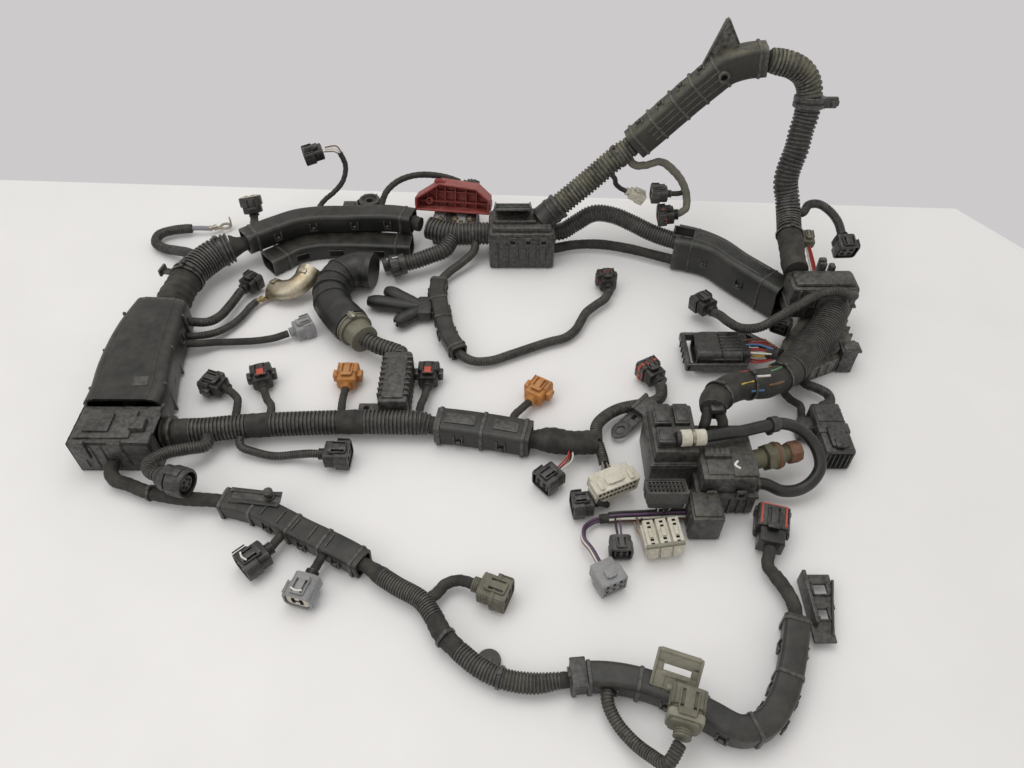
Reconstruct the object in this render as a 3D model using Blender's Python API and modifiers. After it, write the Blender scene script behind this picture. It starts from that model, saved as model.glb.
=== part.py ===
"""Engine-bay wiring harness: taped and corrugated trunks, ducts, covers, leads and plugs.

Every length below is in millimetres and is turned into metres where a mesh is made. The harness
lies on the plane Z = 0. The origin is under the middle of the relay box, on its base, +X runs
along the long side of the harness and +Z points up.
"""

import math

import bmesh
import bpy
import numpy as np
from mathutils import Matrix, Vector

MM = 0.001
GAP = 0.3  # clearance between two pieces that meet
END_RUN = 1.2  # straight run at each end of a tube or a duct
HALF_TURN_CORNER = 2 - math.sqrt(2)  # corner cut, as a share of the half width, of an octagon

# Trunks and conduits, outer diameters
LEFT_TRUNK_D = 36.0
HIDDEN_BUNDLE_D = 18.0  # the wires where a duct or a cover hides them
MID_CONDUIT_D = 24.0
JUNCTION_D = 27.0
FRONT_TRUNK_D = 16.0
SIDE_CONDUIT_D = 19.0
LINK_CONDUIT_D = 21.0
ARCH_CONDUIT_D = 27.0
FAT_TUBE_D = 33.0
NET_BUNDLE_D = 28.0
HOSE_D = 11.0

# Leads, outer diameters
THICK_LEAD_D = 12.0
LEAD_D = 10.0
THIN_LEAD_D = 8.0
WIRE_D = 6.0
LEAD_APPROACH = 7.0  # straight run of a lead before its plug
LEAD_STANDOFF = 0.6  # from a wall that isn't quite square to the lead
LEAD_INSET = 2.5  # how far a lead runs into the plug that is moulded round it

# Plugs
SEAL_WALL = 1.6  # collar of a plug round its lead
SHROUD_WALL = 1.8
TOWER_CLEARANCE = 2.2  # between a plug's shroud and the block of terminals inside it
SOCKET_DEPTH = 8.0
TOWER_SETBACK = 1.0  # the terminal block ends this far inside the shroud's rim
LATCH_HEIGHT = 2.6

# Ducts and covers
DUCT_WALL = 2.2
TOP_DUCT_SIZE = (27.0, 26.0)
TOP_DUCT_HEIGHT = 34.0  # of its middle above the floor
LOWER_DUCT_WIDTH = 30.0
MID_DUCT_SIZE = (30.0, 26.0)
INJECTOR_DUCT_SIZE = (19.0, 17.0)
FRONT_DUCT_SIZE = (22.0, 21.0)
END_DUCT_SIZE = (20.0, 22.0)
ARCH_DUCT_SIZE = (32.0, 27.0)
COVER_HEIGHT = 44.0

# Terminals and plates
RING_HOLE_D = 8.4
RING_D = 15.0
RING_THICKNESS = 1.8
BARREL_D = 7.0
PLATE_THICKNESS = 3.0


def clear_scene():
    for obj in list(bpy.data.objects):
        bpy.data.objects.remove(obj, do_unlink=True)


clear_scene()
PARTS = bpy.data.collections.new("wiring_harness")
bpy.context.scene.collection.children.link(PARTS)


def finish(name, colour, roughness, metallic=0.0):
    """A plain material with the colour, gloss and metal share of one kind of surface."""
    material = bpy.data.materials.new(name)
    material.use_nodes = True
    shader = material.node_tree.nodes["Principled BSDF"]
    shader.inputs["Base Color"].default_value = (*colour, 1.0)
    shader.inputs["Roughness"].default_value = roughness
    shader.inputs["Metallic"].default_value = metallic
    material.diffuse_color = (*colour, 1.0)
    return material


TAPE = finish("cloth_tape", (0.030, 0.030, 0.028), 0.75)
CONDUIT = finish("corrugated_conduit", (0.035, 0.035, 0.031), 0.55)
DUSTY_CONDUIT = finish("dusty_conduit", (0.110, 0.107, 0.080), 0.8)
DUCT = finish("duct_plastic", (0.028, 0.028, 0.027), 0.5)
DUSTY_DUCT = finish("dusty_duct_plastic", (0.070, 0.069, 0.053), 0.75)
PLUG = finish("black_plug_plastic", (0.022, 0.022, 0.023), 0.4)
ORANGE = finish("orange_plug_plastic", (0.440, 0.190, 0.055), 0.5)
GREY = finish("grey_plug_plastic", (0.200, 0.200, 0.205), 0.5)
WHITE = finish("white_plug_plastic", (0.640, 0.620, 0.560), 0.45)
OLIVE = finish("olive_plug_plastic", (0.180, 0.165, 0.115), 0.6)
RED = finish("red_cover_plastic", (0.330, 0.070, 0.050), 0.5)
RUBBER = finish("hose_rubber", (0.024, 0.024, 0.023), 0.5)
BRASS = finish("dull_brass", (0.420, 0.330, 0.190), 0.45, 1.0)
STEEL = finish("shield_steel", (0.480, 0.455, 0.400), 0.4, 1.0)


# Curves and frames


def smooth(points, step):
    """A smooth curve through the points, cut into equal lengths of about one step.

    A point holds a place and then any sizes that change along the curve. Short end pieces keep
    both end faces square to the curve.
    """
    knots = np.array(points, float)
    lengths = np.linalg.norm(np.diff(knots[:, :3], axis=0), axis=1)[:, None]
    slopes = np.diff(knots, axis=0) / lengths
    inner = (slopes[:-1] * lengths[1:] + slopes[1:] * lengths[:-1]) / (lengths[:-1] + lengths[1:])
    tangents = np.concatenate([slopes[:1], inner, slopes[-1:]])
    fine = [knots[:1]]
    for k, length in enumerate(lengths):
        share = np.linspace(0, 1, 13)[1:, None]
        fine.append(bend(knots[k], knots[k + 1], tangents[k] * length, tangents[k + 1] * length, share))
    fine = np.concatenate(fine)
    spans = np.linalg.norm(np.diff(fine[:, :3], axis=0), axis=1)
    run = np.concatenate([[0], np.cumsum(spans)])
    count = max(2, round(run[-1] / step) + 1)
    marks = np.linspace(0, run[-1], count)
    marks = np.concatenate([[0, END_RUN], marks[1:-1], [run[-1] - END_RUN, run[-1]]])
    return np.array([np.interp(marks, run, fine[:, k]) for k in range(fine.shape[1])]).T


def bend(start, end, leaving, arriving, share):
    """The cubic from start to end that leaves and arrives with the given speeds."""
    square, cube = share**2, share**3
    return (
        start * (2 * cube - 3 * square + 1)
        + end * (3 * square - 2 * cube)
        + leaving * (cube - 2 * square + share)
        + arriving * (cube - square)
    )


def place(at, heading, roll=0.0):
    """A frame whose X axis is the heading and whose Z axis is as near upright as it can be."""
    forward = Vector(heading).normalized()
    upright = Vector((0, 0, 1)) if abs(forward.z) < 0.95 else Vector((0, 1, 0))
    across = upright.cross(forward).normalized()
    up = forward.cross(across)
    turn = Matrix((forward, across, up)).transposed().to_4x4()
    return Matrix.Translation(Vector(at) * MM) @ turn @ Matrix.Rotation(math.radians(roll), 4, "X")


def leave(trunk, diameter, toward):
    """The place on a trunk's surface where a lead that heads for a point leaves it."""
    line = smooth(trunk, diameter / 3)[:, :3]
    target = np.array(toward, float)[:3]
    starts, spans = line[:-1], np.diff(line, axis=0)
    shares = ((target - starts) * spans).sum(axis=1) / (spans**2).sum(axis=1)
    feet = starts + np.clip(shares, 0, 1)[:, None] * spans
    foot = feet[np.argmin(np.linalg.norm(feet - target, axis=1))]
    away = (target - foot) / np.linalg.norm(target - foot)
    return tuple(foot + away * (diameter / 2 + GAP))


def beside(route, width, toward):
    """The place on the side wall of a level duct where a lead that heads for a point leaves it."""
    level = [(x, y, toward[2]) for x, y, *_ in route]
    return leave(level, width, toward)


def plug_route(points, rear, heading, end):
    """A lead's route through its points and into a plug's rear face, square to it."""
    ahead = np.array(Vector(heading).normalized())
    rear = np.array(rear, float)
    return [*points, tuple(rear - ahead * LEAD_APPROACH), tuple(rear + ahead * end)]


# Solids


def link(obj, material):
    PARTS.objects.link(obj)
    obj.data.materials.append(material)
    return obj


def mesh_object(name, bm, material, matrix=None):
    """An object from a bmesh that is in millimetres."""
    bmesh.ops.scale(bm, vec=(MM, MM, MM), verts=bm.verts)
    bmesh.ops.recalc_face_normals(bm, faces=bm.faces)
    mesh = bpy.data.meshes.new(name)
    bm.to_mesh(mesh)
    bm.free()
    obj = bpy.data.objects.new(name, mesh)
    obj.matrix_world = matrix or Matrix.Identity(4)
    return link(obj, material)


def tube(name, route, diameter, material, step=None, rings=2):
    """A closed round tube along a route. Its points may hold a radius of their own."""
    points = smooth(route, step or 2.4 * diameter)
    curve = bpy.data.curves.new(name, "CURVE")
    curve.dimensions = "3D"
    curve.bevel_depth = MM
    curve.bevel_resolution = rings
    curve.use_fill_caps = True
    spline = curve.splines.new("POLY")
    spline.points.add(len(points) - 1)
    for knot, point in zip(spline.points, points):
        knot.co = (*(point[:3] * MM), 1)
        knot.radius = point[3] if len(point) > 3 else diameter / 2
    return link(bpy.data.objects.new(name, curve), material)


def box(name, size, centre, material, matrix=None, corner=0.0):
    """A box, with its edges cut off where a corner is given."""
    bm = bmesh.new()
    bmesh.ops.create_cube(bm, size=1)
    bmesh.ops.scale(bm, vec=size, verts=bm.verts)
    if corner:
        bmesh.ops.bevel(bm, geom=bm.edges[:], offset=corner, segments=1, affect="EDGES")
    bmesh.ops.translate(bm, vec=centre, verts=bm.verts)
    return mesh_object(name, bm, material, matrix)


def block(name, x, y, z, material, corner=0.0):
    """A box between two limits on each axis."""
    size = (x[1] - x[0], y[1] - y[0], z[1] - z[0])
    return box(name, size, (sum(x) / 2, sum(y) / 2, sum(z) / 2), material, corner=corner)


def cylinder(name, diameter, length, centre, axis, material, matrix=None, sides=12):
    """A cylinder about a line along the axis, which needs no unit length."""
    bm = bmesh.new()
    radius = diameter / 2
    bmesh.ops.create_cone(
        bm, cap_ends=True, segments=sides, radius1=radius, radius2=radius, depth=length
    )
    turn = Vector((0, 0, 1)).rotation_difference(Vector(axis)).to_matrix()
    bmesh.ops.rotate(bm, cent=(0, 0, 0), matrix=turn, verts=bm.verts)
    bmesh.ops.translate(bm, vec=centre, verts=bm.verts)
    return mesh_object(name, bm, material, matrix)


def slab(name, outline, low, high, material, matrix=None):
    """A flat outline that is given thickness upward, from low to high."""
    bm = bmesh.new()
    face = bm.faces.new([bm.verts.new((x, y, low)) for x, y in outline])
    raised = bmesh.ops.extrude_face_region(bm, geom=[face])
    tops = [v for v in raised["geom"] if isinstance(v, bmesh.types.BMVert)]
    bmesh.ops.translate(bm, vec=(0, 0, high - low), verts=tops)
    return mesh_object(name, bm, material, matrix)


def octagon(half_width, half_height, corner):
    """The eight corners of a rectangle whose corners are cut off."""
    a, b = half_width - corner, half_height - corner
    return [
        (half_width, -b), (half_width, b), (a, half_height), (-a, half_height),
        (-half_width, b), (-half_width, -b), (-a, -half_height), (a, -half_height),
    ]


def stitch(bm, first, second):
    """Side faces between two rings of the same number of corners."""
    count = len(first)
    for k in range(count):
        after = (k + 1) % count
        bm.faces.new((first[k], first[after], second[after], second[k]))


def loft(name, sections, material, matrix=None):
    """A solid along X through sections of (x, half width, half height, corner)."""
    bm = bmesh.new()
    rings = []
    for x, half_width, half_height, corner in sections:
        outline = octagon(half_width, half_height, corner)
        rings.append([bm.verts.new((x, y, z)) for y, z in outline])
    for first, second in zip(rings, rings[1:]):
        stitch(bm, first, second)
    bm.faces.new(rings[0])
    bm.faces.new(rings[-1])
    return mesh_object(name, bm, material, matrix)


def sweep_frames(route, up):
    """The frame across each point of a route: its place, its side and its own up direction."""
    places = [Vector(p[:3]) for p in route]
    for k, at in enumerate(places):
        along = (places[min(k + 1, len(places) - 1)] - places[max(k - 1, 0)]).normalized()
        side = along.cross(Vector(up)).normalized()
        yield at, side, side.cross(along)


def duct(name, route, material, step, corner=4.0, wall=DUCT_WALL, up=(0, 0, 1)):
    """A duct that is open at both ends. Each point is (x, y, z, width, height)."""
    points = smooth(route, step)
    bm = bmesh.new()
    skins = {"outer": [], "inner": []}
    for point, (at, side, raised) in zip(points, sweep_frames(points, up)):
        half_width, half_height = point[3] / 2, point[4] / 2
        for skin, inset in (("outer", 0.0), ("inner", wall)):
            cut = corner - inset * (2 - math.sqrt(2))
            outline = octagon(half_width - inset, half_height - inset, cut)
            ring = [bm.verts.new(at + side * y + raised * z) for y, z in outline]
            skins[skin].append(ring)
    for rings in skins.values():
        for first, second in zip(rings, rings[1:]):
            stitch(bm, first, second)
    for end in (0, -1):
        stitch(bm, skins["outer"][end], skins["inner"][end])
    return mesh_object(name, bm, material)


# Joining and cutting


def bake(obj):
    """The object as one plain mesh in world space, with the caps of a tube welded on."""
    bpy.context.view_layer.update()
    graph = bpy.context.evaluated_depsgraph_get()
    mesh = bpy.data.meshes.new_from_object(obj.evaluated_get(graph))
    mesh.transform(obj.matrix_world)
    bm = bmesh.new()
    bm.from_mesh(mesh)
    bmesh.ops.remove_doubles(bm, verts=bm.verts, dist=1e-6)
    bmesh.ops.recalc_face_normals(bm, faces=bm.faces)
    bm.to_mesh(mesh)
    bm.free()
    name = obj.name
    bpy.data.objects.remove(obj, do_unlink=True)
    baked = bpy.data.objects.new(name, mesh)
    PARTS.objects.link(baked)
    return baked


def combine(obj, others, operation):
    """One solid from an object and the others, which are used up."""
    obj = bake(obj)
    helpers = [bake(other) for other in others]
    for number, helper in enumerate(helpers):
        step = obj.modifiers.new(f"{operation.lower()}_{number}", "BOOLEAN")
        step.object = helper
        step.operation = operation
        step.solver = "EXACT"
    result = bake(obj)
    for helper in helpers:
        bpy.data.objects.remove(helper, do_unlink=True)
    return result


def fuse(obj, *others):
    return combine(obj, others, "UNION")


def cut(obj, *others):
    return combine(obj, others, "DIFFERENCE")


# Plugs and terminals


def round_section(x, radius):
    return (x, radius, radius, radius * HALF_TURN_CORNER)


def plug_sections(length, width, height, lead_d):
    """The sections of a plug: collar, waist, shroud, and the terminal block in the shroud."""
    collar = lead_d / 2 + SEAL_WALL
    half_width, half_height = width / 2, height / 2
    corner = min(width, height) / 6
    mouth = SHROUD_WALL + TOWER_CLEARANCE
    waist = (0.86 * half_width, 0.86 * half_height, corner)
    shroud = (half_width, half_height, corner)
    inside = (half_width - SHROUD_WALL, half_height - SHROUD_WALL, corner * 0.7)
    tower = (half_width - mouth, half_height - mouth, corner * 0.4)
    return [
        round_section(0.0, collar),
        round_section(0.2 * length, collar),
        (0.2 * length, *waist),
        (0.58 * length, *waist),
        (0.58 * length, *shroud),
        (length, *shroud),
        (length, *inside),
        (length - SOCKET_DEPTH, *inside),
        (length - SOCKET_DEPTH, *tower),
        (length - TOWER_SETBACK, *tower),
    ]


def plug(name, size, rear, heading, material, lead_d=LEAD_D, roll=0.0, lead=None, latch=0.4):
    """A plug with a latch on top. Its lead, where one is given, is moulded in."""
    length, width, height = size
    frame = place(rear, heading, roll)
    body = loft(name, plug_sections(length, width, height, lead_d), material, frame)
    latch_size = (0.5 * length, latch * width, LATCH_HEIGHT + 1.0)
    latch_at = (0.66 * length, 0, height / 2 + LATCH_HEIGHT / 2 - 0.5)
    extras = [box("latch", latch_size, latch_at, material, frame)]
    if lead:
        route = plug_route(lead, rear, heading, LEAD_INSET)
        extras.append(tube("lead", route, lead_d, material))
    return fuse(body, *extras)


def block_plug(name, size, rear, heading, material, roll=0.0, lead=None, lead_d=LEAD_D, step=None):
    """A broad plug with many terminals: a stepped block with a latch bar across its top."""
    length, width, height = size
    frame = place(rear, heading, roll)
    body = loft(
        name,
        [
            (0.0, 0.44 * width, 0.40 * height, 1.0),
            (0.35 * length, 0.44 * width, 0.40 * height, 1.0),
            (0.35 * length, 0.5 * width, 0.5 * height, 1.0),
            (length, 0.5 * width, 0.5 * height, 1.0),
            (length, 0.5 * width - 1.2, 0.5 * height - 1.2, 0.6),
            (length - 1.5, 0.5 * width - 1.2, 0.5 * height - 1.2, 0.6),
        ],
        material,
        frame,
    )
    bar = box(
        "bar",
        (0.3 * length, 0.4 * width, LATCH_HEIGHT + 1.0),
        (0.62 * length, 0, height / 2 + LATCH_HEIGHT / 2 - 0.5),
        material,
        frame,
    )
    extras = [bar]
    if lead:
        route = plug_route(lead, rear, heading, LEAD_INSET)
        extras.append(tube("lead", route, lead_d, material, step))
    return fuse(body, *extras)


def ring_terminal(name, at, heading, material, sleeve=None, sleeve_d=0.0, tab=False):
    """A crimped barrel, a tongue and a flat ring with its bolt hole."""
    frame = place(at, heading)
    reach = BARREL_D + RING_D / 2 + 6
    barrel = cylinder(name, BARREL_D, 10, (5, 0, 0), (1, 0, 0), material, frame)
    drop = RING_THICKNESS / 2 - BARREL_D / 2 + 0.6
    tongue = box("tongue", (reach - 6, 6, RING_THICKNESS), (6 + (reach - 6) / 2, 0, drop), material, frame)
    ring = cylinder("ring", RING_D, RING_THICKNESS, (reach, 0, drop), (0, 0, 1), material, frame, 16)
    pieces = [tongue, ring]
    if tab:
        pieces.append(box("tab", (1.6, 7, 12), (reach + RING_D / 2 - 1, 0, drop + 5.4), material, frame))
    if sleeve:
        pieces.append(tube("sleeve", plug_route(sleeve, at, heading, LEAD_INSET), sleeve_d, material))
    hole = cylinder("hole", RING_HOLE_D, 6, (reach, 0, drop), (0, 0, 1), material, frame, 16)
    return cut(fuse(barrel, *pieces), hole)


# Left side

LEFT_R = LEFT_TRUNK_D / 2
HIDDEN_R = HIDDEN_BUNDLE_D / 2
LEFT_TRUNK = [
    (-508, 311.5, 32.5, LEFT_R),
    (-519, 305, 31.5, LEFT_R),
    (-533, 291, 29, LEFT_R),
    (-544, 270, 28, LEFT_R),
    (-549, 246, 27, LEFT_R),
    (-552, 222, 25, LEFT_R),
    (-554, 203, 24, HIDDEN_R),
    (-556, 150, 15, HIDDEN_R),
    (-556, 100, 12.2, HIDDEN_R),
    (-553, 66, 12.2, HIDDEN_R),
    (-541, 48, 14, HIDDEN_R),
    (-530, 44, 16, HIDDEN_R),
    (-519, 44, 16, HIDDEN_R),
]
CORNER_BOX_LOW = (-584.0, 10.0)
CORNER_BOX_HIGH = (-508.0, 60.0)
CORNER_COVER = [
    (-556, 207, 22.5, 56, COVER_HEIGHT),
    (-558, 170, 22.5, 66, COVER_HEIGHT),
    (-556, 120, 22.5, 72, COVER_HEIGHT),
    (-550, 76, 22.5, 74, COVER_HEIGHT),
    (-550, CORNER_BOX_HIGH[1] + GAP, 22.5, 74, COVER_HEIGHT),
]
CORNER_BOX_HEIGHT = 40.0


def build_corner_cover():
    """The angled channel that the trunk turns down into, and the box at its foot."""
    duct("corner_cover", CORNER_COVER, DUCT, step=40, corner=12)
    low, high = CORNER_BOX_LOW, CORNER_BOX_HIGH
    middle = ((low[0] + high[0]) / 2, (low[1] + high[1]) / 2, CORNER_BOX_HEIGHT / 2)
    size = (high[0] - low[0], high[1] - low[1], CORNER_BOX_HEIGHT)
    shell = box("corner_box", size, middle, DUCT, corner=3)
    room = (size[0] - 2 * DUCT_WALL, size[1], size[2] - 2 * DUCT_WALL)
    hollow = box("hollow", room, (middle[0], middle[1] + DUCT_WALL, middle[2]), DUCT)
    mouth = box("mouth", (20, 34, 32), (high[0], high[1] - 20, middle[2]), DUCT)
    cut(shell, hollow, mouth)


GROUND_LEAD = [
    (-566, 318, 20), (-585, 332, 12), (-604, 342, 8), (-617, 353, 8), (-617, 368, 9), (-603, 376, 9.5),
    (-584, 380, 9.5),
]
GROUND_SLEEVE = [(-588, 379.6, 9.5), (-572, 381, 9.5)]
GROUND_RING_AT = (-559, 381, 8.5)
GROUND_RING_HEADING = (0.88, 0.47, -0.05)
ROUND_PLUG_AT = (-498, 383, 26)
ROUND_PLUG_LEAD = [(-488, 350, 34), (-493, 362, 30), (-496, 373, 26)]


def build_ground_lead():
    """The lead that loops back to a bolted ring, with a thin sleeve between the two."""
    start = leave(LEFT_TRUNK, LEFT_TRUNK_D - LEAD_STANDOFF, GROUND_LEAD[0])
    ring = ring_terminal("ground_lead", GROUND_RING_AT, GROUND_RING_HEADING, BRASS, GROUND_SLEEVE, WIRE_D,
                         True)
    fuse(ring, tube("thick_run", [start, *GROUND_LEAD], THICK_LEAD_D, CONDUIT))


TOP_DUCT = [
    (-493, 320), (-479, 331), (-458, 346), (-438, 358), (-412, 364), (-381, 365), (-351, 367),
    (-321, 366), (-298, 360.3),
]
LOWER_DUCT = [(-468, 307), (-456, 318), (-440, 333), (-416, 342), (-380, 344), (-349, 343), (-300, 340)]
TOP_BUNDLE_Z = TOP_DUCT_HEIGHT - TOP_DUCT_SIZE[1] / 2 + DUCT_WALL + GAP + HIDDEN_R
TOP_BUNDLE_END = [
    (-289, 357, TOP_BUNDLE_Z, HIDDEN_R),
    (-279, 351, 32, JUNCTION_D / 2),
    (-264, 345, 31, JUNCTION_D / 2),
    (-245, 341, 30, JUNCTION_D / 2),
    (-226, 342, 30, JUNCTION_D / 2),
    (-205.3, 342, 30, JUNCTION_D / 2),
]
TOP_BUNDLE = [(-499, 315.5, TOP_BUNDLE_Z, HIDDEN_R)] + [
    (x, y, TOP_BUNDLE_Z, HIDDEN_R) for x, y in TOP_DUCT[1:]
] + TOP_BUNDLE_END


def build_top_ducts():
    """The long channel across the back, the lower one that it stands on, and the wires inside."""
    upper = [(x, y, TOP_DUCT_HEIGHT, *TOP_DUCT_SIZE) for x, y in TOP_DUCT]
    top = duct("top_duct", upper, DUCT, step=24)
    height = TOP_DUCT_HEIGHT - TOP_DUCT_SIZE[1] / 2 + 1
    lower = [(x, y, height / 2, LOWER_DUCT_WIDTH, height) for x, y in LOWER_DUCT]
    top = fuse(top, duct("lower_duct", lower, DUCT, step=30))
    tube("left_trunk", LEFT_TRUNK[::-1] + TOP_BUNDLE, LEFT_TRUNK_D, TAPE, step=16, rings=3)
    build_flange(top)


FLANGE_FOOT = (-364.0, 392.0)


def build_flange(top):
    """The stand behind the top duct, moulded on it, with a round flange and its bolt hole."""
    x, y = FLANGE_FOOT
    stand = box("stand", (44, 30, 34), (x, y, 17), DUCT, corner=2)
    collar = cylinder("collar", 26, 14, (x + 10, y, 38), (0, 0, 1), DUCT, sides=16)
    lug = box("lug", (18, 14, 5), (x - 18, y + 2, 34), DUCT)
    bolt_hole = cylinder("bolt_hole", 8, 30, (x + 10, y, 44), (0, 0, 1), DUCT, sides=12)
    cut(fuse(top, stand, collar, lug), bolt_hole)


LATCH_LEAD = [
    (-415, 388, 38), (-409, 396, 42), (-400, 404, 46), (-388, 416, 56), (-384, 425, 72), (-389, 429, 87),
]
LATCH_PLUG_AT = (-403, 428, 92)
LATCH_PLUG_HEADING = (-0.93, -0.32, -0.15)
BACK_LEAD = [
    (-338, 391, 42), (-334, 402, 48), (-322, 413, 55), (-302, 420, 60), (-278, 422, 60), (-256, 421, 56),
]
BACK_PLUG_AT = (-240, 419, 50)
BACK_PLUG_HEADING = (0.9, -0.1, -0.4)


def build_back_plugs():
    start = beside(TOP_DUCT, TOP_DUCT_SIZE[0], LATCH_LEAD[0])
    plug("latch_plug", (30, 23, 16), LATCH_PLUG_AT, LATCH_PLUG_HEADING, PLUG, WIRE_D, 0,
         [start, *LATCH_LEAD])
    start = beside(TOP_DUCT, TOP_DUCT_SIZE[0], BACK_LEAD[0])
    plug("back_plug", (20, 17, 14), BACK_PLUG_AT, BACK_PLUG_HEADING, PLUG, THIN_LEAD_D, 0,
         [start, *BACK_LEAD])
    start = beside(TOP_DUCT, TOP_DUCT_SIZE[0], ROUND_PLUG_LEAD[0])
    plug("round_plug", (24, 27, 23), ROUND_PLUG_AT, (-0.15, 0.45, 0.88), PLUG, LEAD_D, 0,
         [start, *ROUND_PLUG_LEAD])


RED_COVER_AT = (-250, 394, 42.4)
RED_COVER_ROLL = 75.0  # it stands on its long edge and leans back, with its open side to the front
RED_COVER_DEPTH = (-10.0, 13.0)
RED_COVER_WALL = 2.5
RED_COVER_OUTLINE = [(-46, -12), (46, -12), (46, 6), (30, 20), (-16, 24), (-46, 4)]
RED_COVER_INSIDE = [(-43.5, -9.5), (43.5, -9.5), (43.5, 4.8), (29.2, 17.2), (-15.2, 21), (-43.5, 2.3)]
FUSE_LINK_SIZE = (58.0, 36.0, 26.0)
FUSE_LINK_AT = (-248.0, 378.4)


def build_fuse_link():
    """The fusible link block and the hinged red cover that stands open over it."""
    x, y = FUSE_LINK_AT
    width, depth, height = FUSE_LINK_SIZE
    block = box("fuse_link_block", (width, depth, height), (x, y, height / 2), GREY, corner=1.5)
    studs = [
        cylinder("stud", 6, 8, (x + dx, y - 4, height + 3), (0, 0, 1), GREY, sides=8) for dx in (-18, 0, 18)
    ]
    fuse(block, *studs)
    frame = place(RED_COVER_AT, (1, -0.12, 0), RED_COVER_ROLL)
    low, high = RED_COVER_DEPTH
    tray = slab("red_cover", RED_COVER_OUTLINE, low, high, RED, frame)
    hollow = slab("hollow", RED_COVER_INSIDE, low + RED_COVER_WALL, high + RED_COVER_WALL, RED, frame)
    cut(tray, hollow)


SIDE_CONDUIT = [(-246, 323, 27), (-258, 316, 25), (-274, 308, 23), (-290, 301, 21), (-306, 296, 20)]


def build_side_conduit():
    """The clean conduit that leaves the junction, and the pair of round plugs on its end."""
    start = leave(TOP_BUNDLE, JUNCTION_D + 3.6 * LEAD_STANDOFF, SIDE_CONDUIT[0])
    conduit = tube("side_conduit", [start, *SIDE_CONDUIT], SIDE_CONDUIT_D, CONDUIT, step=16)
    frame = place(SIDE_CONDUIT[-1], (-16, -5, -1))
    socket = cylinder("socket", 25, 18, (6, 0, 0), (1, 0, 0), PLUG, frame, 12)
    second = cylinder("second", 17, 22, (11, -15, -7), (1, 0, 0), PLUG, frame, 12)
    bridge = box("bridge", (8, 20, 12), (6, -8, -4), PLUG, frame)
    fuse(socket, conduit, second, bridge).name = "side_conduit"


INJECTOR_LEAD = [
    (-223, 322, 20), (-236, 308, 14), (-252, 292, 11), (-262, 273, 11), (-263, 250, 11),
    (-258, 226, 11), (-253, 203, 11), (-245, 177, 11), (-234, 157, 10), (-220, 147, 9),
    (-201, 149, 7), (-180, 158, 7), (-159, 168, 7), (-137, 178, 7), (-119, 185, 7), (-108, 196, 8),
    (-102, 208, 9), (-95, 222, 10), (-84, 234, 10), (-72, 245, 11),
]
CROSS_PLUG_AT = (-66, 259, 12)
CROSS_PLUG_HEADING = (-0.12, 0.99, 0)
BOOT_ROOT = (-276.0, 228.0, 10.5)
BOOT_TIPS = [(-306, 204, 10.5), (-341, 241, 10.5), (-322, 256, 13)]


def build_injector_branch():
    """The lead down the middle, the duct round it, its rubber boots and its plug."""
    start = leave(TOP_BUNDLE, JUNCTION_D, INJECTOR_LEAD[0])
    plug("cross_plug", (28, 21, 18), CROSS_PLUG_AT, CROSS_PLUG_HEADING, PLUG, LEAD_D, 0,
         [start, *INJECTOR_LEAD])
    lift = INJECTOR_DUCT_SIZE[1] / 2 - DUCT_WALL - GAP - LEAD_D / 2
    inside = [(x, y, z + lift, *INJECTOR_DUCT_SIZE) for x, y, z in INJECTOR_LEAD[3:9]]
    channel = duct("injector_duct", inside, DUCT, step=26, corner=4)
    x, y, z = BOOT_ROOT
    fingers = [box("root", (18, 30, 14), BOOT_ROOT, RUBBER, corner=2)]
    for number, tip in enumerate(BOOT_TIPS):
        route = [(*tip, 6.5), ((x + tip[0]) / 2, (y + tip[1]) / 2, (z + tip[2]) / 2, 8.0), (x, y, z, 6.0)]
        fingers.append(tube(f"finger_{number}", route, 13, RUBBER, step=14))
    fuse(channel, *fingers)


ELBOW_D = 42.0
ELBOW_BOOT = [
    (-338, 281, 22), (-356, 284, 22), (-374, 272, 22), (-381, 247, 22), (-374, 218, 22), (-358, 196, 22),
    (-350, 186, 22),
]
RIBBED_LOW = (-309.0, 69.8)
RIBBED_HIGH = (-280.0, 140.0)


def build_elbow():
    """The big smooth boot, the clamp on its end and the ribbed cover that it feeds."""
    tube("elbow_boot", ELBOW_BOOT, ELBOW_D, RUBBER, step=19, rings=4)
    heading = Vector((0.62, -0.78, 0))
    start = Vector(ELBOW_BOOT[-1]) + heading * GAP
    frame = place(start, heading)
    clamp = loft(
        "elbow_clamp",
        [
            round_section(0, 19), round_section(9, 19), round_section(9, 16), round_section(21, 14),
            round_section(21, 16), round_section(26, 16),
        ],
        OLIVE,
        frame,
    )
    neck_from = start + heading * 24
    low, high = RIBBED_LOW, RIBBED_HIGH
    mouth = ((low[0] + high[0]) / 2, high[1], 19)
    route = plug_route([tuple(neck_from), (-320, 159, 20), (-303, 152, 19)], mouth, (0, -1, 0), LEAD_INSET)
    neck = tube("neck", route, 18, OLIVE, step=13)
    centre = ((low[0] + high[0]) / 2, (low[1] + high[1]) / 2)
    cover = box("ribbed_cover", (high[0] - low[0], high[1] - low[1], 32), (*centre, 16), DUCT, corner=3)
    ribs = [box("rib", (31.4, 3, 33.2), (centre[0], y, 17.2), DUCT) for y in (84, 95, 106, 117, 128)]
    foot = box("foot", (26, 14, 8), (low[0] - 10, low[1] + 9, 7), DUCT)
    fuse(cover, *ribs, foot, neck, clamp)


SHIELD_ROUTE = [
    (-453.5, 266, 12), (-443, 259, 15), (-428, 258, 19), (-417, 266, 24), (-412, 279, 28),
]


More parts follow.
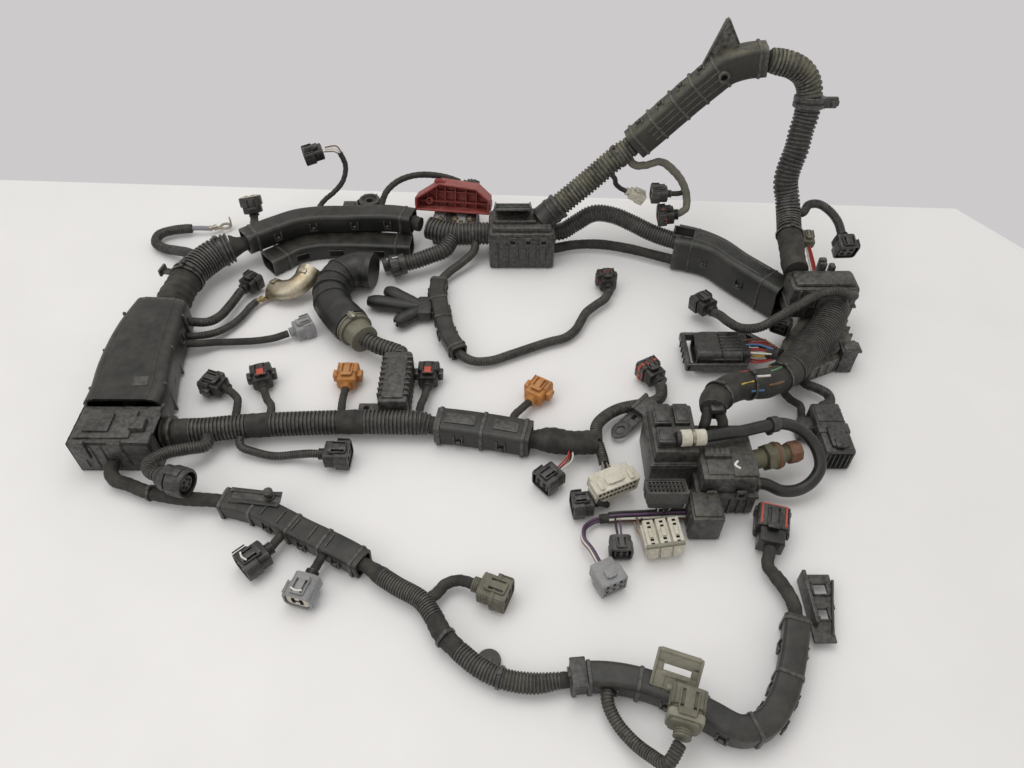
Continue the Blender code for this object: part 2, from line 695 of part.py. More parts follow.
def build_shield():
    """A curled sheet shield over a plug, with the leads that come to it from the trunk."""
    points = smooth([(*p, 30.0) for p in SHIELD_ROUTE], 12)
    bm = bmesh.new()
    rows = []
    for point, (at, side, raised) in zip(points, sweep_frames(points, (0, 0, 1))):
        arc = [math.radians(a) for a in range(-80, 81, 40)]
        half = point[3] / 2
        places = [side * half * math.sin(a) + raised * (half * math.cos(a) - 8) for a in arc]
        rows.append([bm.verts.new(at + place_on_arc) for place_on_arc in places])
    for first, second in zip(rows, rows[1:]):
        for k in range(len(first) - 1):
            bm.faces.new((first[k], first[k + 1], second[k + 1], second[k]))
    shield = mesh_object("steel_shield", bm, STEEL)
    thick = shield.modifiers.new("sheet", "SOLIDIFY")
    thick.thickness = 1.2 * MM
    thick.offset = 0


SHIELD_LEAD = [(-507, 196, 20), (-500, 209, 16), (-496, 226, 13), (-492, 243, 12)]
RING_LEAD = [(-514, 178, 16), (-500, 190, 10), (-486, 208, 7), (-478, 224, 7), (-474, 236, 7)]
GREY_LEAD = [(-514, 168, 14), (-498, 176, 8), (-476, 178, 7), (-453, 180, 7), (-436, 183, 8)]


def cover_side(toward):
    """The place on the corner cover's right wall where a lead that heads for a point leaves it."""
    line = smooth(CORNER_COVER, 40)
    half_width = np.interp(toward[1], line[::-1, 1], line[::-1, 3] / 2)
    middle = np.interp(toward[1], line[::-1, 1], line[::-1, 0])
    return (middle + half_width + LEAD_STANDOFF, toward[1], toward[2])


def build_left_leads():
    """Three leads that leave the corner cover's right side."""
    plug("shield_plug", (24, 22, 18), (-487, 258, 13), (0.5, 0.86, 0), PLUG, LEAD_D, 0,
         [cover_side(SHIELD_LEAD[0]), *SHIELD_LEAD])
    ring_terminal("ring_lead", (-469.8, 243.6, 7), (0.75, 0.66, 0), BRASS,
                  [cover_side(RING_LEAD[0]), *RING_LEAD], THIN_LEAD_D)
    plug("grey_plug", (26, 22, 18), (-420, 189, 10), (0.86, 0.5, 0), GREY, THIN_LEAD_D, 0,
         [cover_side(GREY_LEAD[0]), *GREY_LEAD])


# Middle trunk

MID_R = MID_CONDUIT_D / 2
MID_DUCT_Z = MID_DUCT_SIZE[1] / 2 + 1
MID_BUNDLE_Z = MID_DUCT_Z - MID_DUCT_SIZE[1] / 2 + DUCT_WALL + GAP + HIDDEN_R
MID_TRUNK = [
    (-518.7, 44, 16, HIDDEN_R),
    (-506, 44, 16, MID_R),
    (-472, 47, 16, MID_R),
    (-440, 51, 16, MID_R),
    (-401, 54, 16, MID_R),
    (-360, 56, 16, MID_R),
    (-314, 57, 16, MID_R),
    (-280, 56, 16, MID_R),
    (-266, 55.5, 16, MID_R),
    (-255, 54.5, 14, HIDDEN_R),
    (-230, 51, MID_BUNDLE_Z, HIDDEN_R),
    (-202, 46, MID_BUNDLE_Z, HIDDEN_R),
    (-176, 40.5, MID_BUNDLE_Z, HIDDEN_R),
    (-157, 36.5, 14, HIDDEN_R),
    (-145, 34.5, 16, MID_R),
    (-122, 31, 16, MID_R),
    (-98, 32, 16, MID_R),
]
MID_DUCT = [(-251, 54), (-230, 51), (-202, 46), (-176, 40.5), (-160, 37.1)]
INJECTOR_PLUG_SIZE = (30.0, 22.0, 17.0)
INJECTOR_PLUGS = {
    "injector_plug_1": ((-449, 78, 17), [(-452, 88, 14)], (-465, 104, 11.5), (-0.93, 0.36, 0), PLUG),
    "injector_plug_2": ((-416, 78, 17), [(-422, 87, 14)], (-430, 104, 11.5), (-0.3, 0.95, 0), PLUG),
    "injector_plug_3": ((-346, 80, 17), [(-347, 90, 14)], (-347, 104, 11.5), (0, 1, 0), ORANGE),
    "injector_plug_4": ((-268, 78, 17), [(-266, 90, 14)], (-264, 106, 11.5), (0, 1, 0), PLUG),
}


def build_mid_trunk():
    tube("mid_trunk", MID_TRUNK, MID_CONDUIT_D, CONDUIT, step=18, rings=3)
    duct("mid_duct", [(x, y, MID_DUCT_Z, *MID_DUCT_SIZE) for x, y in MID_DUCT], DUCT, step=22)
    for name, (tip, via, rear, heading, material) in INJECTOR_PLUGS.items():
        start = leave(MID_TRUNK, MID_CONDUIT_D, tip)
        plug(name, INJECTOR_PLUG_SIZE, rear, heading, material, THIN_LEAD_D, 0, [start, tip, *via])
    tip = (-175, 66, 16)
    start = beside(MID_DUCT, MID_DUCT_SIZE[0], tip)
    plug("injector_plug_5", INJECTOR_PLUG_SIZE, (-161, 86, 11.5), (0.52, 0.85, 0), ORANGE, THIN_LEAD_D, 0,
         [start, tip, (-169, 76, 13)])


def build_mid_branches():
    """The square plug in front of the trunk and the plugs and leads of its right end."""
    tip = (-437, 32, 10)
    start = leave(MID_TRUNK, MID_CONDUIT_D, tip)
    plug("square_plug", (30, 25, 20), (-360, 20, 13), (0.99, -0.04, 0), PLUG, THIN_LEAD_D, 0,
         [start, tip, (-422, 26, 8), (-403, 22, 7), (-384, 23, 8)])
    tip = (-124, 12, 15)
    start = leave(MID_TRUNK, MID_CONDUIT_D, tip)
    plug("branch_plug_1", (28, 24, 18), (-131, 4, 12), (-0.75, -0.66, 0), PLUG, THIN_LEAD_D, 0, [start, tip])


COIL_LEAD = [(-96, 52, 16), (-86, 66, 14), (-72, 76, 13), (-54, 81, 13), (-40, 84, 13), (-29, 92, 13)]
LUG_FOOT = (-45, 80, 9.5)  # where the flat strap is clipped under the coil plug's lead
LUG_HEADING = (-0.71, -0.70, -0.09)
LUG_OUTLINE = [(-6, -8), (6, -9), (34, -8), (46, -4), (49, 0), (46, 4), (34, 8), (6, 9), (-6, 8)]
LUG_THICKNESS = 3.0
LUG_HOLE_X = 38.0
LUG_HOLE_SIZE = (10.0, 7.0, 20.0)
CABIN_LEAD = [(-93, 14, 14), (-92, 4, 15)]
SPARE_LEAD = [(-98, -10, 9), (-99, -22, 5), (-92, -32, 5)]


def build_trunk_end():
    """What leaves the right end of the trunk: a sensor plug, the white plug and a small black one."""
    start = leave(MID_TRUNK, MID_CONDUIT_D, COIL_LEAD[0])
    coil = plug("coil_plug", (30, 23, 20), (-26, 110, 14), (-0.5, 0.87, 0), PLUG, THICK_LEAD_D, 0,
                [start, *COIL_LEAD])
    frame = place(LUG_FOOT, LUG_HEADING)
    strap = slab("lug", LUG_OUTLINE, 0, LUG_THICKNESS, DUCT, frame)
    saddle = box("saddle", (22, 15, 8), (3, 1, 6), DUCT, frame, corner=1)
    hole = box("lug_hole", LUG_HOLE_SIZE, (LUG_HOLE_X, 0, 0), DUCT, frame, corner=1)
    fuse(coil, cut(fuse(strap, saddle), hole))
    start = leave(MID_TRUNK, MID_CONDUIT_D, CABIN_LEAD[0])
    cabin = block_plug("white_multi_plug", (22, 44, 19), (-93, -9, 23), (0.42, -0.9, -0.1), WHITE, 0,
                       [start, *CABIN_LEAD], LEAD_D)
    spare = plug("spare", (24, 22, 18), (-101, -34, 12), (-0.99, -0.14, 0), PLUG, WIRE_D, 0,
                 [(-91, 2, 16), *SPARE_LEAD])
    fuse(cabin, spare)


# Front side

FRONT_R = FRONT_TRUNK_D / 2
FRONT_TRUNK = [
    (-549, 9.1, 13, 6.5),
    (-549, 1, 12.5, 6.5),
    (-543, -8, 11, 6.5),
    (-529, -13, 10, 6.5),
    (-510, -21, 10, 6.5),
    (-485, -27, 10, 6.5),
    (-462, -30, 11, 6.5),
    (-444, -32, 12, 6.5),
    (-421, -37, 12, 6.5),
    (-400, -44, 12, 6.5),
    (-377, -56, 12, 6.5),
    (-359, -66, 12, 6.5),
    (-341, -75, 12, 6.5),
    (-320, -86, 12, 6.5),
    (-297, -100, 12, 6.5),
    (-286, -108, 12, FRONT_R),
    (-274, -116, 12, FRONT_R),
    (-250, -131, 12, FRONT_R),
    (-240, -145, 12, FRONT_R),
    (-233, -158, 12, FRONT_R),
    (-219, -172, 11, FRONT_R),
    (-204, -184, 10.5, FRONT_R),
    (-186, -193, 10.5, FRONT_R),
    (-160, -197, 10.5, FRONT_R),
    (-141, -195, 11, 6.5),
    (-120, -193, 12, 5.0),
    (-89, -196, 12, 5.0),
    (-60, -206, 12, 5.0),
    (-32, -223, 12, 5.0),
    (-12, -233, 12, 5.0),
    (6, -228, 12, 5.0),
    (22, -210, 12, 5.0),
    (36, -182, 12, 5.0),
    (46, -155, 12, 5.0),
    (50, -134, 12, 6.0),
    (47, -119, 11, 6.0),
    (41, -106, 11, 6.0),
]
FRONT_DUCT = [
    (-436, -33.5), (-421, -37), (-400, -44), (-377, -56), (-359, -66), (-341, -75), (-320, -86),
    (-303, -96),
]
PAIR_LEADS = {
    "white_plug_1": ((-376, -68, 13), (-383, -80, 12.5), (-0.72, -0.69, 0)),
    "white_plug_2": ((-342, -92, 13), (-344, -103, 12.5), (-0.28, -0.96, 0)),
}
END_DUCT = [
    (-134, -194.2), (-112, -193), (-89, -196), (-60, -206), (-32, -223), (-12, -233), (6, -228),
    (22, -210), (36, -182), (45, -157), (48, -147),
]
END_PLATE = [(62, -152), (55, -160), (70, -166), (78, -150), (90, -108), (84, -102), (64, -104)]


def build_front_trunk():
    """The long taped trunk along the front, the two ducts on it and the end plate."""
    trunk = tube("front_trunk", FRONT_TRUNK, FRONT_TRUNK_D, TAPE, step=20)
    disc = cylinder("disc_clip", 19, 5, (-196, -176, 2.6), (0, 0, 1), DUCT, sides=16)
    stem = cylinder("stem", 8, 9, (-201, -179, 5), (0, 0, 1), DUCT, sides=8)
    fuse(trunk, disc, stem)
    width, height = FRONT_DUCT_SIZE
    route = [(x, y, height / 2 + 0.2, width, height) for x, y in FRONT_DUCT]
    front = duct("front_duct", route, DUCT, step=24)
    rail = slab("rail", [(-428, -27), (-383, -33), (-380, -44), (-424, -39)], height - 2, height + 2.4, DUCT)
    knob = cylinder("knob", 9, 12, (-392, -36, height + 6), (0, 0, 1), DUCT, sides=8)
    plugs = []
    for name, (tip, rear, heading) in PAIR_LEADS.items():
        start = beside(FRONT_DUCT, FRONT_DUCT_SIZE[0] - DUCT_WALL, tip)
        plugs.append(plug(name, (30, 26, 19), rear, heading, PLUG, THIN_LEAD_D, 0, [start]))
    fuse(front, rail, knob, *plugs)
    width, height = END_DUCT_SIZE
    channel = duct("end_duct", [(x, y, height / 2 + 0.5, width, height) for x, y in END_DUCT], DUCT, step=24)
    plate = slab("end_plate", END_PLATE, 6, 6 + PLATE_THICKNESS, DUCT)
    rim = slab("rim", [(62.2, -104.5), (62.2, -151), (65.4, -150), (65.4, -104.6)], 0, 18, DUCT)
    holes = [
        box("upper_hole", (11, 9, 20), (76, -118, 8), DUCT),
        box("lower_hole", (8, 9, 20), (73, -140, 8), DUCT),
    ]
    cut(fuse(plate, rim), *holes)
    frame = place((-57, -198, 33), (1, -0.35, 0), -42)
    bracket = box("bracket", (34, 3, 30), (0, 0, 0), OLIVE, frame)
    bracket = cut(bracket, box("slot", (20, 8, 6), (0, 0, 4), OLIVE, frame))
    fuse(channel, bracket)


RISER = [(-467, 26, 18), (-480, 19, 22), (-498, 9, 27), (-506, -6, 31)]
BARREL_PLUG_AT = (-492, -19, 32)
OLIVE_PLUG_AT = (-210, -115, 13)
BEIGE_PLUG_AT = (-61, -246, 36)
OLIVE_LEAD = [(-239, -122, 11), (-233, -114, 10), (-223, -111, 11)]
BEIGE_LEAD = [(-107, -211, 11), (-102, -224, 9), (-92, -238, 10), (-81, -250, 16), (-71, -259, 27)]


def build_front_plugs():
    """The plugs on the front trunk: round, paired, olive, beige and the open one at the end."""
    start = leave(MID_TRUNK, MID_CONDUIT_D + 2.5 * LEAD_STANDOFF, RISER[0])
    plug("barrel_plug", (30, 29, 27), BARREL_PLUG_AT, (0.95, -0.31, 0), PLUG, THICK_LEAD_D, 0,
         [start, *RISER])
    start = leave(FRONT_TRUNK, FRONT_TRUNK_D - LEAD_STANDOFF, OLIVE_LEAD[0])
    plug("olive_plug", (32, 25, 20), OLIVE_PLUG_AT, (0.93, -0.37, 0), OLIVE, LEAD_D, 0,
         [start, *OLIVE_LEAD])
    start = beside(END_DUCT, END_DUCT_SIZE[0] + 2 * LEAD_STANDOFF, BEIGE_LEAD[0])
    plug("beige_plug", (34, 25, 22), BEIGE_PLUG_AT, (0.3, 0.95, 0), OLIVE, LEAD_D, 0,
         [start, *BEIGE_LEAD])
    start = tuple(np.array(FRONT_TRUNK[-1][:3]) + np.array([-0.25, 0.55, 0]))
    plug("open_plug", (40, 28, 22), (41, -84, 14), (0.27, 0.96, 0), PLUG, LEAD_D, 0,
         [start, (37.5, -98, 10.5)])


# Relay box

BOX_FRONT = -38.0
BOX_RIGHT = 38.0
BOX_TOP = 50.0
SIDE_TOP = 54.0
BACK_TOP = 40.0
FERRULE_D = 15.0
HOSE_Z = SIDE_TOP + FERRULE_D / 2 + GAP
VENT_HOSE = [
    (-9, 1, HOSE_Z), (10, 6, 60), (29, 11, 58), (48, 17, 57), (70, 24, 52), (89, 23, 42), (100, 10, 34),
    (102, -4, 26), (93, -16, 18), (80, -22, 14), (66, -23, 14), (50, -19, 19),
    (BOX_RIGHT + LEAD_STANDOFF, -18.5, 20),
]
FITTING_HEADING = (0.96, 0.25, -0.03)


def build_relay_box():
    """The relay and fuse box on its flat base, its pipe fitting and the hose looped round it."""
    base = block("relay_box", (-14, BOX_RIGHT), (BOX_FRONT, 21), (0, 28), DUCT, 1.5)
    extras = [
        block("lid", (-13, BOX_RIGHT - 1.5), (BOX_FRONT + 2.5, 20), (26, BOX_TOP), DUCT, 3),
        block("back", (-14, BOX_RIGHT - 1), (19, 33), (0, BACK_TOP), DUCT, 1),
        block("side", (-54, -12), (-12, 48), (0, 40), DUCT, 1.5),
        block("side_lid", (-52, -12.5), (-10, 46), (38, SIDE_TOP), DUCT, 2),
        block("low", (-24, 4), (-66, BOX_FRONT + 2), (0, 34), DUCT, 2),
        block("relay", (-50, -34), (18, 42), (SIDE_TOP - 1, SIDE_TOP + 7), DUCT),
        block("relay_2", (-31, -17), (20, 44), (SIDE_TOP - 1, SIDE_TOP + 5), DUCT),
        block("fuse_cap", (-50, -34), (-6, 12), (SIDE_TOP - 1, SIDE_TOP + 10), DUCT),
        block("fuse_row", (-9, 14), (-14, -4), (BOX_TOP - 1, BOX_TOP + 4), DUCT),
    ]
    frame = place((BOX_RIGHT - 2, 0, 28), FITTING_HEADING)
    sections = [
        round_section(0, 9), round_section(16, 9), round_section(16, 13), round_section(34, 13),
        round_section(34, 8), round_section(40, 8), round_section(40, 10.5), round_section(52, 10.5),
    ]
    extras.append(loft("fitting", sections, BRASS, frame))
    fuse(base, *extras)
    hose = tube("vent_hose", VENT_HOSE, HOSE_D, RUBBER, step=22)
    ferrule = cylinder("ferrule", FERRULE_D, 22, (-19, 0, HOSE_Z), (1, 0.06, 0), GREY)
    fuse(hose, ferrule)


# Bulkhead cover

PLATE_TOP = 20.0
PLATE_FRONT = [(92, 107), (182, 149)]
PLATE_OUTLINE = [(84, 112), *PLATE_FRONT, (188, 226), (146, 226), (136, 200), (110, 168)]
COVER_X = (118.0, 190.0)
COVER_Y = (200.0, 232.0)
COVER_TOP = 66.0
ARM = [
    (17, 326, 22.5, 40, 44), (37, 319, 22.5, 38, 44), (58, 306, 22.5, 34, 44), (80, 278, 22.5, 32, 44),
    (104, 250, 22.5, 32, 44), (122, 229, 22.5, 32, 44),
]
FAT_R = FAT_TUBE_D / 2
NET_R = NET_BUNDLE_D / 2
FAT_TUBE = [
    (162, COVER_Y[0] - LEAD_STANDOFF, 44, FAT_R), (162, 191, 43.8, FAT_R), (157, 179, 42, FAT_R),
    (149, 166, 40, FAT_R), (133, 145, 38, FAT_R),
    (111, 120, 38, FAT_R), (92, 99, 41, FAT_R), (79, 88, 43.5, NET_R), (65, 80, 46, NET_R),
    (44, 74, 50, NET_R), (22, 62, 54, NET_R), (9, 48, 56, NET_R), (6, 37, 57, NET_R),
]
NET_TAILS = [[(2, 42, 56), (0, 32, 53), (-2, 26.6, 47), (-2, 26.6, BACK_TOP + LEAD_STANDOFF)],
             [(9, 42, 56), (13, 32, 53), (15, 26.6, 47), (15, 26.6, BACK_TOP + LEAD_STANDOFF)]]
SPEED_LEAD = [
    (180, 193, 60), (172, 187, 66), (160, 187, 70), (144, 187, 68), (117, 173, 64), (93, 160, 58),
    (76, 155, 50), (61, 164, 40), (51, 181, 34), (46, 198, 28),
]
LEVER_BODY_AT = (70, 156, 15)
LEVER_LENGTH = 56.0


def plate_edge(x):
    """A place just off the plate's front edge, and the way that the edge faces."""
    (x0, y0), (x1, y1) = PLATE_FRONT
    out = Vector((y1 - y0, x0 - x1, 0)).normalized()
    return Vector((x, y0 + (x - x0) * (y1 - y0) / (x1 - x0), 0)) + out * LEAD_STANDOFF, out


def edge_lead(x, height, onward):
    """A lead's route that starts square to the plate's front edge."""
    start, out = plate_edge(x)
    lift = Vector((0, 0, height))
    return [tuple(start + lift), tuple(start + out * 6 + lift), *onward]


def build_bulkhead():
    """The flat plate, the cover and arm on it, and what leaves the cover's front."""
    plate = slab("bulkhead_plate", PLATE_OUTLINE, 0, PLATE_TOP, DUCT)
    fuse(plate, block("end", (163, 179), (138, 150), (0, 36), DUCT))
    cover = block("cover", COVER_X, COVER_Y, (PLATE_TOP + GAP, COVER_TOP), DUCT, 4)
    hooks = [
        block("hook", (152, 160), (COVER_Y[1] - 2, 240), (50, 74), DUCT),
        block("hook_2", (164, 170), (COVER_Y[1] - 2, 238), (56, 68), DUCT),
    ]
    start = (122, COVER_Y[0] + 1, 33)
    flag = plug("flag_plug", (20, 20, 17), (114, 189, 32), (-0.5, -0.87, 0), OLIVE, THIN_LEAD_D, 0, [start])
    start = (156, COVER_Y[1] - 1, 44)
    small = plug("red_wire_plug", (22, 15, 13), (157, 281, 54), (0.05, 0.97, 0.2), OLIVE, THIN_LEAD_D, 0,
                 [start, (156, 244, 44), (158, 262, 47)])
    arm = duct("bulkhead_cover", ARM, DUCT, step=28, corner=6)
    fuse(arm, cover, *hooks, flag, small)
    net = tube("fat_tube", FAT_TUBE, FAT_TUBE_D, CONDUIT, step=20, rings=3)
    tails = [tube("tail", route, LEAD_D, CONDUIT) for route in NET_TAILS]
    fuse(net, *tails)
    start = (180, COVER_Y[0] - 1.5 * LEAD_STANDOFF, 60)
    plug("speed_plug", (28, 24, 18), (43, 210, 22), (-0.5, 0.86, -0.1), PLUG, LEAD_D, 0,
         [start, *SPEED_LEAD])
    build_lever_plug()
    build_tall_plug()


def build_lever_plug():
    """The big plug with the lever that locks it, shown pushed home."""
    sections = [(0, 17, 11, 6), (9, 20, 13, 7), (46, 20, 13, 7), (LEVER_LENGTH, 18, 12, 7)]
    shell = loft("lever_plug", sections, PLUG, place(LEVER_BODY_AT, (-1, 0, 0)))
    start = leave(FAT_TUBE, FAT_TUBE_D + LEAD_STANDOFF, (86, 140, 28))
    route = plug_route([start, (86, 141, 27), (82, 150, 20)], LEVER_BODY_AT, (-1, 0, 0), LEAD_INSET)
    fuse(shell, tube("wires", route, 14, RED, step=9))
    frame = block("plug_lever", (2, 8), (131, 181), (9, 19), PLUG)
    sides = [
        block("far_side", (3, 78), (176.6, 181), (9, 19), PLUG),
        block("near_side", (3, 66), (131, 135.4), (9, 19), PLUG),
        slab("handle", [(76, 181), (76, 176.6), (90, 160), (96, 164), (90, 174)], 9, 19, PLUG),
    ]
    fuse(frame, *sides)


TALL_PLUG_LEAD = [(132, 106, 11), (140, 97, 12), (139, 85, 13), (128, 77, 14), (126, 70, 14)]
SIDE_PLUG_LEAD = [(103, 93, 8), (110, 84, 9), (108, 72, 10), (106, 58, 11)]


def build_tall_plug():
    """The tall plug in front of the plate, the small one beside it and their two leads."""
    body = block("tall_plug", (112, 140), (11, 72), (0, 28), PLUG, 2)
    side = block("side", (98, 113), (44, 60), (2, 22), PLUG, 1)
    rib = block("rib", (118, 134), (16, 40), (27, 31), PLUG)
    leads = [
        tube("lead", edge_lead(122, 10, TALL_PLUG_LEAD), LEAD_D, CONDUIT),
        tube("lead_2", edge_lead(97, 8, SIDE_PLUG_LEAD), THIN_LEAD_D, CONDUIT),
    ]
    fuse(body, side, rib, *leads)


# Cabin plugs beside the relay box

CABIN_BUNDLE = [(-24.6, -44, 8), (-34, -44, 8), (-64, -45, 6.5), (-84, -46, 6.5), (-100, -48, 6.5)]
LOOP_WIRES = [(-95, -47.6, 6.5), (-106, -51, 7), (-115, -60, 9), (-116, -71, 10), (-110, -82, 11)]


def build_cabin_plugs():
    """The bundle along the floor, the grey plug that stands on it and the ones in front of it."""
    bundle = tube("cabin_bundle", CABIN_BUNDLE, THICK_LEAD_D, TAPE)
    loop = plug("loop", (24, 24, 18), (-104, -97, 12), (0.45, -0.9, 0), GREY, WIRE_D, 0, LOOP_WIRES)
    fuse(bundle, loop)
    upright = block_plug("grey_multi_plug", (19, 36, 20), (-44, -41, 22), (0, 0.25, 0.97), GREY)
    start = leave(CABIN_BUNDLE, THICK_LEAD_D, (-44, -41, 22))
    fuse(upright, tube("wires", [start, (-44, -40, 25)], THIN_LEAD_D, TAPE))
    row = block_plug("white_triple_plug", (34, 29, 22), (-66, -74, 13), (0.98, 0.1, 0.08), WHITE)
    start = leave(CABIN_BUNDLE, THICK_LEAD_D + LEAD_STANDOFF, (-66, -56, 10))
    fuse(row, tube("wires", [start, (-63, -64, 12)], THIN_LEAD_D, TAPE))
    start = leave(CABIN_BUNDLE, THICK_LEAD_D, (-85, -56, 9))
    plug("small_grey_plug", (21, 20, 17), (-85, -66, 11), (0, -1, 0), GREY, WIRE_D, 0, [start])


# Arch over the back

ARCH_R = ARCH_CONDUIT_D / 2
ARCH_CONDUIT = [
    (129, COVER_Y[1] + LEAD_STANDOFF, 61, ARCH_R), (129, 243, 61, ARCH_R), (131, 264, 65, ARCH_R),
    (132, 286, 70, ARCH_R), (135, 308, 76, ARCH_R),
    (134, 325, 90, ARCH_R), (130, 334, 107, ARCH_R), (132, 340, 124, ARCH_R), (136, 345, 140, ARCH_R),
    (138, 352, 158, ARCH_R), (141, 358, 174, ARCH_R), (141, 362, 189, ARCH_R), (139, 366, 201, ARCH_R),
    (131, 370, 214, ARCH_R), (116, 372, 223, ARCH_R), (101, 374, 226, ARCH_R), (91, 374.5, 228, 10),
    (80, 375, 228, HIDDEN_R), (62, 376, 224, HIDDEN_R),
]
ARCH_CLAMP_AT = (141, 361.6, 188)
ARCH_CLAMP_AXIS = (0.02, 0.26, 0.97)
ARCH_DUCT = [
    (88, 375, 229), (67, 376, 226), (49, 378, 218), (34, 378, 204), (16, 378, 186), (-5, 376, 165),
    (-25, 374, 145), (-40, 372, 131),
]
ARCH_UP = (0, -1, 0)
ARCH_SLANT = [
    (-12, 375.4, 158, HIDDEN_R), (-36, 372.6, 135, HIDDEN_R), (-43, 371.6, 128.6, 10.5),
    (-52, 369, 122, ARCH_R),
    (-66, 364, 112, ARCH_R), (-80, 359.5, 100.5, ARCH_R), (-99, 354, 85, ARCH_R), (-122, 346, 68, ARCH_R),
]
HANG_LEAD = [
    (-36, 366, 108), (-24, 366, 108), (-7, 370, 110), (11, 366, 99), (23, 362, 84), (28, 357, 70),
    (27, 349, 60),
]


def build_arch():
    """The thick conduit that rises from the cover, arches over in a duct and comes down again."""
    conduit = tube("arch_conduit", ARCH_CONDUIT, ARCH_CONDUIT_D, CONDUIT, step=20, rings=3)
    frame = place(ARCH_CLAMP_AT, ARCH_CLAMP_AXIS)
    clamp = cylinder("clamp", 33, 12, (0, 0, 0), (1, 0, 0), DUCT, frame, 16)
    fuse(conduit, clamp, block("tab", (155, 171), (357, 362), (182, 194), DUCT))
    channel = duct("arch_duct", [(*p, *ARCH_DUCT_SIZE) for p in ARCH_DUCT], DUCT, step=26, up=ARCH_UP)
    fin = slab("fin", [(26, 214), (62, 236), (44, 266)], 0, 4, DUCT, place((0, 390, 0), (1, 0, 0)) @ UPRIGHT)
    channel = fuse(channel, fin)
    cut(channel, cylinder("boss_hole", 7, 12, (45, 361, 214), (0, 1, 0), DUCT))
    tube("arch_slant", ARCH_SLANT, ARCH_CONDUIT_D, DUSTY_CONDUIT, step=16, rings=3)
    build_arch_leads()


UPRIGHT = Matrix.Rotation(math.radians(90), 4, "X")
POST_PLUG_AT = (198, 300, 59)
HANGING_PLUG_AT = (-44, 361, 77)
PAIR_LOWER_AT = (18, 344, 56)
PAIR_UPPER_AT = (10, 361, 73)
POST_LEAD = [(153, 317, 77), (162, 328, 80), (174, 331, 79), (187, 323, 74), (195, 312, 67)]


def build_arch_leads():
    """The plugs on short leads that stand or hang beside the arch."""
    start = leave(ARCH_CONDUIT, ARCH_CONDUIT_D, POST_LEAD[0])
    plug("post_plug", (25, 25, 22), POST_PLUG_AT, (0.05, -0.93, -0.3), PLUG, LEAD_D, 0, [start, *POST_LEAD])
    start = leave(ARCH_SLANT, ARCH_CONDUIT_D + LEAD_STANDOFF, (-60, 350, 98))
    plug("hanging_plug", (24, 15, 13), HANGING_PLUG_AT, (0.9, 0, -0.45), WHITE, WIRE_D, 0,
         [start, (-60, 352, 99), (-57, 358, 88)])
    start = leave(ARCH_SLANT, ARCH_CONDUIT_D, HANG_LEAD[0])
    lower = plug("hanging_pair", (24, 22, 18), PAIR_LOWER_AT, (-1, 0, -0.1), PLUG, LEAD_D, 0,
                 [start, *HANG_LEAD])
    upper = plug("upper", (24, 20, 17), PAIR_UPPER_AT, (-1, 0, 0), PLUG, WIRE_D, 0,
                 [(25, 360, 76), (21, 361, 74)])
    fuse(lower, upper)


# Junction box and the links to the bulkhead cover

JUNCTION_AT = (-166.5, 337.0)
JUNCTION_SIZE = (77.0, 50.0)
JUNCTION_X = (JUNCTION_AT[0] - JUNCTION_SIZE[0] / 2, JUNCTION_AT[0] + JUNCTION_SIZE[0] / 2)
JUNCTION_Y = (JUNCTION_AT[1] - JUNCTION_SIZE[1] / 2, JUNCTION_AT[1] + JUNCTION_SIZE[1] / 2)
JUNCTION_TOP = 56.0
LINK_CONDUIT = [
    (JUNCTION_X[1] + GAP, 351, 26), (-119, 351, 26), (-102, 356, 34), (-79, 363, 44), (-55, 360, 43),
    (-34, 352, 38), (-12, 340, 33), (8, 330, 31), (26, 322, 31),
]
LINK_BUNDLE = [
    (-135, 336, 11), (-120, 341, 10), (-107, 345, 10), (-71, 347, 10), (-35, 338, 10), (-6, 326, 10),
    (8, 320, 10), (20, 315, 10),
]


def build_junction():
    """The box where the branches meet, with its neck, and the two links that leave it."""
    shell = block("junction_box", JUNCTION_X, JUNCTION_Y, (0, JUNCTION_TOP), DUSTY_DUCT, 3)
    end = np.array(ARCH_SLANT[-1][:3])
    back = end - np.array(ARCH_SLANT[-2][:3])
    back = back / np.linalg.norm(back)
    neck = [tuple(end + back * GAP), tuple(end + back * 14), tuple(end + back * 28)]
    rib_y = (JUNCTION_Y[0] + 12, JUNCTION_Y[0] + 16)
    extras = [
        tube("neck", neck, 31, DUSTY_DUCT, rings=3),
        box("shelf", (44, 52, 3), (0, 0, 0), DUSTY_DUCT, place((-177, 352, 60), (1, 0, 0), -28)),
        block("rib", (-200, -150), rib_y, (JUNCTION_TOP - 1, JUNCTION_TOP + 4), DUSTY_DUCT),
        tube("link_bundle", LINK_BUNDLE, THICK_LEAD_D, TAPE),
    ]
    fuse(shell, *extras)
    tube("link_conduit", LINK_CONDUIT, LINK_CONDUIT_D, CONDUIT, step=20)


def round_off():
    """Smooth shading on every piece, with a sharp edge wherever two faces meet at more than 40 degrees."""
    for obj in PARTS.objects:
        if obj.type == "MESH":
            obj.data.shade_smooth()
            obj.data.set_sharp_from_angle(angle=math.radians(40))


def build_all():
    build_corner_cover()
    build_ground_lead()
    build_top_ducts()
    build_back_plugs()
    build_fuse_link()
    build_side_conduit()
    build_injector_branch()
    build_elbow()
    build_shield()
    build_left_leads()
    build_mid_trunk()
    build_mid_branches()
    build_trunk_end()
    build_front_trunk()
    build_front_plugs()
    build_relay_box()
    build_bulkhead()
    build_cabin_plugs()
    build_arch()
    build_junction()
    round_off()


build_all()
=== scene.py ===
"""Looks of the engine-bay wiring harness: ringed conduits, wrapped tape, moulded ducts, detailed plugs.

The routes are those of the part's source. Lengths are in millimetres, as they are there, and each
piece is turned into metres once, when it is finished.
"""

import math

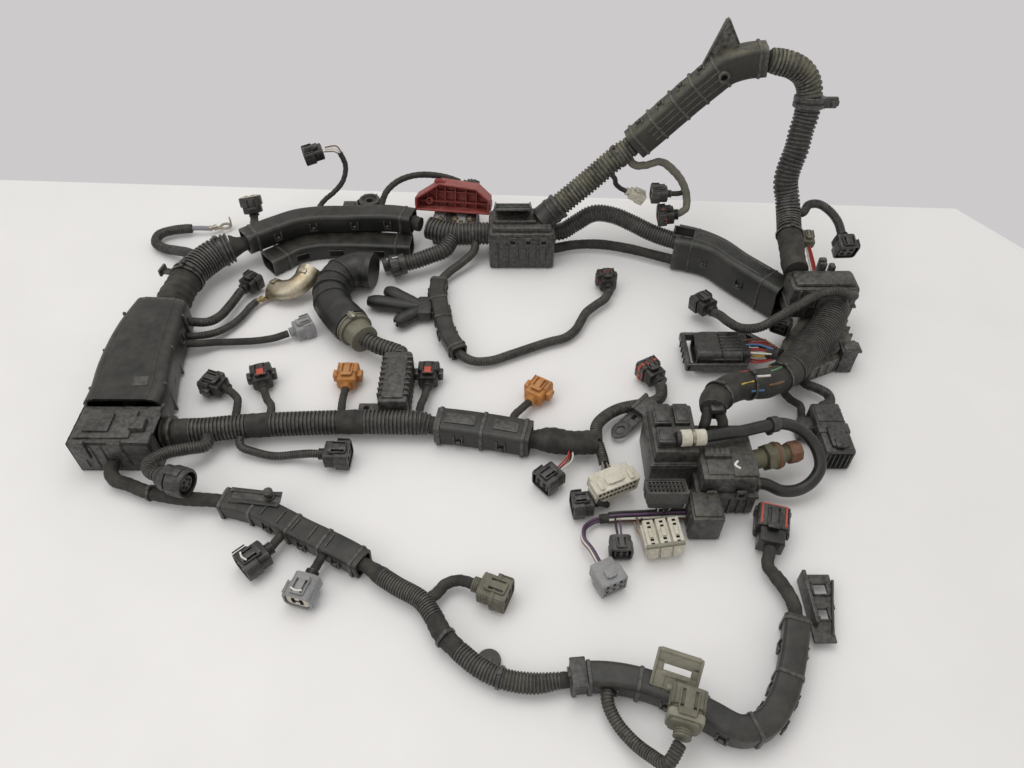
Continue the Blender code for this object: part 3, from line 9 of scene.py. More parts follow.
import bmesh
import bpy
import numpy as np
from mathutils import Matrix, Vector


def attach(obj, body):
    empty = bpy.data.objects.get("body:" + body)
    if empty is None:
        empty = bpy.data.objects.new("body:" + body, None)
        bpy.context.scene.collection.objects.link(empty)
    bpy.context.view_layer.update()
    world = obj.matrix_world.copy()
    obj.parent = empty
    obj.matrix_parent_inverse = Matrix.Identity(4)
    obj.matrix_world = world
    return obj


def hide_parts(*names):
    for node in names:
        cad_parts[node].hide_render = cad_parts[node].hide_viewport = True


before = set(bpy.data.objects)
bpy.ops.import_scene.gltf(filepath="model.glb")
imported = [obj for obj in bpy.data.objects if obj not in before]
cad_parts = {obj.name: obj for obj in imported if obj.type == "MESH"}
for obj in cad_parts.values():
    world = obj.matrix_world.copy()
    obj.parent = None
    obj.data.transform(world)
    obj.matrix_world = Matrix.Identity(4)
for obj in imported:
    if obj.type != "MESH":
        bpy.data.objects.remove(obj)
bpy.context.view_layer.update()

MM = 0.001
FLAT = Matrix.Identity(4)
SHARPEST_SMOOTH_EDGE = 34  # degrees between two faces that still shade as one

# Camera and floor of the photograph
CAMERA_AT = (-0.178, -0.4375, 0.600)
CAMERA_TILT = 43.0
CAMERA_LENS = 27.7
CAMERA_SENSOR = 36.0
FLOOR_GAP = 0.0006  # metres between the floor and the part's lowest faces
WALL_LINE = [(-1.90, 0.560), (0.405, 0.438), (1.60, -1.55)]  # where the floor ends against the walls

# Surface colours
CHARCOAL = "#181818"
TAPE_BLACK = "#1e1c1b"
DUST = "#8a8470"
OLIVE_DUST = "#7d7a62"
WORN_EDGE = "#8b8984"
WALL_GREY = "#cdcacc"
ROOM_LIGHT = "#f3f2f1"
ROOM_LIGHT_STRENGTH = 0.74
FLOOR_WHITE = "#ebe9e7"
FLOOR_CLOUD = "#e6e4e2"
WIRE_COLOURS = {
    "red": "#a5302a", "white": "#cfcbc0", "blue": "#3a6d9a", "yellow": "#c9a63a", "green": "#4f7d55",
    "brown": "#6b4a33", "grey": "#85858a", "purple": "#5c3d63", "tan": "#9a8263", "black": "#262524",
    "orange": "#c06a2c",
}


def srgb(code):
    """A hex colour as linear red, green, blue and alpha."""
    parts = [int(code[k:k + 2], 16) / 255 for k in (1, 3, 5)]
    linear = [p / 12.92 if p <= 0.04045 else ((p + 0.055) / 1.055) ** 2.4 for p in parts]
    return (*linear, 1.0)


# Materials


def add(tree, kind, inputs=None, **settings):
    """Adds a node of one kind. Settings are its properties, inputs are values or links."""
    made = tree.nodes.new(kind)
    for key, value in settings.items():
        setattr(made, key, value)
    for socket, value in (inputs or {}).items():
        if isinstance(value, bpy.types.NodeSocket):
            tree.links.new(value, made.inputs[socket])
        else:
            made.inputs[socket].default_value = value
    return made


def mix_colour(tree, factor, first, second):
    made = tree.nodes.new("ShaderNodeMix")
    made.data_type = "RGBA"
    for number, value in ((0, factor), (6, first), (7, second)):
        if isinstance(value, bpy.types.NodeSocket):
            tree.links.new(value, made.inputs[number])
        else:
            made.inputs[number].default_value = value
    return made.outputs[2]


def sums(tree, operation, first, second=0.0, clamp=False):
    return add(tree, "ShaderNodeMath", {0: first, 1: second}, operation=operation,
               use_clamp=clamp).outputs[0]


def ramp(tree, value, low, high):
    """0 below low, 1 above high and straight between."""
    made = add(
        tree, "ShaderNodeMapRange", {"Value": value, "From Min": low, "From Max": high}, clamp=True
    )
    return made.outputs["Result"]


def noise_at(tree, where, size_mm, detail=3.0, roughness=0.6):
    """Noise whose features are about that many millimetres across."""
    inputs = {"Vector": where, "Scale": 1 / (size_mm * MM), "Detail": detail, "Roughness": roughness}
    return add(tree, "ShaderNodeTexNoise", inputs).outputs["Fac"]


def plain_relief(tree, where):
    """Moulded plastic: a fine spark-eroded grain."""
    return noise_at(tree, where, 0.7, 2.0), 0.12


def weave_relief(tree, where):
    """Cloth tape: threads across and along, 0.9 mm apart, with a fold line at each turn."""
    run = add(tree, "ShaderNodeUVMap", uv_map="run").outputs["UV"]
    across = add(tree, "ShaderNodeTexWave", {"Vector": run, "Scale": 0.35, "Distortion": 0.4},
                 wave_type="BANDS", bands_direction="X").outputs["Fac"]
    along = add(tree, "ShaderNodeTexWave", {"Vector": run, "Scale": 0.35, "Distortion": 0.4},
                wave_type="BANDS", bands_direction="Y").outputs["Fac"]
    threads = sums(tree, "MULTIPLY", across, along)
    lumps = noise_at(tree, where, 5.0, 3.0)
    return sums(tree, "ADD", threads, lumps), 0.25


def braid_relief(tree, where):
    """Braided sleeve: two sets of threads that cross at a slant, 1.6 mm apart."""
    run = add(tree, "ShaderNodeUVMap", uv_map="run").outputs["UV"]
    turned = add(tree, "ShaderNodeMapping", {"Vector": run, "Rotation": (0, 0, math.radians(35))})
    back = add(tree, "ShaderNodeMapping", {"Vector": run, "Rotation": (0, 0, math.radians(-35))})
    first = add(tree, "ShaderNodeTexWave", {"Vector": turned.outputs[0], "Scale": 0.2}).outputs["Fac"]
    second = add(tree, "ShaderNodeTexWave", {"Vector": back.outputs[0], "Scale": 0.2}).outputs["Fac"]
    return sums(tree, "MAXIMUM", first, second), 0.5


def cast_relief(tree, where):
    """Cast or rusted metal: pits of about 2 mm."""
    return noise_at(tree, where, 2.0, 6.0, 0.7), 0.35


def surface(name, colour, roughness, dust=0.25, wear=0.2, metallic=0.0, dust_colour=DUST,
            relief=plain_relief, stain="#3a3630", stained=0.3, specular=0.5):
    """A surface of one colour that varies a little, with relief, stains, worn edges and settled dust."""
    material = bpy.data.materials.new(name)
    material.use_nodes = True
    tree = material.node_tree
    shader = tree.nodes["Principled BSDF"]
    where = add(tree, "ShaderNodeTexCoord").outputs["Object"]
    geometry = add(tree, "ShaderNodeNewGeometry")

    patches = ramp(tree, noise_at(tree, where, 22.0, 5.0), 0.45, 0.68)
    base = mix_colour(tree, sums(tree, "MULTIPLY", patches, stained), srgb(colour), srgb(stain))
    fine = ramp(tree, noise_at(tree, where, 3.0, 4.0), 0.3, 0.7)
    shade = add(tree, "ShaderNodeHueSaturation", {"Color": base, "Value": sums(tree, "ADD", 0.86, sums(
        tree, "MULTIPLY", fine, 0.28))}).outputs["Color"]

    scuffs = ramp(tree, noise_at(tree, where, 4.0, 4.0), 0.35, 0.6)
    edges = sums(tree, "MULTIPLY", ramp(tree, geometry.outputs["Pointiness"], 0.52, 0.62), scuffs)
    worn = mix_colour(tree, sums(tree, "MULTIPLY", edges, wear), shade, srgb(WORN_EDGE))

    upward = add(tree, "ShaderNodeSeparateXYZ", {0: geometry.outputs["Normal"]}).outputs["Z"]
    lying = ramp(tree, upward, -0.1, 0.9)
    drifts = ramp(tree, noise_at(tree, where, 13.0, 6.0, 0.65), 0.36, 0.66)
    hollows = ramp(tree, geometry.outputs["Pointiness"], 0.52, 0.44)
    settled = sums(tree, "MULTIPLY", sums(tree, "ADD", lying, sums(tree, "MULTIPLY", hollows, 0.7)), drifts)
    film = sums(tree, "MULTIPLY", settled, dust, clamp=True)
    dusty = mix_colour(tree, film, worn, srgb(dust_colour))
    tree.links.new(dusty, shader.inputs["Base Color"])

    gloss = sums(tree, "ADD", roughness, sums(tree, "MULTIPLY", fine, 0.12))
    tree.links.new(sums(tree, "ADD", gloss, sums(tree, "MULTIPLY", film, 0.5), clamp=True),
                   shader.inputs["Roughness"])
    shader.inputs["Metallic"].default_value = metallic
    shader.inputs["Specular IOR Level"].default_value = specular
    height, depth = relief(tree, where)
    bump = add(tree, "ShaderNodeBump", {"Height": height, "Strength": 1.0, "Distance": depth * MM})
    tree.links.new(bump.outputs["Normal"], shader.inputs["Normal"])
    return material


# Cloth tape: matt black threads with grey-brown dust in the folds
TAPE = surface("cloth_tape", TAPE_BLACK, 0.62, dust=0.18, relief=weave_relief, wear=0.1)
# Grey tape: the pale band wound over the middle trunk
GREY_TAPE = surface("grey_cloth_tape", "#6f6c62", 0.8, dust=0.5, relief=weave_relief, wear=0.1)
# Corrugated conduit: satin black rings, lighter where fingers and dust have been
CONDUIT = surface("conduit_black", "#1c1b1a", 0.38, dust=0.13, wear=0.3)
# Dusty conduit: the same plastic under an olive film of road dust
DUSTY_CONDUIT = surface("conduit_dusty", "#2f2d25", 0.58, dust=0.62, wear=0.5,
                        dust_colour="#8d8a72", stained=0.1)
# Conduit of the thin leads: nearly black, half dusty
LEAD_CONDUIT = surface("conduit_lead", "#201f1d", 0.44, dust=0.22, wear=0.35, dust_colour=OLIVE_DUST)
# Moulded duct plastic: charcoal with a soft sheen and pale rubbed edges
DUCT = surface("duct_plastic", CHARCOAL, 0.33, dust=0.12, wear=0.45, dust_colour=OLIVE_DUST)
# Dusty duct plastic: the arch's duct and the junction box, olive-grey all over
DUSTY_DUCT = surface("duct_dusty", "#2b2a26", 0.5, dust=0.48, wear=0.5, dust_colour="#85826b")
# Box plastic: the relay box, black with olive dust on its tops
BOX = surface("box_plastic", "#181818", 0.34, dust=0.24, wear=0.4, dust_colour="#75725a")
# Glossy black plug plastic, crisp highlights on its edges
PLUG = surface("plug_black", "#121213", 0.26, dust=0.07, wear=0.3)
# Rubber of boots and hoses: smooth, soft highlight, a breath of dust
RUBBER = surface("rubber", "#151516", 0.34, dust=0.07, wear=0.15, stained=0.25)
# Orange plug plastic, warm and a little faded
ORANGE = surface("plug_orange", "#c07f3c", 0.42, dust=0.25, wear=0.1, stain="#8a5a2c", stained=0.5)
# Orange-red locks inside the black plugs
LOCK = surface("lock_orange_red", "#b5402a", 0.4, dust=0.1, wear=0.1, stain="#8f3a24")
# Grey plug plastic, mid grey with dirt in its corners
GREY = surface("plug_grey", "#8e8e90", 0.45, dust=0.25, wear=0.1, stain="#5a5954", stained=0.4)
# Dark grey plastic of the small relay plugs
DARK_GREY = surface("plug_dark_grey", "#3a3a3b", 0.42, dust=0.18, wear=0.2)
# Off-white plug plastic, yellowed in patches
WHITE = surface("plug_white", "#c9c4b4", 0.4, dust=0.15, wear=0.0, stain="#a39b84", stained=0.6)
# Olive-grey plug plastic, greasy and dusty
OLIVE = surface("plug_olive", "#5e5b4c", 0.5, dust=0.5, wear=0.3, dust_colour="#8f8b78")
# Beige bracket plastic, the palest of the clips
BEIGE = surface("bracket_beige", "#7c7968", 0.5, dust=0.5, wear=0.4, dust_colour="#a09b88")
# Red cover: sun-faded brick red with dark grime inside
RED = surface("cover_red", "#8f332d", 0.45, dust=0.22, wear=0.15, stain="#5d2a25", stained=0.55,
              dust_colour="#b08478")
# Painted shade: flat near-black patches and discs, not cut into the parts, that stand for the dark insides
# of the openings of sockets, slots and holes
PAINTED_SHADE = surface("painted_shade_black", "#0d0d0d", 0.8, dust=0.0, wear=0.0, specular=0.2)
# Yellow insert of one plug
YELLOW = surface("insert_yellow", "#c9bd3a", 0.45, dust=0.1, wear=0.0)
# White paint dabs left by the breaker's yard
PAINT = surface("paint_white", "#dcdad4", 0.55, dust=0.05, wear=0.0, stain="#bdb9ae")
# Tinned terminal pins
PIN = surface("terminal_tin", "#a9a294", 0.35, dust=0.05, wear=0.0, metallic=1.0)
# Dull brass of ring terminals and their crimps
BRASS = surface("terminal_brass", "#a08d64", 0.42, dust=0.2, metallic=1.0, relief=cast_relief,
                stain="#6b5c3f")
# Heat-tarnished shield sheet, silver with straw and brown tones
SHIELD = surface("shield_steel", "#b3aa96", 0.3, dust=0.12, metallic=1.0, stain="#8d7348", stained=0.8)
# Olive-plated pipe fitting
PLATED = surface("fitting_plated", "#66634f", 0.48, dust=0.45, metallic=0.6, relief=cast_relief,
                 stain="#4d4a38")
# Rust on the end of the fitting
RUST = surface("rust", "#79492d", 0.8, dust=0.2, metallic=0.0, relief=cast_relief,
               stain="#4e2f1e", stained=0.9)
# Braided net sleeve over the bundle
BRAID = surface("net_sleeve", "#1b1b1a", 0.5, dust=0.18, wear=0.3, relief=braid_relief)
WIRES = {name: surface(f"wire_{name}", code, 0.4, dust=0.15, wear=0.0)
         for name, code in WIRE_COLOURS.items()}


# Curves


def smooth(points, step):
    """A smooth curve through the points, cut into equal lengths of about one step."""
    knots = np.array(points, float)
    if len(knots) == 2:
        knots = np.array([knots[0], knots.mean(axis=0), knots[1]])
    lengths = np.linalg.norm(np.diff(knots[:, :3], axis=0), axis=1)[:, None]
    slopes = np.diff(knots, axis=0) / lengths
    inner = (slopes[:-1] * lengths[1:] + slopes[1:] * lengths[:-1]) / (lengths[:-1] + lengths[1:])
    tangents = np.concatenate([slopes[:1], inner, slopes[-1:]])
    fine = [knots[:1]]
    for k, length in enumerate(lengths):
        share = np.linspace(0, 1, 13)[1:, None]
        square, cube = share**2, share**3
        fine.append(
            knots[k] * (2 * cube - 3 * square + 1)
            + knots[k + 1] * (3 * square - 2 * cube)
            + tangents[k] * length * (cube - 2 * square + share)
            + tangents[k + 1] * length * (cube - square)
        )
    fine = np.concatenate(fine)
    spans = np.linalg.norm(np.diff(fine[:, :3], axis=0), axis=1)
    run = np.concatenate([[0], np.cumsum(spans)])
    count = max(3, round(run[-1] / step) + 1)
    return resampled(fine, run, np.linspace(0, run[-1], count))


def resampled(line, run, marks):
    return np.array([np.interp(marks, run, line[:, k]) for k in range(line.shape[1])]).T


def run_of(line):
    """The distance along a line to each of its points."""
    spans = np.linalg.norm(np.diff(line[:, :3], axis=0), axis=1)
    return np.concatenate([[0], np.cumsum(spans)])


def centre_line(route):
    """A route without its radii."""
    return [point[:3] for point in route]


def root(trunk, toward):
    """The place on a trunk's centre line that is nearest to a point."""
    line = smooth(trunk, 3)[:, :3]
    return tuple(line[np.argmin(np.linalg.norm(line - np.array(toward[:3], float), axis=1))])


def unit(rows):
    return rows / np.linalg.norm(rows, axis=-1, keepdims=True)


def rolling_frames(places):
    """The side and up directions along a line, turned as little as can be from one to the next."""
    along = unit(np.gradient(places, axis=0))
    start = np.array([0, 0, 1.0]) if abs(along[0][2]) < 0.9 else np.array([0, 1.0, 0])
    sides = [unit(np.cross(along[0], start))]
    for direction in along[1:]:
        side = sides[-1] - direction * (sides[-1] @ direction)
        sides.append(unit(side))
    sides = np.array(sides)
    return sides, np.cross(sides, along)


def level_frames(places, up):
    """The side and up directions along a duct, whose up direction is kept."""
    along = unit(np.gradient(places, axis=0))
    sides = unit(np.cross(along, np.array(up, float)))
    return sides, np.cross(sides, along)


def place(at, heading, roll=0.0):
    """A frame whose X axis is the heading and whose Z axis is as near upright as it can be."""
    forward = Vector(heading).normalized()
    upright = Vector((0, 0, 1)) if abs(forward.z) < 0.95 else Vector((0, 1, 0))
    across = upright.cross(forward).normalized()
    turn = Matrix((forward, across, forward.cross(across))).transposed().to_4x4()
    return Matrix.Translation(Vector(at)) @ turn @ Matrix.Rotation(math.radians(roll), 4, "X")


def along(route, share, up=(0, 0, 1)):
    """The frame on a route at a share of its length, with its X axis along the route."""
    line = smooth(route, 2)[:, :3]
    number = min(int(share * (len(line) - 1)), len(line) - 2)
    heading = Vector(line[number + 1] - line[number]).normalized()
    side = heading.cross(Vector(up)).normalized()
    turn = Matrix((heading, -side, side.cross(heading))).transposed().to_4x4()
    return Matrix.Translation(Vector(line[number])) @ turn


def rounded(half_width, half_height, radius, steps=4):
    """The outline of a rectangle with round corners, as an array of (y, z)."""
    radius = min(radius, half_width * 0.98, half_height * 0.98)
    points = []
    for quarter, (sy, sz) in enumerate(((1, 1), (-1, 1), (-1, -1), (1, -1))):
        for k in range(steps + 1):
            angle = math.radians(90 * (quarter + k / steps))
            points.append((
                sy * (half_width - radius) + radius * math.cos(angle),
                sz * (half_height - radius) + radius * math.sin(angle),
            ))
    return np.array(points)


def block_template():
    """A box with round edges, as the sign of each corner, its offset from there, and its faces."""
    mesh = bpy.data.meshes.new("template")
    bm = bmesh.new()
    bmesh.ops.create_cube(bm, size=4.0)
    bmesh.ops.bevel(bm, geom=bm.edges[:], offset=1.0, segments=2, profile=0.5, affect="EDGES")
    bm.to_mesh(mesh)
    bm.free()
    points = np.array([v.co for v in mesh.vertices])
    faces = [tuple(p.vertices) for p in mesh.polygons]
    bpy.data.meshes.remove(mesh)
    signs = np.sign(points)
    return signs, points - signs, faces


BLOCK = block_template()


class Piece:
    """One piece in the making: solids in millimetres, each with its own finish, in one mesh."""

    def __init__(self, name):
        self.name = name
        self.points = []
        self.faces = []
        self.numbers = []
        self.runs = []
        self.finishes = []
        self.count = 0

    def solid(self, finish, points, faces, runs=None, place_at=FLAT):
        if finish not in self.finishes:
            self.finishes.append(finish)
        turn = np.array(place_at)
        points = np.asarray(points, float) @ turn[:3, :3].T + turn[:3, 3]
        self.points.append(points)
        self.faces += [tuple(k + self.count for k in face) for face in faces]
        self.numbers += [self.finishes.index(finish)] * len(faces)
        self.runs.append(np.zeros((sum(map(len, faces)), 2)) if runs is None else runs)
        self.count += len(points)

    def box(self, finish, size, centre=(0, 0, 0), at=FLAT, edge=0.6):
        """A box whose edges are round."""
        signs, offsets, faces = BLOCK
        half = np.array(size, float) / 2
        radius = min(edge, 0.49 * float(min(size)))
        points = signs * (half - radius) + offsets * radius + np.array(centre, float)
        self.solid(finish, points, faces, place_at=at)

    def block(self, finish, x, y, z, edge=0.8):
        """A box between two limits on each axis."""
        size = (x[1] - x[0], y[1] - y[0], z[1] - z[0])
        self.box(finish, size, (sum(x) / 2, sum(y) / 2, sum(z) / 2), edge=edge)

    def row(self, finish, count, step, x, y, z, edge=0.8):
        """Blocks in a row, each one step (x, y) on from the last."""
        for k in range(count):
            along_x, along_y = step[0] * k, step[1] * k
            self.block(finish, (x[0] + along_x, x[1] + along_x), (y[0] + along_y, y[1] + along_y), z, edge)

    def rings(self, finish, rings, at=FLAT, caps=(True, True), around=None):
        """A skin over closed rings of equal count, with its ends capped where asked."""
        rings = np.asarray(rings, float)
        rows, count = rings.shape[:2]
        centre = rings.mean(axis=1)
        distance = run_of(centre)
        girth = around or float(np.linalg.norm(np.diff(rings[0], axis=0), axis=1).sum())
        row, col = np.meshgrid(np.arange(rows - 1), np.arange(count), indexing="ij")
        after = (col + 1) % count
        quads = np.stack([row * count + col, row * count + after, (row + 1) * count + after,
                          (row + 1) * count + col], axis=-1).reshape(-1, 4)
        u, v = col * girth / count, distance[row]
        u2, v2 = (col + 1) * girth / count, distance[row + 1]
        runs = np.stack([np.stack([u, v], -1), np.stack([u2, v], -1), np.stack([u2, v2], -1),
                         np.stack([u, v2], -1)], axis=2).reshape(-1, 2)
        faces = [tuple(q) for q in quads.tolist()]
        extra = 0
        for end, wanted in ((0, caps[0]), (rows - 1, caps[1])):
            if wanted:
                faces.append(tuple(range(end * count, (end + 1) * count)))
                extra += count
        runs = np.concatenate([runs, np.zeros((extra, 2))])
        self.solid(finish, rings.reshape(-1, 3), faces, runs, at)

    def lathe(self, finish, profile, at=FLAT, sides=28):
        """A turned solid about X through (x, radius) points."""
        angles = np.linspace(0, 2 * math.pi, sides, endpoint=False)
        circle = np.stack([np.zeros(sides), np.cos(angles), np.sin(angles)], -1)
        rings = [circle * radius + np.array([x, 0, 0]) for x, radius in profile]
        self.rings(finish, rings, at)

    def loft(self, finish, sections, at=FLAT, steps=4):
        """A solid along X through sections of (x, half width, half height, corner radius)."""
        rings = []
        for x, half_width, half_height, radius in sections:
            outline = rounded(half_width, half_height, radius, steps)
            rings.append(np.column_stack([np.full(len(outline), x), outline]))
        self.rings(finish, rings, at)

    def sweep(self, finish, line, radii, sides):
        """A round skin along a line. Radii hold one value for each place and each angle, or one each."""
        places = line[:, :3]
        side, up = rolling_frames(places)
        angles = np.linspace(0, 2 * math.pi, sides, endpoint=False)
        radii = np.broadcast_to(np.asarray(radii, float).reshape(len(line), -1), (len(line), sides))
        arms = side[:, None] * np.cos(angles)[None, :, None] + up[:, None] * np.sin(angles)[None, :, None]
        self.rings(finish, places[:, None] + arms * radii[..., None],
                   around=float(2 * math.pi * radii.mean()))

    def tube(self, finish, route, diameter, step=3.0, sides=12):
        """A smooth round lead or hose. A route's fourth number is a radius."""
        line = smooth(route, step)
        radii = line[:, 3] if line.shape[1] > 3 else np.full(len(line), diameter / 2)
        self.sweep(finish, line, radii, sides)

    def conduit(self, finish, route, diameter, pitch=None, depth=None, sides=22):
        """A corrugated tube: square rings one pitch apart, with narrow grooves between them."""
        pitch = pitch or max(2.4, diameter * 0.15)
        depth = depth or diameter * 0.055
        fine = smooth(route, 1.5)
        run = run_of(fine)
        count = max(2, int(run[-1] / pitch))
        marks, heights = [], []
        for k in range(count):
            start = k * run[-1] / count
            for share, height in ((0.0, 0), (0.12, 1), (0.58, 1), (0.70, 0), (0.99, 0)):
                marks.append(start + share * run[-1] / count)
                heights.append(height)
        line = resampled(fine, run, np.array(marks))
        radius = line[:, 3] if line.shape[1] > 3 else np.full(len(line), diameter / 2)
        self.sweep(finish, line, radius - depth + depth * np.array(heights), sides)

    def wrapped(self, finish, route, diameter, turn=None, relief=0.45, lumps=0.03, sides=26):
        """A bundle under tape wound in a slanting turn, with a ridge at the tape's edge."""
        turn = turn or max(7.0, diameter * 0.5)
        line = smooth(route, min(2.0, diameter / 6))
        run = run_of(line)
        radius = line[:, 3] if line.shape[1] > 3 else np.full(len(line), diameter / 2)
        angles = np.arange(sides) / sides
        phase = (run[:, None] / turn + angles[None]) % 1.0
        ridge = relief * np.clip(phase * 1.15, 0, 1) * np.where(phase > 0.9, (1 - phase) / 0.1, 1.0)
        swell = np.sin(run / 9.0)[:, None] * np.cos(angles * 4 * math.pi + run[:, None] / 23.0)
        self.sweep(finish, line, radius[:, None] * (1 + lumps * swell) + ridge - relief, sides)

    def ribbon(self, finish, route, width, thickness):
        """A flat taped lead."""
        line = smooth(route, 2.0)
        side, raised = level_frames(line[:, :3], (0, 0, 1))
        outline = rounded(width / 2, thickness / 2, thickness * 0.48, 3)
        rings = line[:, None, :3] + side[:, None] * outline[None, :, :1] + raised[:, None] * outline[None,
                                                                                                     :, 1:]
        self.rings(finish, rings)

    def channel(self, finish, route, radius=4.0, wall=2.2, up=(0, 0, 1), lid=0.7):
        """A moulded duct, open at its ends, with a lid that overhangs its sides."""
        line = smooth(route, 4.0)
        side, raised = level_frames(line[:, :3], up)
        rings, inner = [], []
        for row, s, r in zip(line, side, raised):
            half_width, half_height = row[3] / 2, row[4] / 2
            outline = rounded(half_width, half_height, radius, 4)
            y, z = outline[:, 0].copy(), outline[:, 1]
            top = z > 0.35 * half_height
            y[~top] *= (half_width - lid) / half_width
            shrink = (half_width - wall) / half_width, (half_height - wall) / half_height
            rings.append(row[:3] + np.outer(y, s) + np.outer(z, r))
            inner.append(row[:3] + np.outer(y * shrink[0], s) + np.outer(z * shrink[1], r))
        self.rings(finish, [inner[0], rings[0]], caps=(False, False))
        self.rings(finish, rings, caps=(False, False))
        self.rings(finish, inner, caps=(False, False))
        self.rings(finish, [rings[-1], inner[-1]], caps=(False, False))

    def done(self, node=None):
        """Makes the object, in metres, smooth but for its sharp edges, and hides the model's parts that it
        stands for.
        """
        mesh = bpy.data.meshes.new(self.name)
        points = np.concatenate(self.points) * MM
        mesh.from_pydata(points.tolist(), [], self.faces)
        mesh.polygons.foreach_set("material_index", self.numbers)
        layer = mesh.uv_layers.new(name="run")
        layer.data.foreach_set("uv", np.concatenate(self.runs).astype(np.float32).ravel())
        for finish in self.finishes:
            mesh.materials.append(finish)
        mesh.validate()
        face_outward(mesh)
        mesh.shade_smooth()
        mesh.set_sharp_from_angle(angle=math.radians(SHARPEST_SMOOTH_EDGE))
        obj = bpy.data.objects.new(self.name, mesh)
        bpy.context.scene.collection.objects.link(obj)
        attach(obj, "root")
        for name in [node] if isinstance(node, str) else node or []:
            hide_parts(name)
        return obj


def face_outward(mesh):
    bm = bmesh.new()
    bm.from_mesh(mesh)
    bmesh.ops.recalc_face_normals(bm, faces=bm.faces)
    bm.to_mesh(mesh)
    bm.free()


# Leads and plugs


def grid(across, up, width, height):
    """The middles of a grid of openings in a face."""
    ys = [(k + 0.5) / across * width - width / 2 for k in range(across)]
    zs = [(k + 0.5) / up * height - height / 2 for k in range(up)]
    return [(y, z) for y in ys for z in zs]


def add_collar(p, finish, at, radius, length):
    """The seal at a plug's rear, with its rings."""
    profile = [(0, radius - 0.8), (0.5, radius)]
    for k in range(3):
        start = length * (0.2 + 0.25 * k)
        profile += [(start, radius), (start + 0.3, radius - 0.7), (start + 0.9, radius - 0.7),
                    (start + 1.2, radius)]
    p.lathe(finish, [*profile, (length, radius)], at, 20)


def add_latch(p, finish, at, size, latch):
    """The spring arm on a plug, its thumb pad and the rails beside it."""
    length, width, height = size
    wide, top = latch * width, height / 2
    p.box(finish, (0.58 * length, 0.55 * wide, 1.2), (0.64 * length, 0, top + 1.9), at)
    p.box(finish, (0.14 * length, wide, 1.7), (0.42 * length, 0, top + 1.9), at)
    p.box(finish, (1.6, wide, 1.4), (0.9 * length, 0, top + 1.7), at)
    for side in (-1, 1):
        p.box(finish, (0.5 * length, 1.3, 2.6), (0.66 * length, side * wide / 2, top + 0.8), at)
        p.box(finish, (0.4 * length, 1.0, 1.5), (0.78 * length, side * (width / 2 - 1.6), top + 0.4), at)


def add_plug(p, size, rear, heading, finish, lead_d, latch=0.4, seal=None, lock=None, ways=(2, 1),
             insert=None, pins=False, bare=False):
    """A plug: ringed collar, waist with grips, latch, shroud and the block of terminals inside it."""
    at = place(rear, heading)
    length, width, height = size
    collar = lead_d / 2 + 1.6
    half_width, half_height = width / 2, height / 2
    corner = min(width, height) / 6
    if not bare:
        add_collar(p, seal or finish, at, collar, 0.22 * length)
    waist = (0.86 * half_width, 0.86 * half_height, corner)
    rim = (half_width - 0.5, half_height - 0.5, corner)
    inside = (half_width - 1.8, half_height - 1.8, 0.7 * corner)
    tower = (half_width - 4, half_height - 4, 0.4 * corner)
    p.loft(finish, [
        (0.2 * length, 0.8 * waist[0], 0.8 * waist[1], corner), (0.2 * length + 0.8, *waist),
        (0.57 * length, *waist), (0.57 * length, *rim),
        (0.57 * length + 0.6, half_width, half_height, corner),
        (length - 0.6, half_width, half_height, corner), (length, *rim), (length, *inside),
        (length - 8, *inside), (length - 8, 0.5, 0.5, 0.2),
    ], at)
    face = insert or lock or finish
    p.loft(face, [(length - 8.2, *tower), (length - 1.5, *tower),
                  (length - 1, tower[0] - 0.4, tower[1] - 0.4,
                                                                  0.4 * corner)], at)
    hole = min(1.5 * tower[0] / ways[0], 1.5 * tower[1] / ways[1], 4.5)
    for y, z in grid(*ways, 2 * tower[0] - 1, 2 * tower[1] - 1):
        # painted shade: a dark patch for each terminal opening
        p.box(PAINTED_SHADE, (1.0, hole, hole * 0.9), (length - 1.35, y, z), at, 0.1)
        if pins:
            p.box(PIN, (5.0, 0.9, 0.9), (length - 0.8, y, z), at, 0.2)
    for side in (-1, 1):
        for k in range(4):
            p.box(finish, (1.1, 1.2, 0.62 * height), ((0.26 + 0.07 * k) * length, side * waist[0], 0),
                  at, 0.4)
        p.box(finish, (0.36 * length, 1.0, 0.2 * height), (0.77 * length, side * half_width, 0), at, 0.4)
    for k in range(3):
        p.box(finish, (1.0, 0.5 * width, 1.0), ((0.28 + 0.09 * k) * length, 0, -waist[1]), at, 0.35)
    if lock:
        p.box(lock, (0.09 * length, width + 0.8, 0.34 * height), (0.62 * length, 0, 0), at, 0.5)
        p.box(lock, (0.2 * length, 0.3 * width, 1.6), (0.74 * length, 0, half_height + 1.0), at, 0.4)
    if latch:
        add_latch(p, finish, at, size, latch)


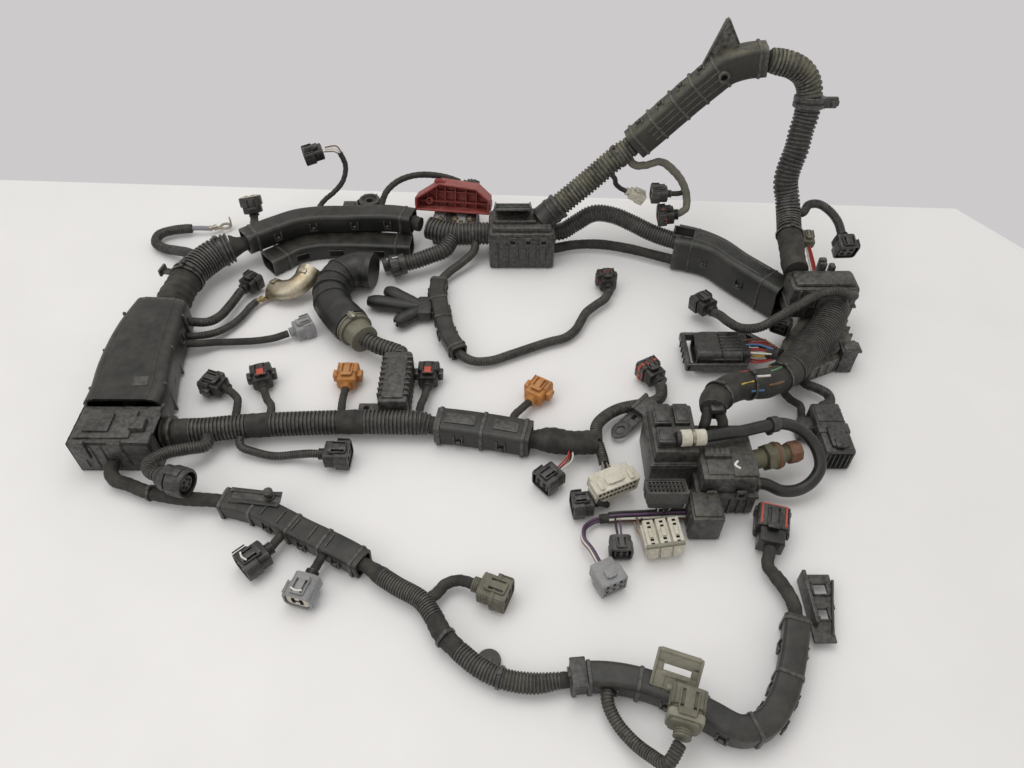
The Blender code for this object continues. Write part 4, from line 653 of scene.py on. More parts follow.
def add_block_plug(p, size, rear, heading, finish, ways):
    """A broad plug: stepped block, latch bar, keyed sides and rows of square terminal openings."""
    at = place(rear, heading)
    length, width, height = size
    half_width, half_height = width / 2, height / 2
    p.loft(finish, [(0, 0.42 * width, 0.38 * height, 1.4), (0.8, 0.44 * width, 0.40 * height, 1.4),
                    (0.35 * length, 0.44 * width, 0.40 * height, 1.4)], at)
    p.loft(finish, [
        (0.34 * length, half_width - 0.5, half_height - 0.5, 1),
        (0.34 * length + 0.5, half_width, half_height, 1), (length - 0.5, half_width, half_height, 1),
        (length, half_width - 0.5, half_height - 0.5, 1), (length, half_width - 1.6, half_height - 1.6, 0.6),
        (length - 1.2, half_width - 1.6, half_height - 1.6, 0.6),
    ], at)
    for y, z in grid(*ways, width - 5, height - 4.4):
        # painted shade: dark patches for the terminal openings
        p.box(PAINTED_SHADE, (0.8, min(2.1, 0.6 * (width - 5) / ways[0]), min(2.3, 0.6 * (height - 4.4) / ways[1])),
              (length - 1.1, y, z), at, 0.1)
    for k in range(1, ways[1]):
        z = (height - 4.4) * (k / ways[1] - 0.5)
        p.box(finish, (1.6, width - 4, 0.7), (length - 0.9, 0, z), at, 0.2)
    p.box(finish, (0.3 * length, 0.4 * width, 2.4), (0.62 * length, 0, half_height + 0.9), at)
    p.box(finish, (0.12 * length, 0.3 * width, 1.6), (0.75 * length, 0, half_height + 1.9), at)
    for side in (-1, 1):
        p.box(finish, (0.6 * length, 1.2, 0.3 * height), (0.66 * length, side * half_width, 0), at, 0.4)
        p.box(finish, (0.1 * length, 2.2, 0.6 * height), (0.3 * length, side * 0.45 * width, 0), at, 0.5)


def add_ring_terminal(p, at, tab=False):
    """A crimped barrel, a tongue and a flat ring with its bolt hole."""
    metal = PIN if tab else BRASS
    profile = [(0, 3.0), (0.4, 3.5), (3.2, 3.5), (3.8, 2.7), (5.6, 2.7), (6.2, 3.5), (9.6, 3.5), (10, 3.0)]
    p.lathe(metal, profile, at, 20)
    reach, drop = 20.5, -2.0
    p.box(metal, (reach - 13, 6, 1.8), (6 + (reach - 6) / 2 - 3.5, 0, drop), at, 0.4)
    circle = [(math.cos(a), math.sin(a)) for a in np.linspace(0, 2 * math.pi, 40, endpoint=False)]
    levels = [(4.2, -0.9), (7.1, -0.9), (7.5, -0.5), (7.5, 0.5), (7.1, 0.9), (4.2, 0.9), (4.2, -0.9)]
    rings = [[(reach + r * c, r * s, drop + z) for c, s in circle] for r, z in levels]
    p.rings(metal, rings, at, caps=(False, False))
    if tab:
        p.box(metal, (1.6, 7, 11), (reach + 6.8, 0, drop + 5), at, 0.4)


def add_wires(p, colours, start, end, spread=6.0, via=None, thickness=1.7):
    """Loose coloured wires from one place to another, fanned out by the spread."""
    start, end = np.array(start, float), np.array(end, float)
    heading = unit(end - start)
    side = unit(np.cross(heading, (0, 0, 1.0)))
    up = np.cross(side, heading)
    middle = np.array(via, float) if via else (start + end) / 2
    for number, colour in enumerate(colours):
        angle = 2.4 * number
        reach = spread / 2 * math.sqrt((number + 0.5) / len(colours))
        shift = side * reach * math.cos(angle) + up * reach * math.sin(angle)
        p.tube(WIRES[colour], [start + shift * 0.7, middle + shift * 1.25, end + shift], thickness, 2.0, 7)


def add_tie(p, at, diameter):
    """A cable tie: a thin band and its square head."""
    radius = diameter / 2
    p.lathe(PLUG, [(-1.3, radius), (-1.3, radius + 0.9), (1.3, radius + 0.9), (1.3, radius)], at, 26)
    p.box(PLUG, (4, 4.6, 3), (0, 0, radius + 1.6), at)


def lead(name, node, style, route, diameter, finish=None):
    """A lead of one of the harness's kinds."""
    p = Piece(name)
    if style == "conduit":
        p.conduit(finish or LEAD_CONDUIT, route, diameter, sides=16)
    elif style == "wrapped":
        p.wrapped(finish or TAPE, route, diameter, sides=18, relief=0.35)
    else:
        p.tube(finish or RUBBER, route, diameter)
    obj = p.done(node)
    line = smooth(route, 2)[:, :3] * MM
    return obj


# Backdrop, lamps and camera


def build_stage():
    """A pale floor that ends at the wall's line, and a soft grey beyond it."""
    mesh = bpy.data.meshes.new("floor")
    near = [(2.6, -3.2), (-2.6, -3.2)]
    mesh.from_pydata([(x, y, -FLOOR_GAP) for x, y in WALL_LINE + near], [],
                     [tuple(range(len(WALL_LINE) + 2))])
    floor = bpy.data.objects.new("floor", mesh)
    floor.data.materials.append(floor_paint())
    bpy.context.scene.collection.objects.link(floor)
    world = bpy.data.worlds.new("studio")
    world.use_nodes = True
    tree = world.node_tree
    tree.nodes.clear()
    path = add(tree, "ShaderNodeLightPath")
    seen = add(tree, "ShaderNodeBackground", {"Color": srgb(WALL_GREY), "Strength": 1.0})
    light = add(tree, "ShaderNodeBackground", {"Color": srgb(ROOM_LIGHT), "Strength": ROOM_LIGHT_STRENGTH})
    chosen = add(tree, "ShaderNodeMixShader", {0: path.outputs["Is Camera Ray"], 1: light.outputs[0],
                                               2: seen.outputs[0]})
    add(tree, "ShaderNodeOutputWorld", {"Surface": chosen.outputs[0]})
    bpy.context.scene.world = world


def floor_paint():
    """White painted board: nearly even, with faint grey clouds and a soft shine."""
    material = bpy.data.materials.new("floor_board")
    material.use_nodes = True
    tree = material.node_tree
    shader = tree.nodes["Principled BSDF"]
    where = add(tree, "ShaderNodeTexCoord").outputs["Object"]
    clouds = ramp(tree, noise_at(tree, where, 160.0, 4.0), 0.3, 0.7)
    tree.links.new(mix_colour(tree, clouds, srgb(FLOOR_WHITE), srgb(FLOOR_CLOUD)),
                   shader.inputs["Base Color"])
    shader.inputs["Roughness"].default_value = 0.5
    shader.inputs["Specular IOR Level"].default_value = 0.3
    return material


def add_lamp(name, at, aim, size, power):
    lamp = bpy.data.lights.new(name, "AREA")
    lamp.shape = "RECTANGLE"
    lamp.size, lamp.size_y = size
    lamp.energy = power
    obj = bpy.data.objects.new(name, lamp)
    obj.location = at
    obj.rotation_euler = (Vector(aim) - Vector(at)).to_track_quat("-Z", "Y").to_euler()
    bpy.context.scene.collection.objects.link(obj)


def build_camera():
    camera = bpy.data.cameras.new("camera")
    camera.lens = CAMERA_LENS
    camera.sensor_width = CAMERA_SENSOR
    obj = bpy.data.objects.new("camera", camera)
    obj.location = CAMERA_AT
    obj.rotation_euler = (math.radians(CAMERA_TILT), 0, 0)
    bpy.context.scene.collection.objects.link(obj)
    bpy.context.scene.camera = obj


build_camera()
build_stage()
add_lamp("ceiling", (-0.35, 0.30, 1.6), (-0.15, 0.1, 0), (1.6, 1.0), 9.9)
add_lamp("window", (-1.6, -0.9, 1.3), (-0.1, 0.1, 0), (1.0, 1.0), 4.5)


# Left side

LEFT_TRUNK = [
    (-508, 311.5, 32.5, 18), (-519, 305, 31.5, 18), (-533, 291, 29, 18), (-544, 270, 28, 18),
    (-549, 246, 27, 18), (-552, 222, 25, 18), (-554, 203, 24, 15),
]
HIDDEN_LEFT = [
    (-554, 203, 24, 9), (-556, 150, 15, 9), (-556, 100, 12.2, 9), (-553, 66, 12.2, 9), (-541, 48, 14, 9),
    (-530, 44, 16, 9), (-519, 44, 16, 9),
]
CORNER_COVER = [
    (-556, 207, 22.5, 56, 44), (-558, 170, 22.5, 66, 44), (-556, 120, 22.5, 72, 44),
    (-550, 76, 22.5, 74, 44), (-550, 60.3, 22.5, 74, 44),
]
GROUND_LEAD = [
    (-566, 318, 20), (-585, 332, 12), (-604, 342, 8), (-617, 353, 8), (-617, 368, 9), (-603, 376, 9.5),
    (-584, 380, 9.5),
]
TOP_DUCT = [
    (-493, 320), (-479, 331), (-458, 346), (-438, 358), (-412, 364), (-381, 365), (-351, 367),
    (-321, 366), (-298, 360.3),
]
LOWER_DUCT = [(-468, 307), (-456, 318), (-440, 333), (-416, 342), (-380, 344), (-349, 343), (-300, 340)]
JUNCTION_RUN = [
    (-289, 357, 32, 9), (-279, 351, 32, 13.5), (-264, 345, 31, 13.5), (-245, 341, 30, 13.5),
    (-226, 342, 30, 13.5), (-205.3, 342, 30, 13.5),
]
LATCH_LEAD = [(-415, 388, 38), (-409, 396, 42), (-400, 404, 46), (-388, 416, 56), (-384, 425, 72),
              (-389, 429, 87)]
BACK_LEAD = [(-338, 391, 42), (-334, 402, 48), (-322, 413, 55), (-302, 420, 60), (-278, 422, 60),
             (-256, 421, 56)]
ROUND_PLUG_LEAD = [(-488, 350, 34), (-493, 362, 30), (-496, 373, 26)]


def level(route, z, *size):
    return [(x, y, z, *size) for x, y in route]


def build_left_trunk():
    """The fat trunk under tape, the wires that run on in the ducts, and its ringed end by the junction."""
    p = Piece("left_trunk_tape")
    line = smooth(LEFT_TRUNK, 2.0)
    joint = int(0.56 * len(line))
    p.conduit(CONDUIT, [tuple(q) for q in line[:joint:3]], 34.5, pitch=4.2)
    p.wrapped(TAPE, [tuple(q) for q in line[joint - 4::3]], 36, turn=9.0, relief=1.3, lumps=0.03, sides=34)
    p.wrapped(TAPE, HIDDEN_LEFT, 18)
    p.wrapped(TAPE, [(-508, 311.5, 32.5, 15), (-499, 315.5, 32.5, 10)] + level(TOP_DUCT[1:], 32.5, 9)
              + JUNCTION_RUN[:1], 18)
    p.conduit(CONDUIT, JUNCTION_RUN[1:], 27)
    for share in (0.1, 0.5, 0.56):
        add_tie(p, along(LEFT_TRUNK, share), 37.0)
    p.box(DUCT, (9, 13, 3), (0, -24, 4), along(LEFT_TRUNK, 0.53), 1.0)
    p.box(DUCT, (14, 3, 9), (0, -30, 5), along(LEFT_TRUNK, 0.53), 1.0)
    p.done("left_trunk")


def add_side_clip(p, finish, at, half_width, height=9.0, side=1):
    """A snap on a duct's side: a loop that comes down from the lid over a wedge."""
    y = side * half_width
    for dx in (-4, 4):
        p.box(finish, (1.6, 1.8, height), (dx, y + side * 0.6, 0), at, 0.5)
    p.box(finish, (9.6, 1.8, 2.0), (0, y + side * 0.6, -height / 2), at, 0.5)
    p.box(finish, (4.6, 2.6, 3.0), (0, y + side * 0.6, -height / 2 + 3), at, 0.8)


def add_snaps(p, finish, route, shares, half_width, height, up=(0, 0, 1)):
    """Snaps on both sides of a duct, at shares of its length."""
    for share in shares:
        for side in (-1, 1):
            add_side_clip(p, finish, along(route, share, up), half_width, height, side)


def add_bands(p, finish, route, shares, size, grow, length, radius, up=(0, 0, 1)):
    """Raised ribs round a duct, at shares of its length."""
    half_width, half_height = size[0] / 2 + grow, size[1] / 2 + grow
    for share in shares:
        p.loft(finish, [
            (-length / 2, half_width - 0.5, half_height - 0.5, radius),
            (-length / 2 + 0.5, half_width, half_height, radius),
            (length / 2 - 0.5, half_width, half_height, radius),
            (length / 2, half_width - 0.5, half_height - 0.5, radius),
        ], along(route, share, up))


def build_corner_cover():
    """The angled channel that the trunk turns down into: raised lid, side snaps and a flared foot."""
    p = Piece("corner_cover_shell")
    p.channel(DUCT, CORNER_COVER, radius=9, wall=2.4, lid=1.2)
    lid = [(x, y, z + 21.2, w - 22, 3.4) for x, y, z, w, _ in CORNER_COVER]
    p.channel(DUCT, lid, radius=1.6, wall=1.2, lid=0.0)
    for share, side in ((0.3, 1), (0.72, 1), (0.3, -1), (0.72, -1)):
        half = 31 + 5 * share
        add_side_clip(p, DUCT, along(CORNER_COVER, share), half, 12, side)
    for share in (0.15, 0.5, 0.86):
        p.box(DUCT, (3.0, 3.0, 40), (0, -(31 + 5 * share), -1), along(CORNER_COVER, share), 0.8)
        p.box(DUCT, (3.0, 3.0, 40), (0, 31 + 5 * share, -1), along(CORNER_COVER, share), 0.8)
    p.box(DUCT, (12, 14, 1.6), (0, 14, 22.8), along(CORNER_COVER, 0.86), 0.6)
    p.done("corner_cover")
    build_corner_box()


def build_corner_box():
    """The box at the cover's foot: open clips, ribs, a round neck and the block it holds."""
    p = Piece("corner_box_shell")
    x, y = (-584.0, -508.0), (10.0, 60.0)
    p.block(DUCT, x, (y[0], y[0] + 2.4), (0, 40), 0.9)
    p.block(DUCT, (x[0], x[0] + 2.4), y, (0, 40), 0.9)
    p.block(DUCT, (x[1] - 2.4, x[1]), (47, 60), (0, 40), 0.9)
    p.block(DUCT, (x[1] - 2.4, x[1]), (10, 24), (0, 40), 0.9)
    p.block(DUCT, x, y, (0, 2.4), 0.9)
    p.block(DUCT, x, (y[0], y[1] - 4), (37.4, 40), 0.9)
    p.block(DUCT, (x[0] + 4, x[1] - 20), (16, 50), (39, 42.4), 1.2)
    p.row(DUCT, 5, (10, 0), (x[0] + 9, x[0] + 11.4), (9, 12), (6, 36), 0.7)
    p.block(DUCT, (-580, -566), (7.5, 12), (20, 44), 0.8)
    p.block(DUCT, (-545, -533), (7.5, 12), (22, 43), 0.8)
    p.row(DUCT, 3, (0, 14), (x[0] - 1.6, x[0] + 2), (18, 21), (4, 38), 0.7)
    p.lathe(DUCT, [(0, 14), (0.8, 15.4), (3, 15.4), (3.6, 13.4), (6.5, 13.4), (7.2, 15.4),
                   (9.6, 15.4), (10, 14)],
            place((x[1] - 3, 44, 17), (1, 0, 0)), 30)
    p.block(DUCT, (-530, -516), (24, 38), (38, 46), 1.0)
    p.block(PLUG, (-572, -548), (22, 44), (40, 45), 1.0)
    p.done("corner_box")


def build_ground_lead():
    """The ground lead at the back left, with its crimped ring."""
    p = Piece("ground_lead_ring")
    add_ring_terminal(p, place((-559, 381, 8.5), (0.88, 0.47, -0.05)), tab=True)
    p.tube(WIRES["grey"], [(-590, 379.4, 9.5), (-572, 381, 9.5), (-558, 381.4, 8.6)], 6, 2)
    p.lathe(TAPE, [(0, 5), (0.6, 5.9), (9, 5.6), (10, 3.4)], place((-589, 379.4, 9.5), (1, 0.08, 0)), 18)
    ring = p.done(None)
    route = [root(LEFT_TRUNK, GROUND_LEAD[0]), *GROUND_LEAD]
    lead("ground_lead_conduit", "ground_lead", "conduit", route, 12, CONDUIT)


def build_top_ducts():
    """The long channel across the back on its lower one, with snaps, ribs and the flanged stand."""
    upper = level(TOP_DUCT, 34, 27, 26)
    lower = level(LOWER_DUCT, 11, 30, 22)
    p = Piece("top_duct_shell")
    p.channel(DUCT, upper, radius=5, lid=1.0)
    p.channel(DUCT, lower, radius=4, lid=0.8)
    add_bands(p, DUCT, upper, (0.06, 0.95), (27, 26), 0.6, 3.4, 5)
    add_bands(p, DUCT, lower, (0.12, 0.9), (30, 22), 0.5, 3.0, 4)
    add_snaps(p, DUCT, upper, (0.18, 0.42, 0.66, 0.86), 13.6, 10)
    for share in (0.24, 0.5, 0.78):
        # painted shade: a dark slot under the ledge
        p.box(PAINTED_SHADE, (16, 1.0, 8), (0, -15.2, -1), along(lower, share), 0.3)
        p.box(DUCT, (18, 1.4, 1.2), (0, -15.6, 3.6), along(lower, share), 0.4)
    build_flange(p)
    p.done("top_duct")


def build_flange(p):
    """The stand behind the duct, with its round flange, bolt hole and webs."""
    x, y = -364.0, 392.0
    p.block(DUCT, (x - 22, x + 22), (y - 15, y + 15), (0, 33), 2)
    p.block(DUCT, (x - 24, x - 10), (y - 6, y + 9), (32, 36.5), 1)
    levels = [(4.2, 31), (12.2, 31), (13, 32), (13, 44), (12.2, 45), (9, 45), (8.4, 43.6), (5, 43.6),
              (4.2, 43), (4.2, 31)]
    circle = [(math.cos(a), math.sin(a)) for a in np.linspace(0, 2 * math.pi, 40, endpoint=False)]
    p.rings(DUCT, [[(x + 10 + r * c, y + r * s, z) for c, s in circle] for r, z in levels],
            caps=(False, False))
    for k in range(6):
        at = place((x + 10, y, 38), (math.cos(math.radians(60 * k)), math.sin(math.radians(60 * k)), 0))
        p.box(DUCT, (3, 1.4, 12), (13.6, 0, 0), at, 0.4)
    p.row(DUCT, 4, (11, 0), (x - 20, x - 18), (y + 14, y + 16.4), (2, 30), 0.6)


def build_back_plugs():
    """The latch plug, the plug behind the red cover and the round plug, on taped leads."""
    p = Piece("latch_plug_body")
    add_plug(p, (30, 23, 16), (-403, 428, 92), (-0.93, -0.32, -0.15), PLUG, 6, ways=(3, 1), bare=True)
    add_wires(p, ["tan", "white", "tan", "brown"], (-387.6, 428.4, 84), (-407, 427, 91.6), 7,
              via=(-393, 430, 90))
    body = p.done(None)
    lead("latch_lead", "latch_plug", "wrapped", [root(level(TOP_DUCT, 34), LATCH_LEAD[0]), *LATCH_LEAD],
         6.6)
    p = Piece("back_plug_body")
    add_plug(p, (20, 17, 14), (-240, 419, 50), (0.9, -0.1, -0.4), PLUG, 8)
    body = p.done(None)
    lead("back_lead", "back_plug", "wrapped",
         [root(level(TOP_DUCT, 34), BACK_LEAD[0]), *BACK_LEAD, (-243, 419.4, 51.4)], 8)
    p = Piece("round_plug_body")
    rear, heading = (-498, 383, 26), (-0.15, 0.45, 0.88)
    at = place(rear, heading)
    add_collar(p, PLUG, at, 6.6, 5)
    p.loft(PLUG, [(4, 10, 9, 7), (4.8, 11.6, 10, 8), (13, 11.6, 10, 8), (13, 13, 11, 9),
                  (13.6, 13.5, 11.5, 9), (23.4, 13.5, 11.5, 9), (24, 12.8, 10.8, 8.6), (24, 11, 9, 7),
                  (21, 11, 9, 7)], at, 7)
    p.loft(WHITE, [(19, 10.6, 8.8, 7), (24.4, 10.6, 8.8, 7), (25, 10.0, 8.2, 6.6)], at, 7)
    for side in (-1, 1):
        # painted shade: dark patches for the plug's two openings
        p.box(PAINTED_SHADE, (1.2, 4.2, 7.6), (24.7, 4.2 * side, 0), at, 0.3)
    add_latch(p, PLUG, at, (24, 27, 23), 0.4)
    body = p.done(None)
    lead("round_plug_lead", "round_plug", "wrapped",
         [root(level(TOP_DUCT, 34), ROUND_PLUG_LEAD[0]), *ROUND_PLUG_LEAD, (-498.3, 384, 28)], 10)


def build_fuse_link():
    """The fusible link block with its studs, and the hinged red cover that stands open over it."""
    x, y = -248.0, 378.4
    p = Piece("fuse_link_body")
    p.block(DARK_GREY, (x - 29, x + 29), (y - 18, y + 18), (0, 20), 1.4)
    p.block(GREY, (x - 27, x + 27), (y - 16, y + 16), (19, 26), 1.0)
    for k in range(4):
        left = x - 25 + 13.4 * k
        p.block(PLUG if k % 2 else GREY, (left, left + 11), (y - 13, y + 12), (25, 28.4), 0.7)
        p.block(PIN, (left + 3, left + 8), (y - 15.4, y - 8), (26, 29), 0.5)
    for dx in (-18, 0, 18):
        p.lathe(PIN, [(0, 2.6), (5.2, 2.6), (5.6, 2.2)], place((x + dx, y - 4, 25), (0, 0, 1)), 16)
        p.lathe(BRASS, [(0, 4.6), (2.6, 4.6), (3, 4.2)], place((x + dx, y - 4, 26), (0, 0, 1)), 6)
    p.done("fuse_link_block")
    at = place((-250, 394, 42.4), (1, -0.12, 0), 75)
    p = Piece("red_cover_shell")
    outside = np.array([(-46, -12), (46, -12), (46, 6), (30, 20), (-16, 24), (-46, 4)], float)
    inside = np.array([(-43.5, -9.5), (43.5, -9.5), (43.5, 4.8), (29.2, 17.2), (-15.2, 21), (-43.5, 2.3)],
                      float)
    levels = [(0.35, -10), (0, -9.2), (0, 12.2), (0.3, 13), (0.7, 13), (1, 12.2), (1, -7.5)]
    rings = [np.column_stack([outside + (inside - outside) * share, np.full(6, z)]) for share, z in levels]
    p.rings(RED, rings, at)
    for x, top in ((-33, 8), (-22, 15), (-11, 19), (2, 18), (15, 17), (28, 15)):
        p.box(RED, (1.8, top + 9, 7), (x, (top - 9) / 2, -4.4), at, 0.5)
    p.box(RED, (84, 1.8, 9), (0, -3, -3.6), at, 0.5)
    p.box(RED, (60, 1.8, 6), (4, 9, -5), at, 0.5)
    p.lathe(RED, [(-8, 4.6), (3, 4.6), (3.4, 4.2), (3.4, 2.4), (-2, 2.4)],
            at @ place((-30, -2, 0), (0, 0, 1)), 20)
    for x in (-30, 0, 30):
        p.box(RED, (10, 3.4, 7), (x, -12.6, -3), at, 1.0)
    p.box(RED, (13, 3, 9), (-16, 24.4, 5), at, 0.9)
    p.box(RED, (9, 5, 2.2), (-16, 26, 9.6), at, 0.8)
    for x in (-46.4, 46.4):
        p.box(RED, (1.8, 9, 16), (x, -3, 1), at, 0.6)
    p.box(RED, (78, 1.6, 1.8), (0, -4, -10.4), at, 0.5)
    p.done("red_cover")


SIDE_CONDUIT = [(-252, 330, 28), (-246, 323, 27), (-258, 316, 25), (-274, 308, 23), (-290, 301, 21),
                (-306, 296, 20)]


def build_side_conduit():
    """The clean conduit with the pair of round plugs on its end, each with a stroke of white paint."""
    p = Piece("side_conduit_rings")
    p.conduit(CONDUIT, [(-250, 332, 29), *SIDE_CONDUIT[2:]], 19, pitch=3.6)
    at = place(SIDE_CONDUIT[-1], (-16, -5, -1))
    p.lathe(PLUG, [(-3, 9), (-3, 11.6), (-2.4, 12.2), (4, 12.2), (4.4, 11.2), (5.6, 11.2),
                   (6, 12.5), (14.4, 12.5), (15, 11.8), (15, 9.4), (9, 9.4)], at, 34)
    # painted shade: a dark disc for the inside of the socket
    p.lathe(PAINTED_SHADE, [(9, 9.2), (11, 9.2)], at, 24)
    for k in range(6):
        angle = math.radians(60 * k)
        p.box(PIN, (6, 1.6, 1.6), (11, 5.6 * math.cos(angle), 5.6 * math.sin(angle)), at, 0.3)
    for k in range(12):
        turn = at @ Matrix.Rotation(math.radians(30 * k), 4, "X")
        p.box(PLUG, (7, 1.6, 1.2), (10, 0, 12.6), turn, 0.4)
    second = at @ Matrix.Translation((0, -15, -7))
    p.lathe(PLUG, [(0, 6.4), (0, 8), (1, 8.5), (9, 8.5), (9.4, 7.6), (11, 7.6), (11.4, 8.5),
                   (21.4, 8.5), (22, 7.9), (22, 6.2), (16, 6.2)], second, 28)
    p.box(PLUG, (8, 20, 12), (6, -8, -4), at, 1.6)
    p.box(PAINT, (7, 1.0, 1.6), (8, -3, 12.6), at @ Matrix.Rotation(math.radians(-20), 4, "X"), 0.3)
    p.box(PAINT, (6, 1.6, 1.0), (14, 1.5, 8.4), second, 0.3)
    p.done("side_conduit")


INJECTOR_LEAD = [
    (-223, 322, 20), (-236, 308, 14), (-252, 292, 11), (-262, 273, 11), (-263, 250, 11),
    (-258, 226, 11), (-253, 203, 11), (-245, 177, 11), (-234, 157, 10), (-220, 147, 9),
    (-201, 149, 7), (-180, 158, 7), (-159, 168, 7), (-137, 178, 7), (-119, 185, 7), (-108, 196, 8),
    (-102, 208, 9), (-95, 222, 10), (-84, 234, 10), (-72, 245, 11),
]
BOOT_ROOT = (-276.0, 228.0, 10.5)
BOOT_TIPS = [(-306, 204, 10.5), (-341, 241, 10.5), (-322, 256, 13)]


def build_injector_branch():
    """The lead down the middle, the duct round it with its three boots, and its orange-faced plug."""
    p = Piece("cross_plug_body")
    add_plug(p, (28, 21, 18), (-66, 259, 12), (-0.12, 0.99, 0), PLUG, 10, lock=LOCK, ways=(2, 1))
    for side in (-1, 1):
        p.box(PLUG, (7, 4.4, 15), (20, side * 10.4, 0), place((-66, 259, 12), (-0.12, 0.99, 0)), 1.0)
    body = p.done(None)
    lead("injector_lead", "cross_plug", "conduit",
         [root(JUNCTION_RUN, INJECTOR_LEAD[0]), *INJECTOR_LEAD, (-66.6, 256, 12)], 10)
    p = Piece("injector_duct_shell")
    inside = [(x, y, z + 1, 19, 17) for x, y, z in INJECTOR_LEAD[3:9]]
    p.channel(DUCT, inside, radius=4, lid=0.8)
    add_bands(p, DUCT, inside, (0.04, 0.3, 0.56, 0.96), (19, 17), 0.8, 3, 4)
    add_snaps(p, DUCT, inside, (0.18, 0.44, 0.75), 9.6, 8)
    p.box(RUBBER, (18, 30, 14), BOOT_ROOT, edge=4)
    for tip in BOOT_TIPS:
        t, r = np.array(tip, float), np.array(BOOT_ROOT)
        middle = t * 0.55 + r * 0.45
        p.tube(RUBBER, [(*t, 5.4), (*(t * 0.96 + r * 0.04), 6.5), (*middle, 8.0),
                        (*(t * 0.2 + r * 0.8), 7.2), (*r, 6.0)], 13, 1.6, 24)
        cuff = place(tuple(t * 0.9 + r * 0.1), tuple(t - r))
        p.lathe(RUBBER, [(-1.4, 6.2), (-1, 7.4), (1, 7.4), (1.4, 6.2)], cuff, 26)
        # painted shade: a dark disc for the boot's open end
        p.lathe(PAINTED_SHADE, [(-0.2, 4.2), (0.3, 4.2)], place(tip, tuple(t - r)), 20)
        end = place(tip, tuple(t - r))
        p.tube(WIRES["white"], [tuple(end @ Vector((-2, 0, 0))), tuple(end @ Vector((1.6, 0, 0)))], 3.2,
               1.0, 10)
    p.done("injector_duct")


ELBOW_BOOT = [
    (-338, 281, 22), (-356, 284, 22), (-374, 272, 22), (-381, 247, 22), (-374, 218, 22), (-358, 196, 22),
    (-350, 186, 22),
]


def build_elbow():
    """The big boot with its seams and lips, the olive clamp, and the ribbed cover that it feeds."""
    p = Piece("elbow_boot_rubber")
    line = smooth(ELBOW_BOOT, 2.0)
    run = run_of(line)
    share = run / run[-1]
    radius = 21 - 0.9 * np.exp(-((share - 0.5) / 0.24) ** 2) + 0.3 * np.sin(run / 6)
    angles = np.linspace(0, 2 * math.pi, 40, endpoint=False)
    seam = 0.9 * np.exp(-(np.sin(angles) / 0.08) ** 2)[None]
    lips = 0.8 * (np.exp(-((run - 5) / 2) ** 2) + np.exp(-((run[-1] - run - 5) / 2) ** 2))[:, None]
    p.sweep(RUBBER, line, radius[:, None] - 0.6 + seam + lips, 40)
    for at_share in (0.3, 0.42, 0.54, 0.66):
        p.lathe(RUBBER, [(-1.6, 19.8), (-0.8, 21.4), (0.8, 21.4), (1.6, 19.8)],
                along(ELBOW_BOOT, at_share), 40)
    p.done("elbow_boot")
    p = Piece("ribbed_cover_shell")
    heading = Vector((0.62, -0.78, 0)).normalized()
    at = place((-349.8, 185.8, 22), heading)
    p.lathe(OLIVE, [(0, 17), (0, 18.4), (0.6, 19), (3, 19), (3.2, 18), (5.6, 18), (5.8, 19),
                    (8.4, 19), (9, 18.4), (9, 16), (13, 15.2), (20.6, 14), (21, 15.6), (25.6, 15.6),
                    (26, 15)], at, 36)
    p.box(OLIVE, (9, 8, 5), (4.5, 0, 19), at, 1)
    p.box(PIN, (11, 3, 3), (4.5, 0, 20.6), at, 0.8)
    neck = [tuple(at @ Vector((20, 0, 0))), (-320, 159, 20), (-303, 152, 19), (-294.5, 147, 19),
            (-294.5, 137, 19)]
    p.conduit(LEAD_CONDUIT, neck, 18, pitch=4.0)
    x, y = (-309.0, -280.0), (69.8, 140.0)
    p.block(DUCT, x, y, (0, 31), 3)
    p.block(DUCT, (x[0] + 4, x[1] - 4), (y[0] + 4, y[1] - 4), (30, 33.2), 1.4)
    for k in range(8):
        start = 78 + 7.2 * k
        p.block(DUCT, (x[0] - 1.2, x[1] + 1.2), (start, start + 2.2), (2, 33), 0.7)
    p.row(DUCT, 4, (7, 0), (x[0] + 3, x[0] + 4.6), (y[1] - 1, y[1] + 1.6), (4, 29), 0.6)
    p.block(DUCT, (x[0] - 22, x[0] + 2), (72, 86), (3, 11), 1.2)
    # painted shade: a dark disc for the hole in the tab
    p.lathe(PAINTED_SHADE, [(0, 3), (0.4, 3)], place((x[0] - 14, 79, 10.8), (0, 0, 1)), 20)
    p.done("ribbed_cover")


SHIELD_ROUTE = [(-453.5, 266, 12), (-443, 259, 15), (-428, 258, 19), (-417, 266, 24), (-412, 279, 28)]
CURL_FROM, CURL_TO = -80, 80
SHIELD_LEAD = [(-507, 196, 20), (-500, 209, 16), (-496, 226, 13), (-492, 243, 12)]
RING_LEAD = [(-514, 178, 16), (-500, 190, 10), (-486, 208, 7), (-478, 224, 7), (-474, 236, 7)]
GREY_LEAD = [(-514, 168, 14), (-498, 176, 8), (-476, 178, 7), (-453, 180, 7), (-436, 183, 8)]


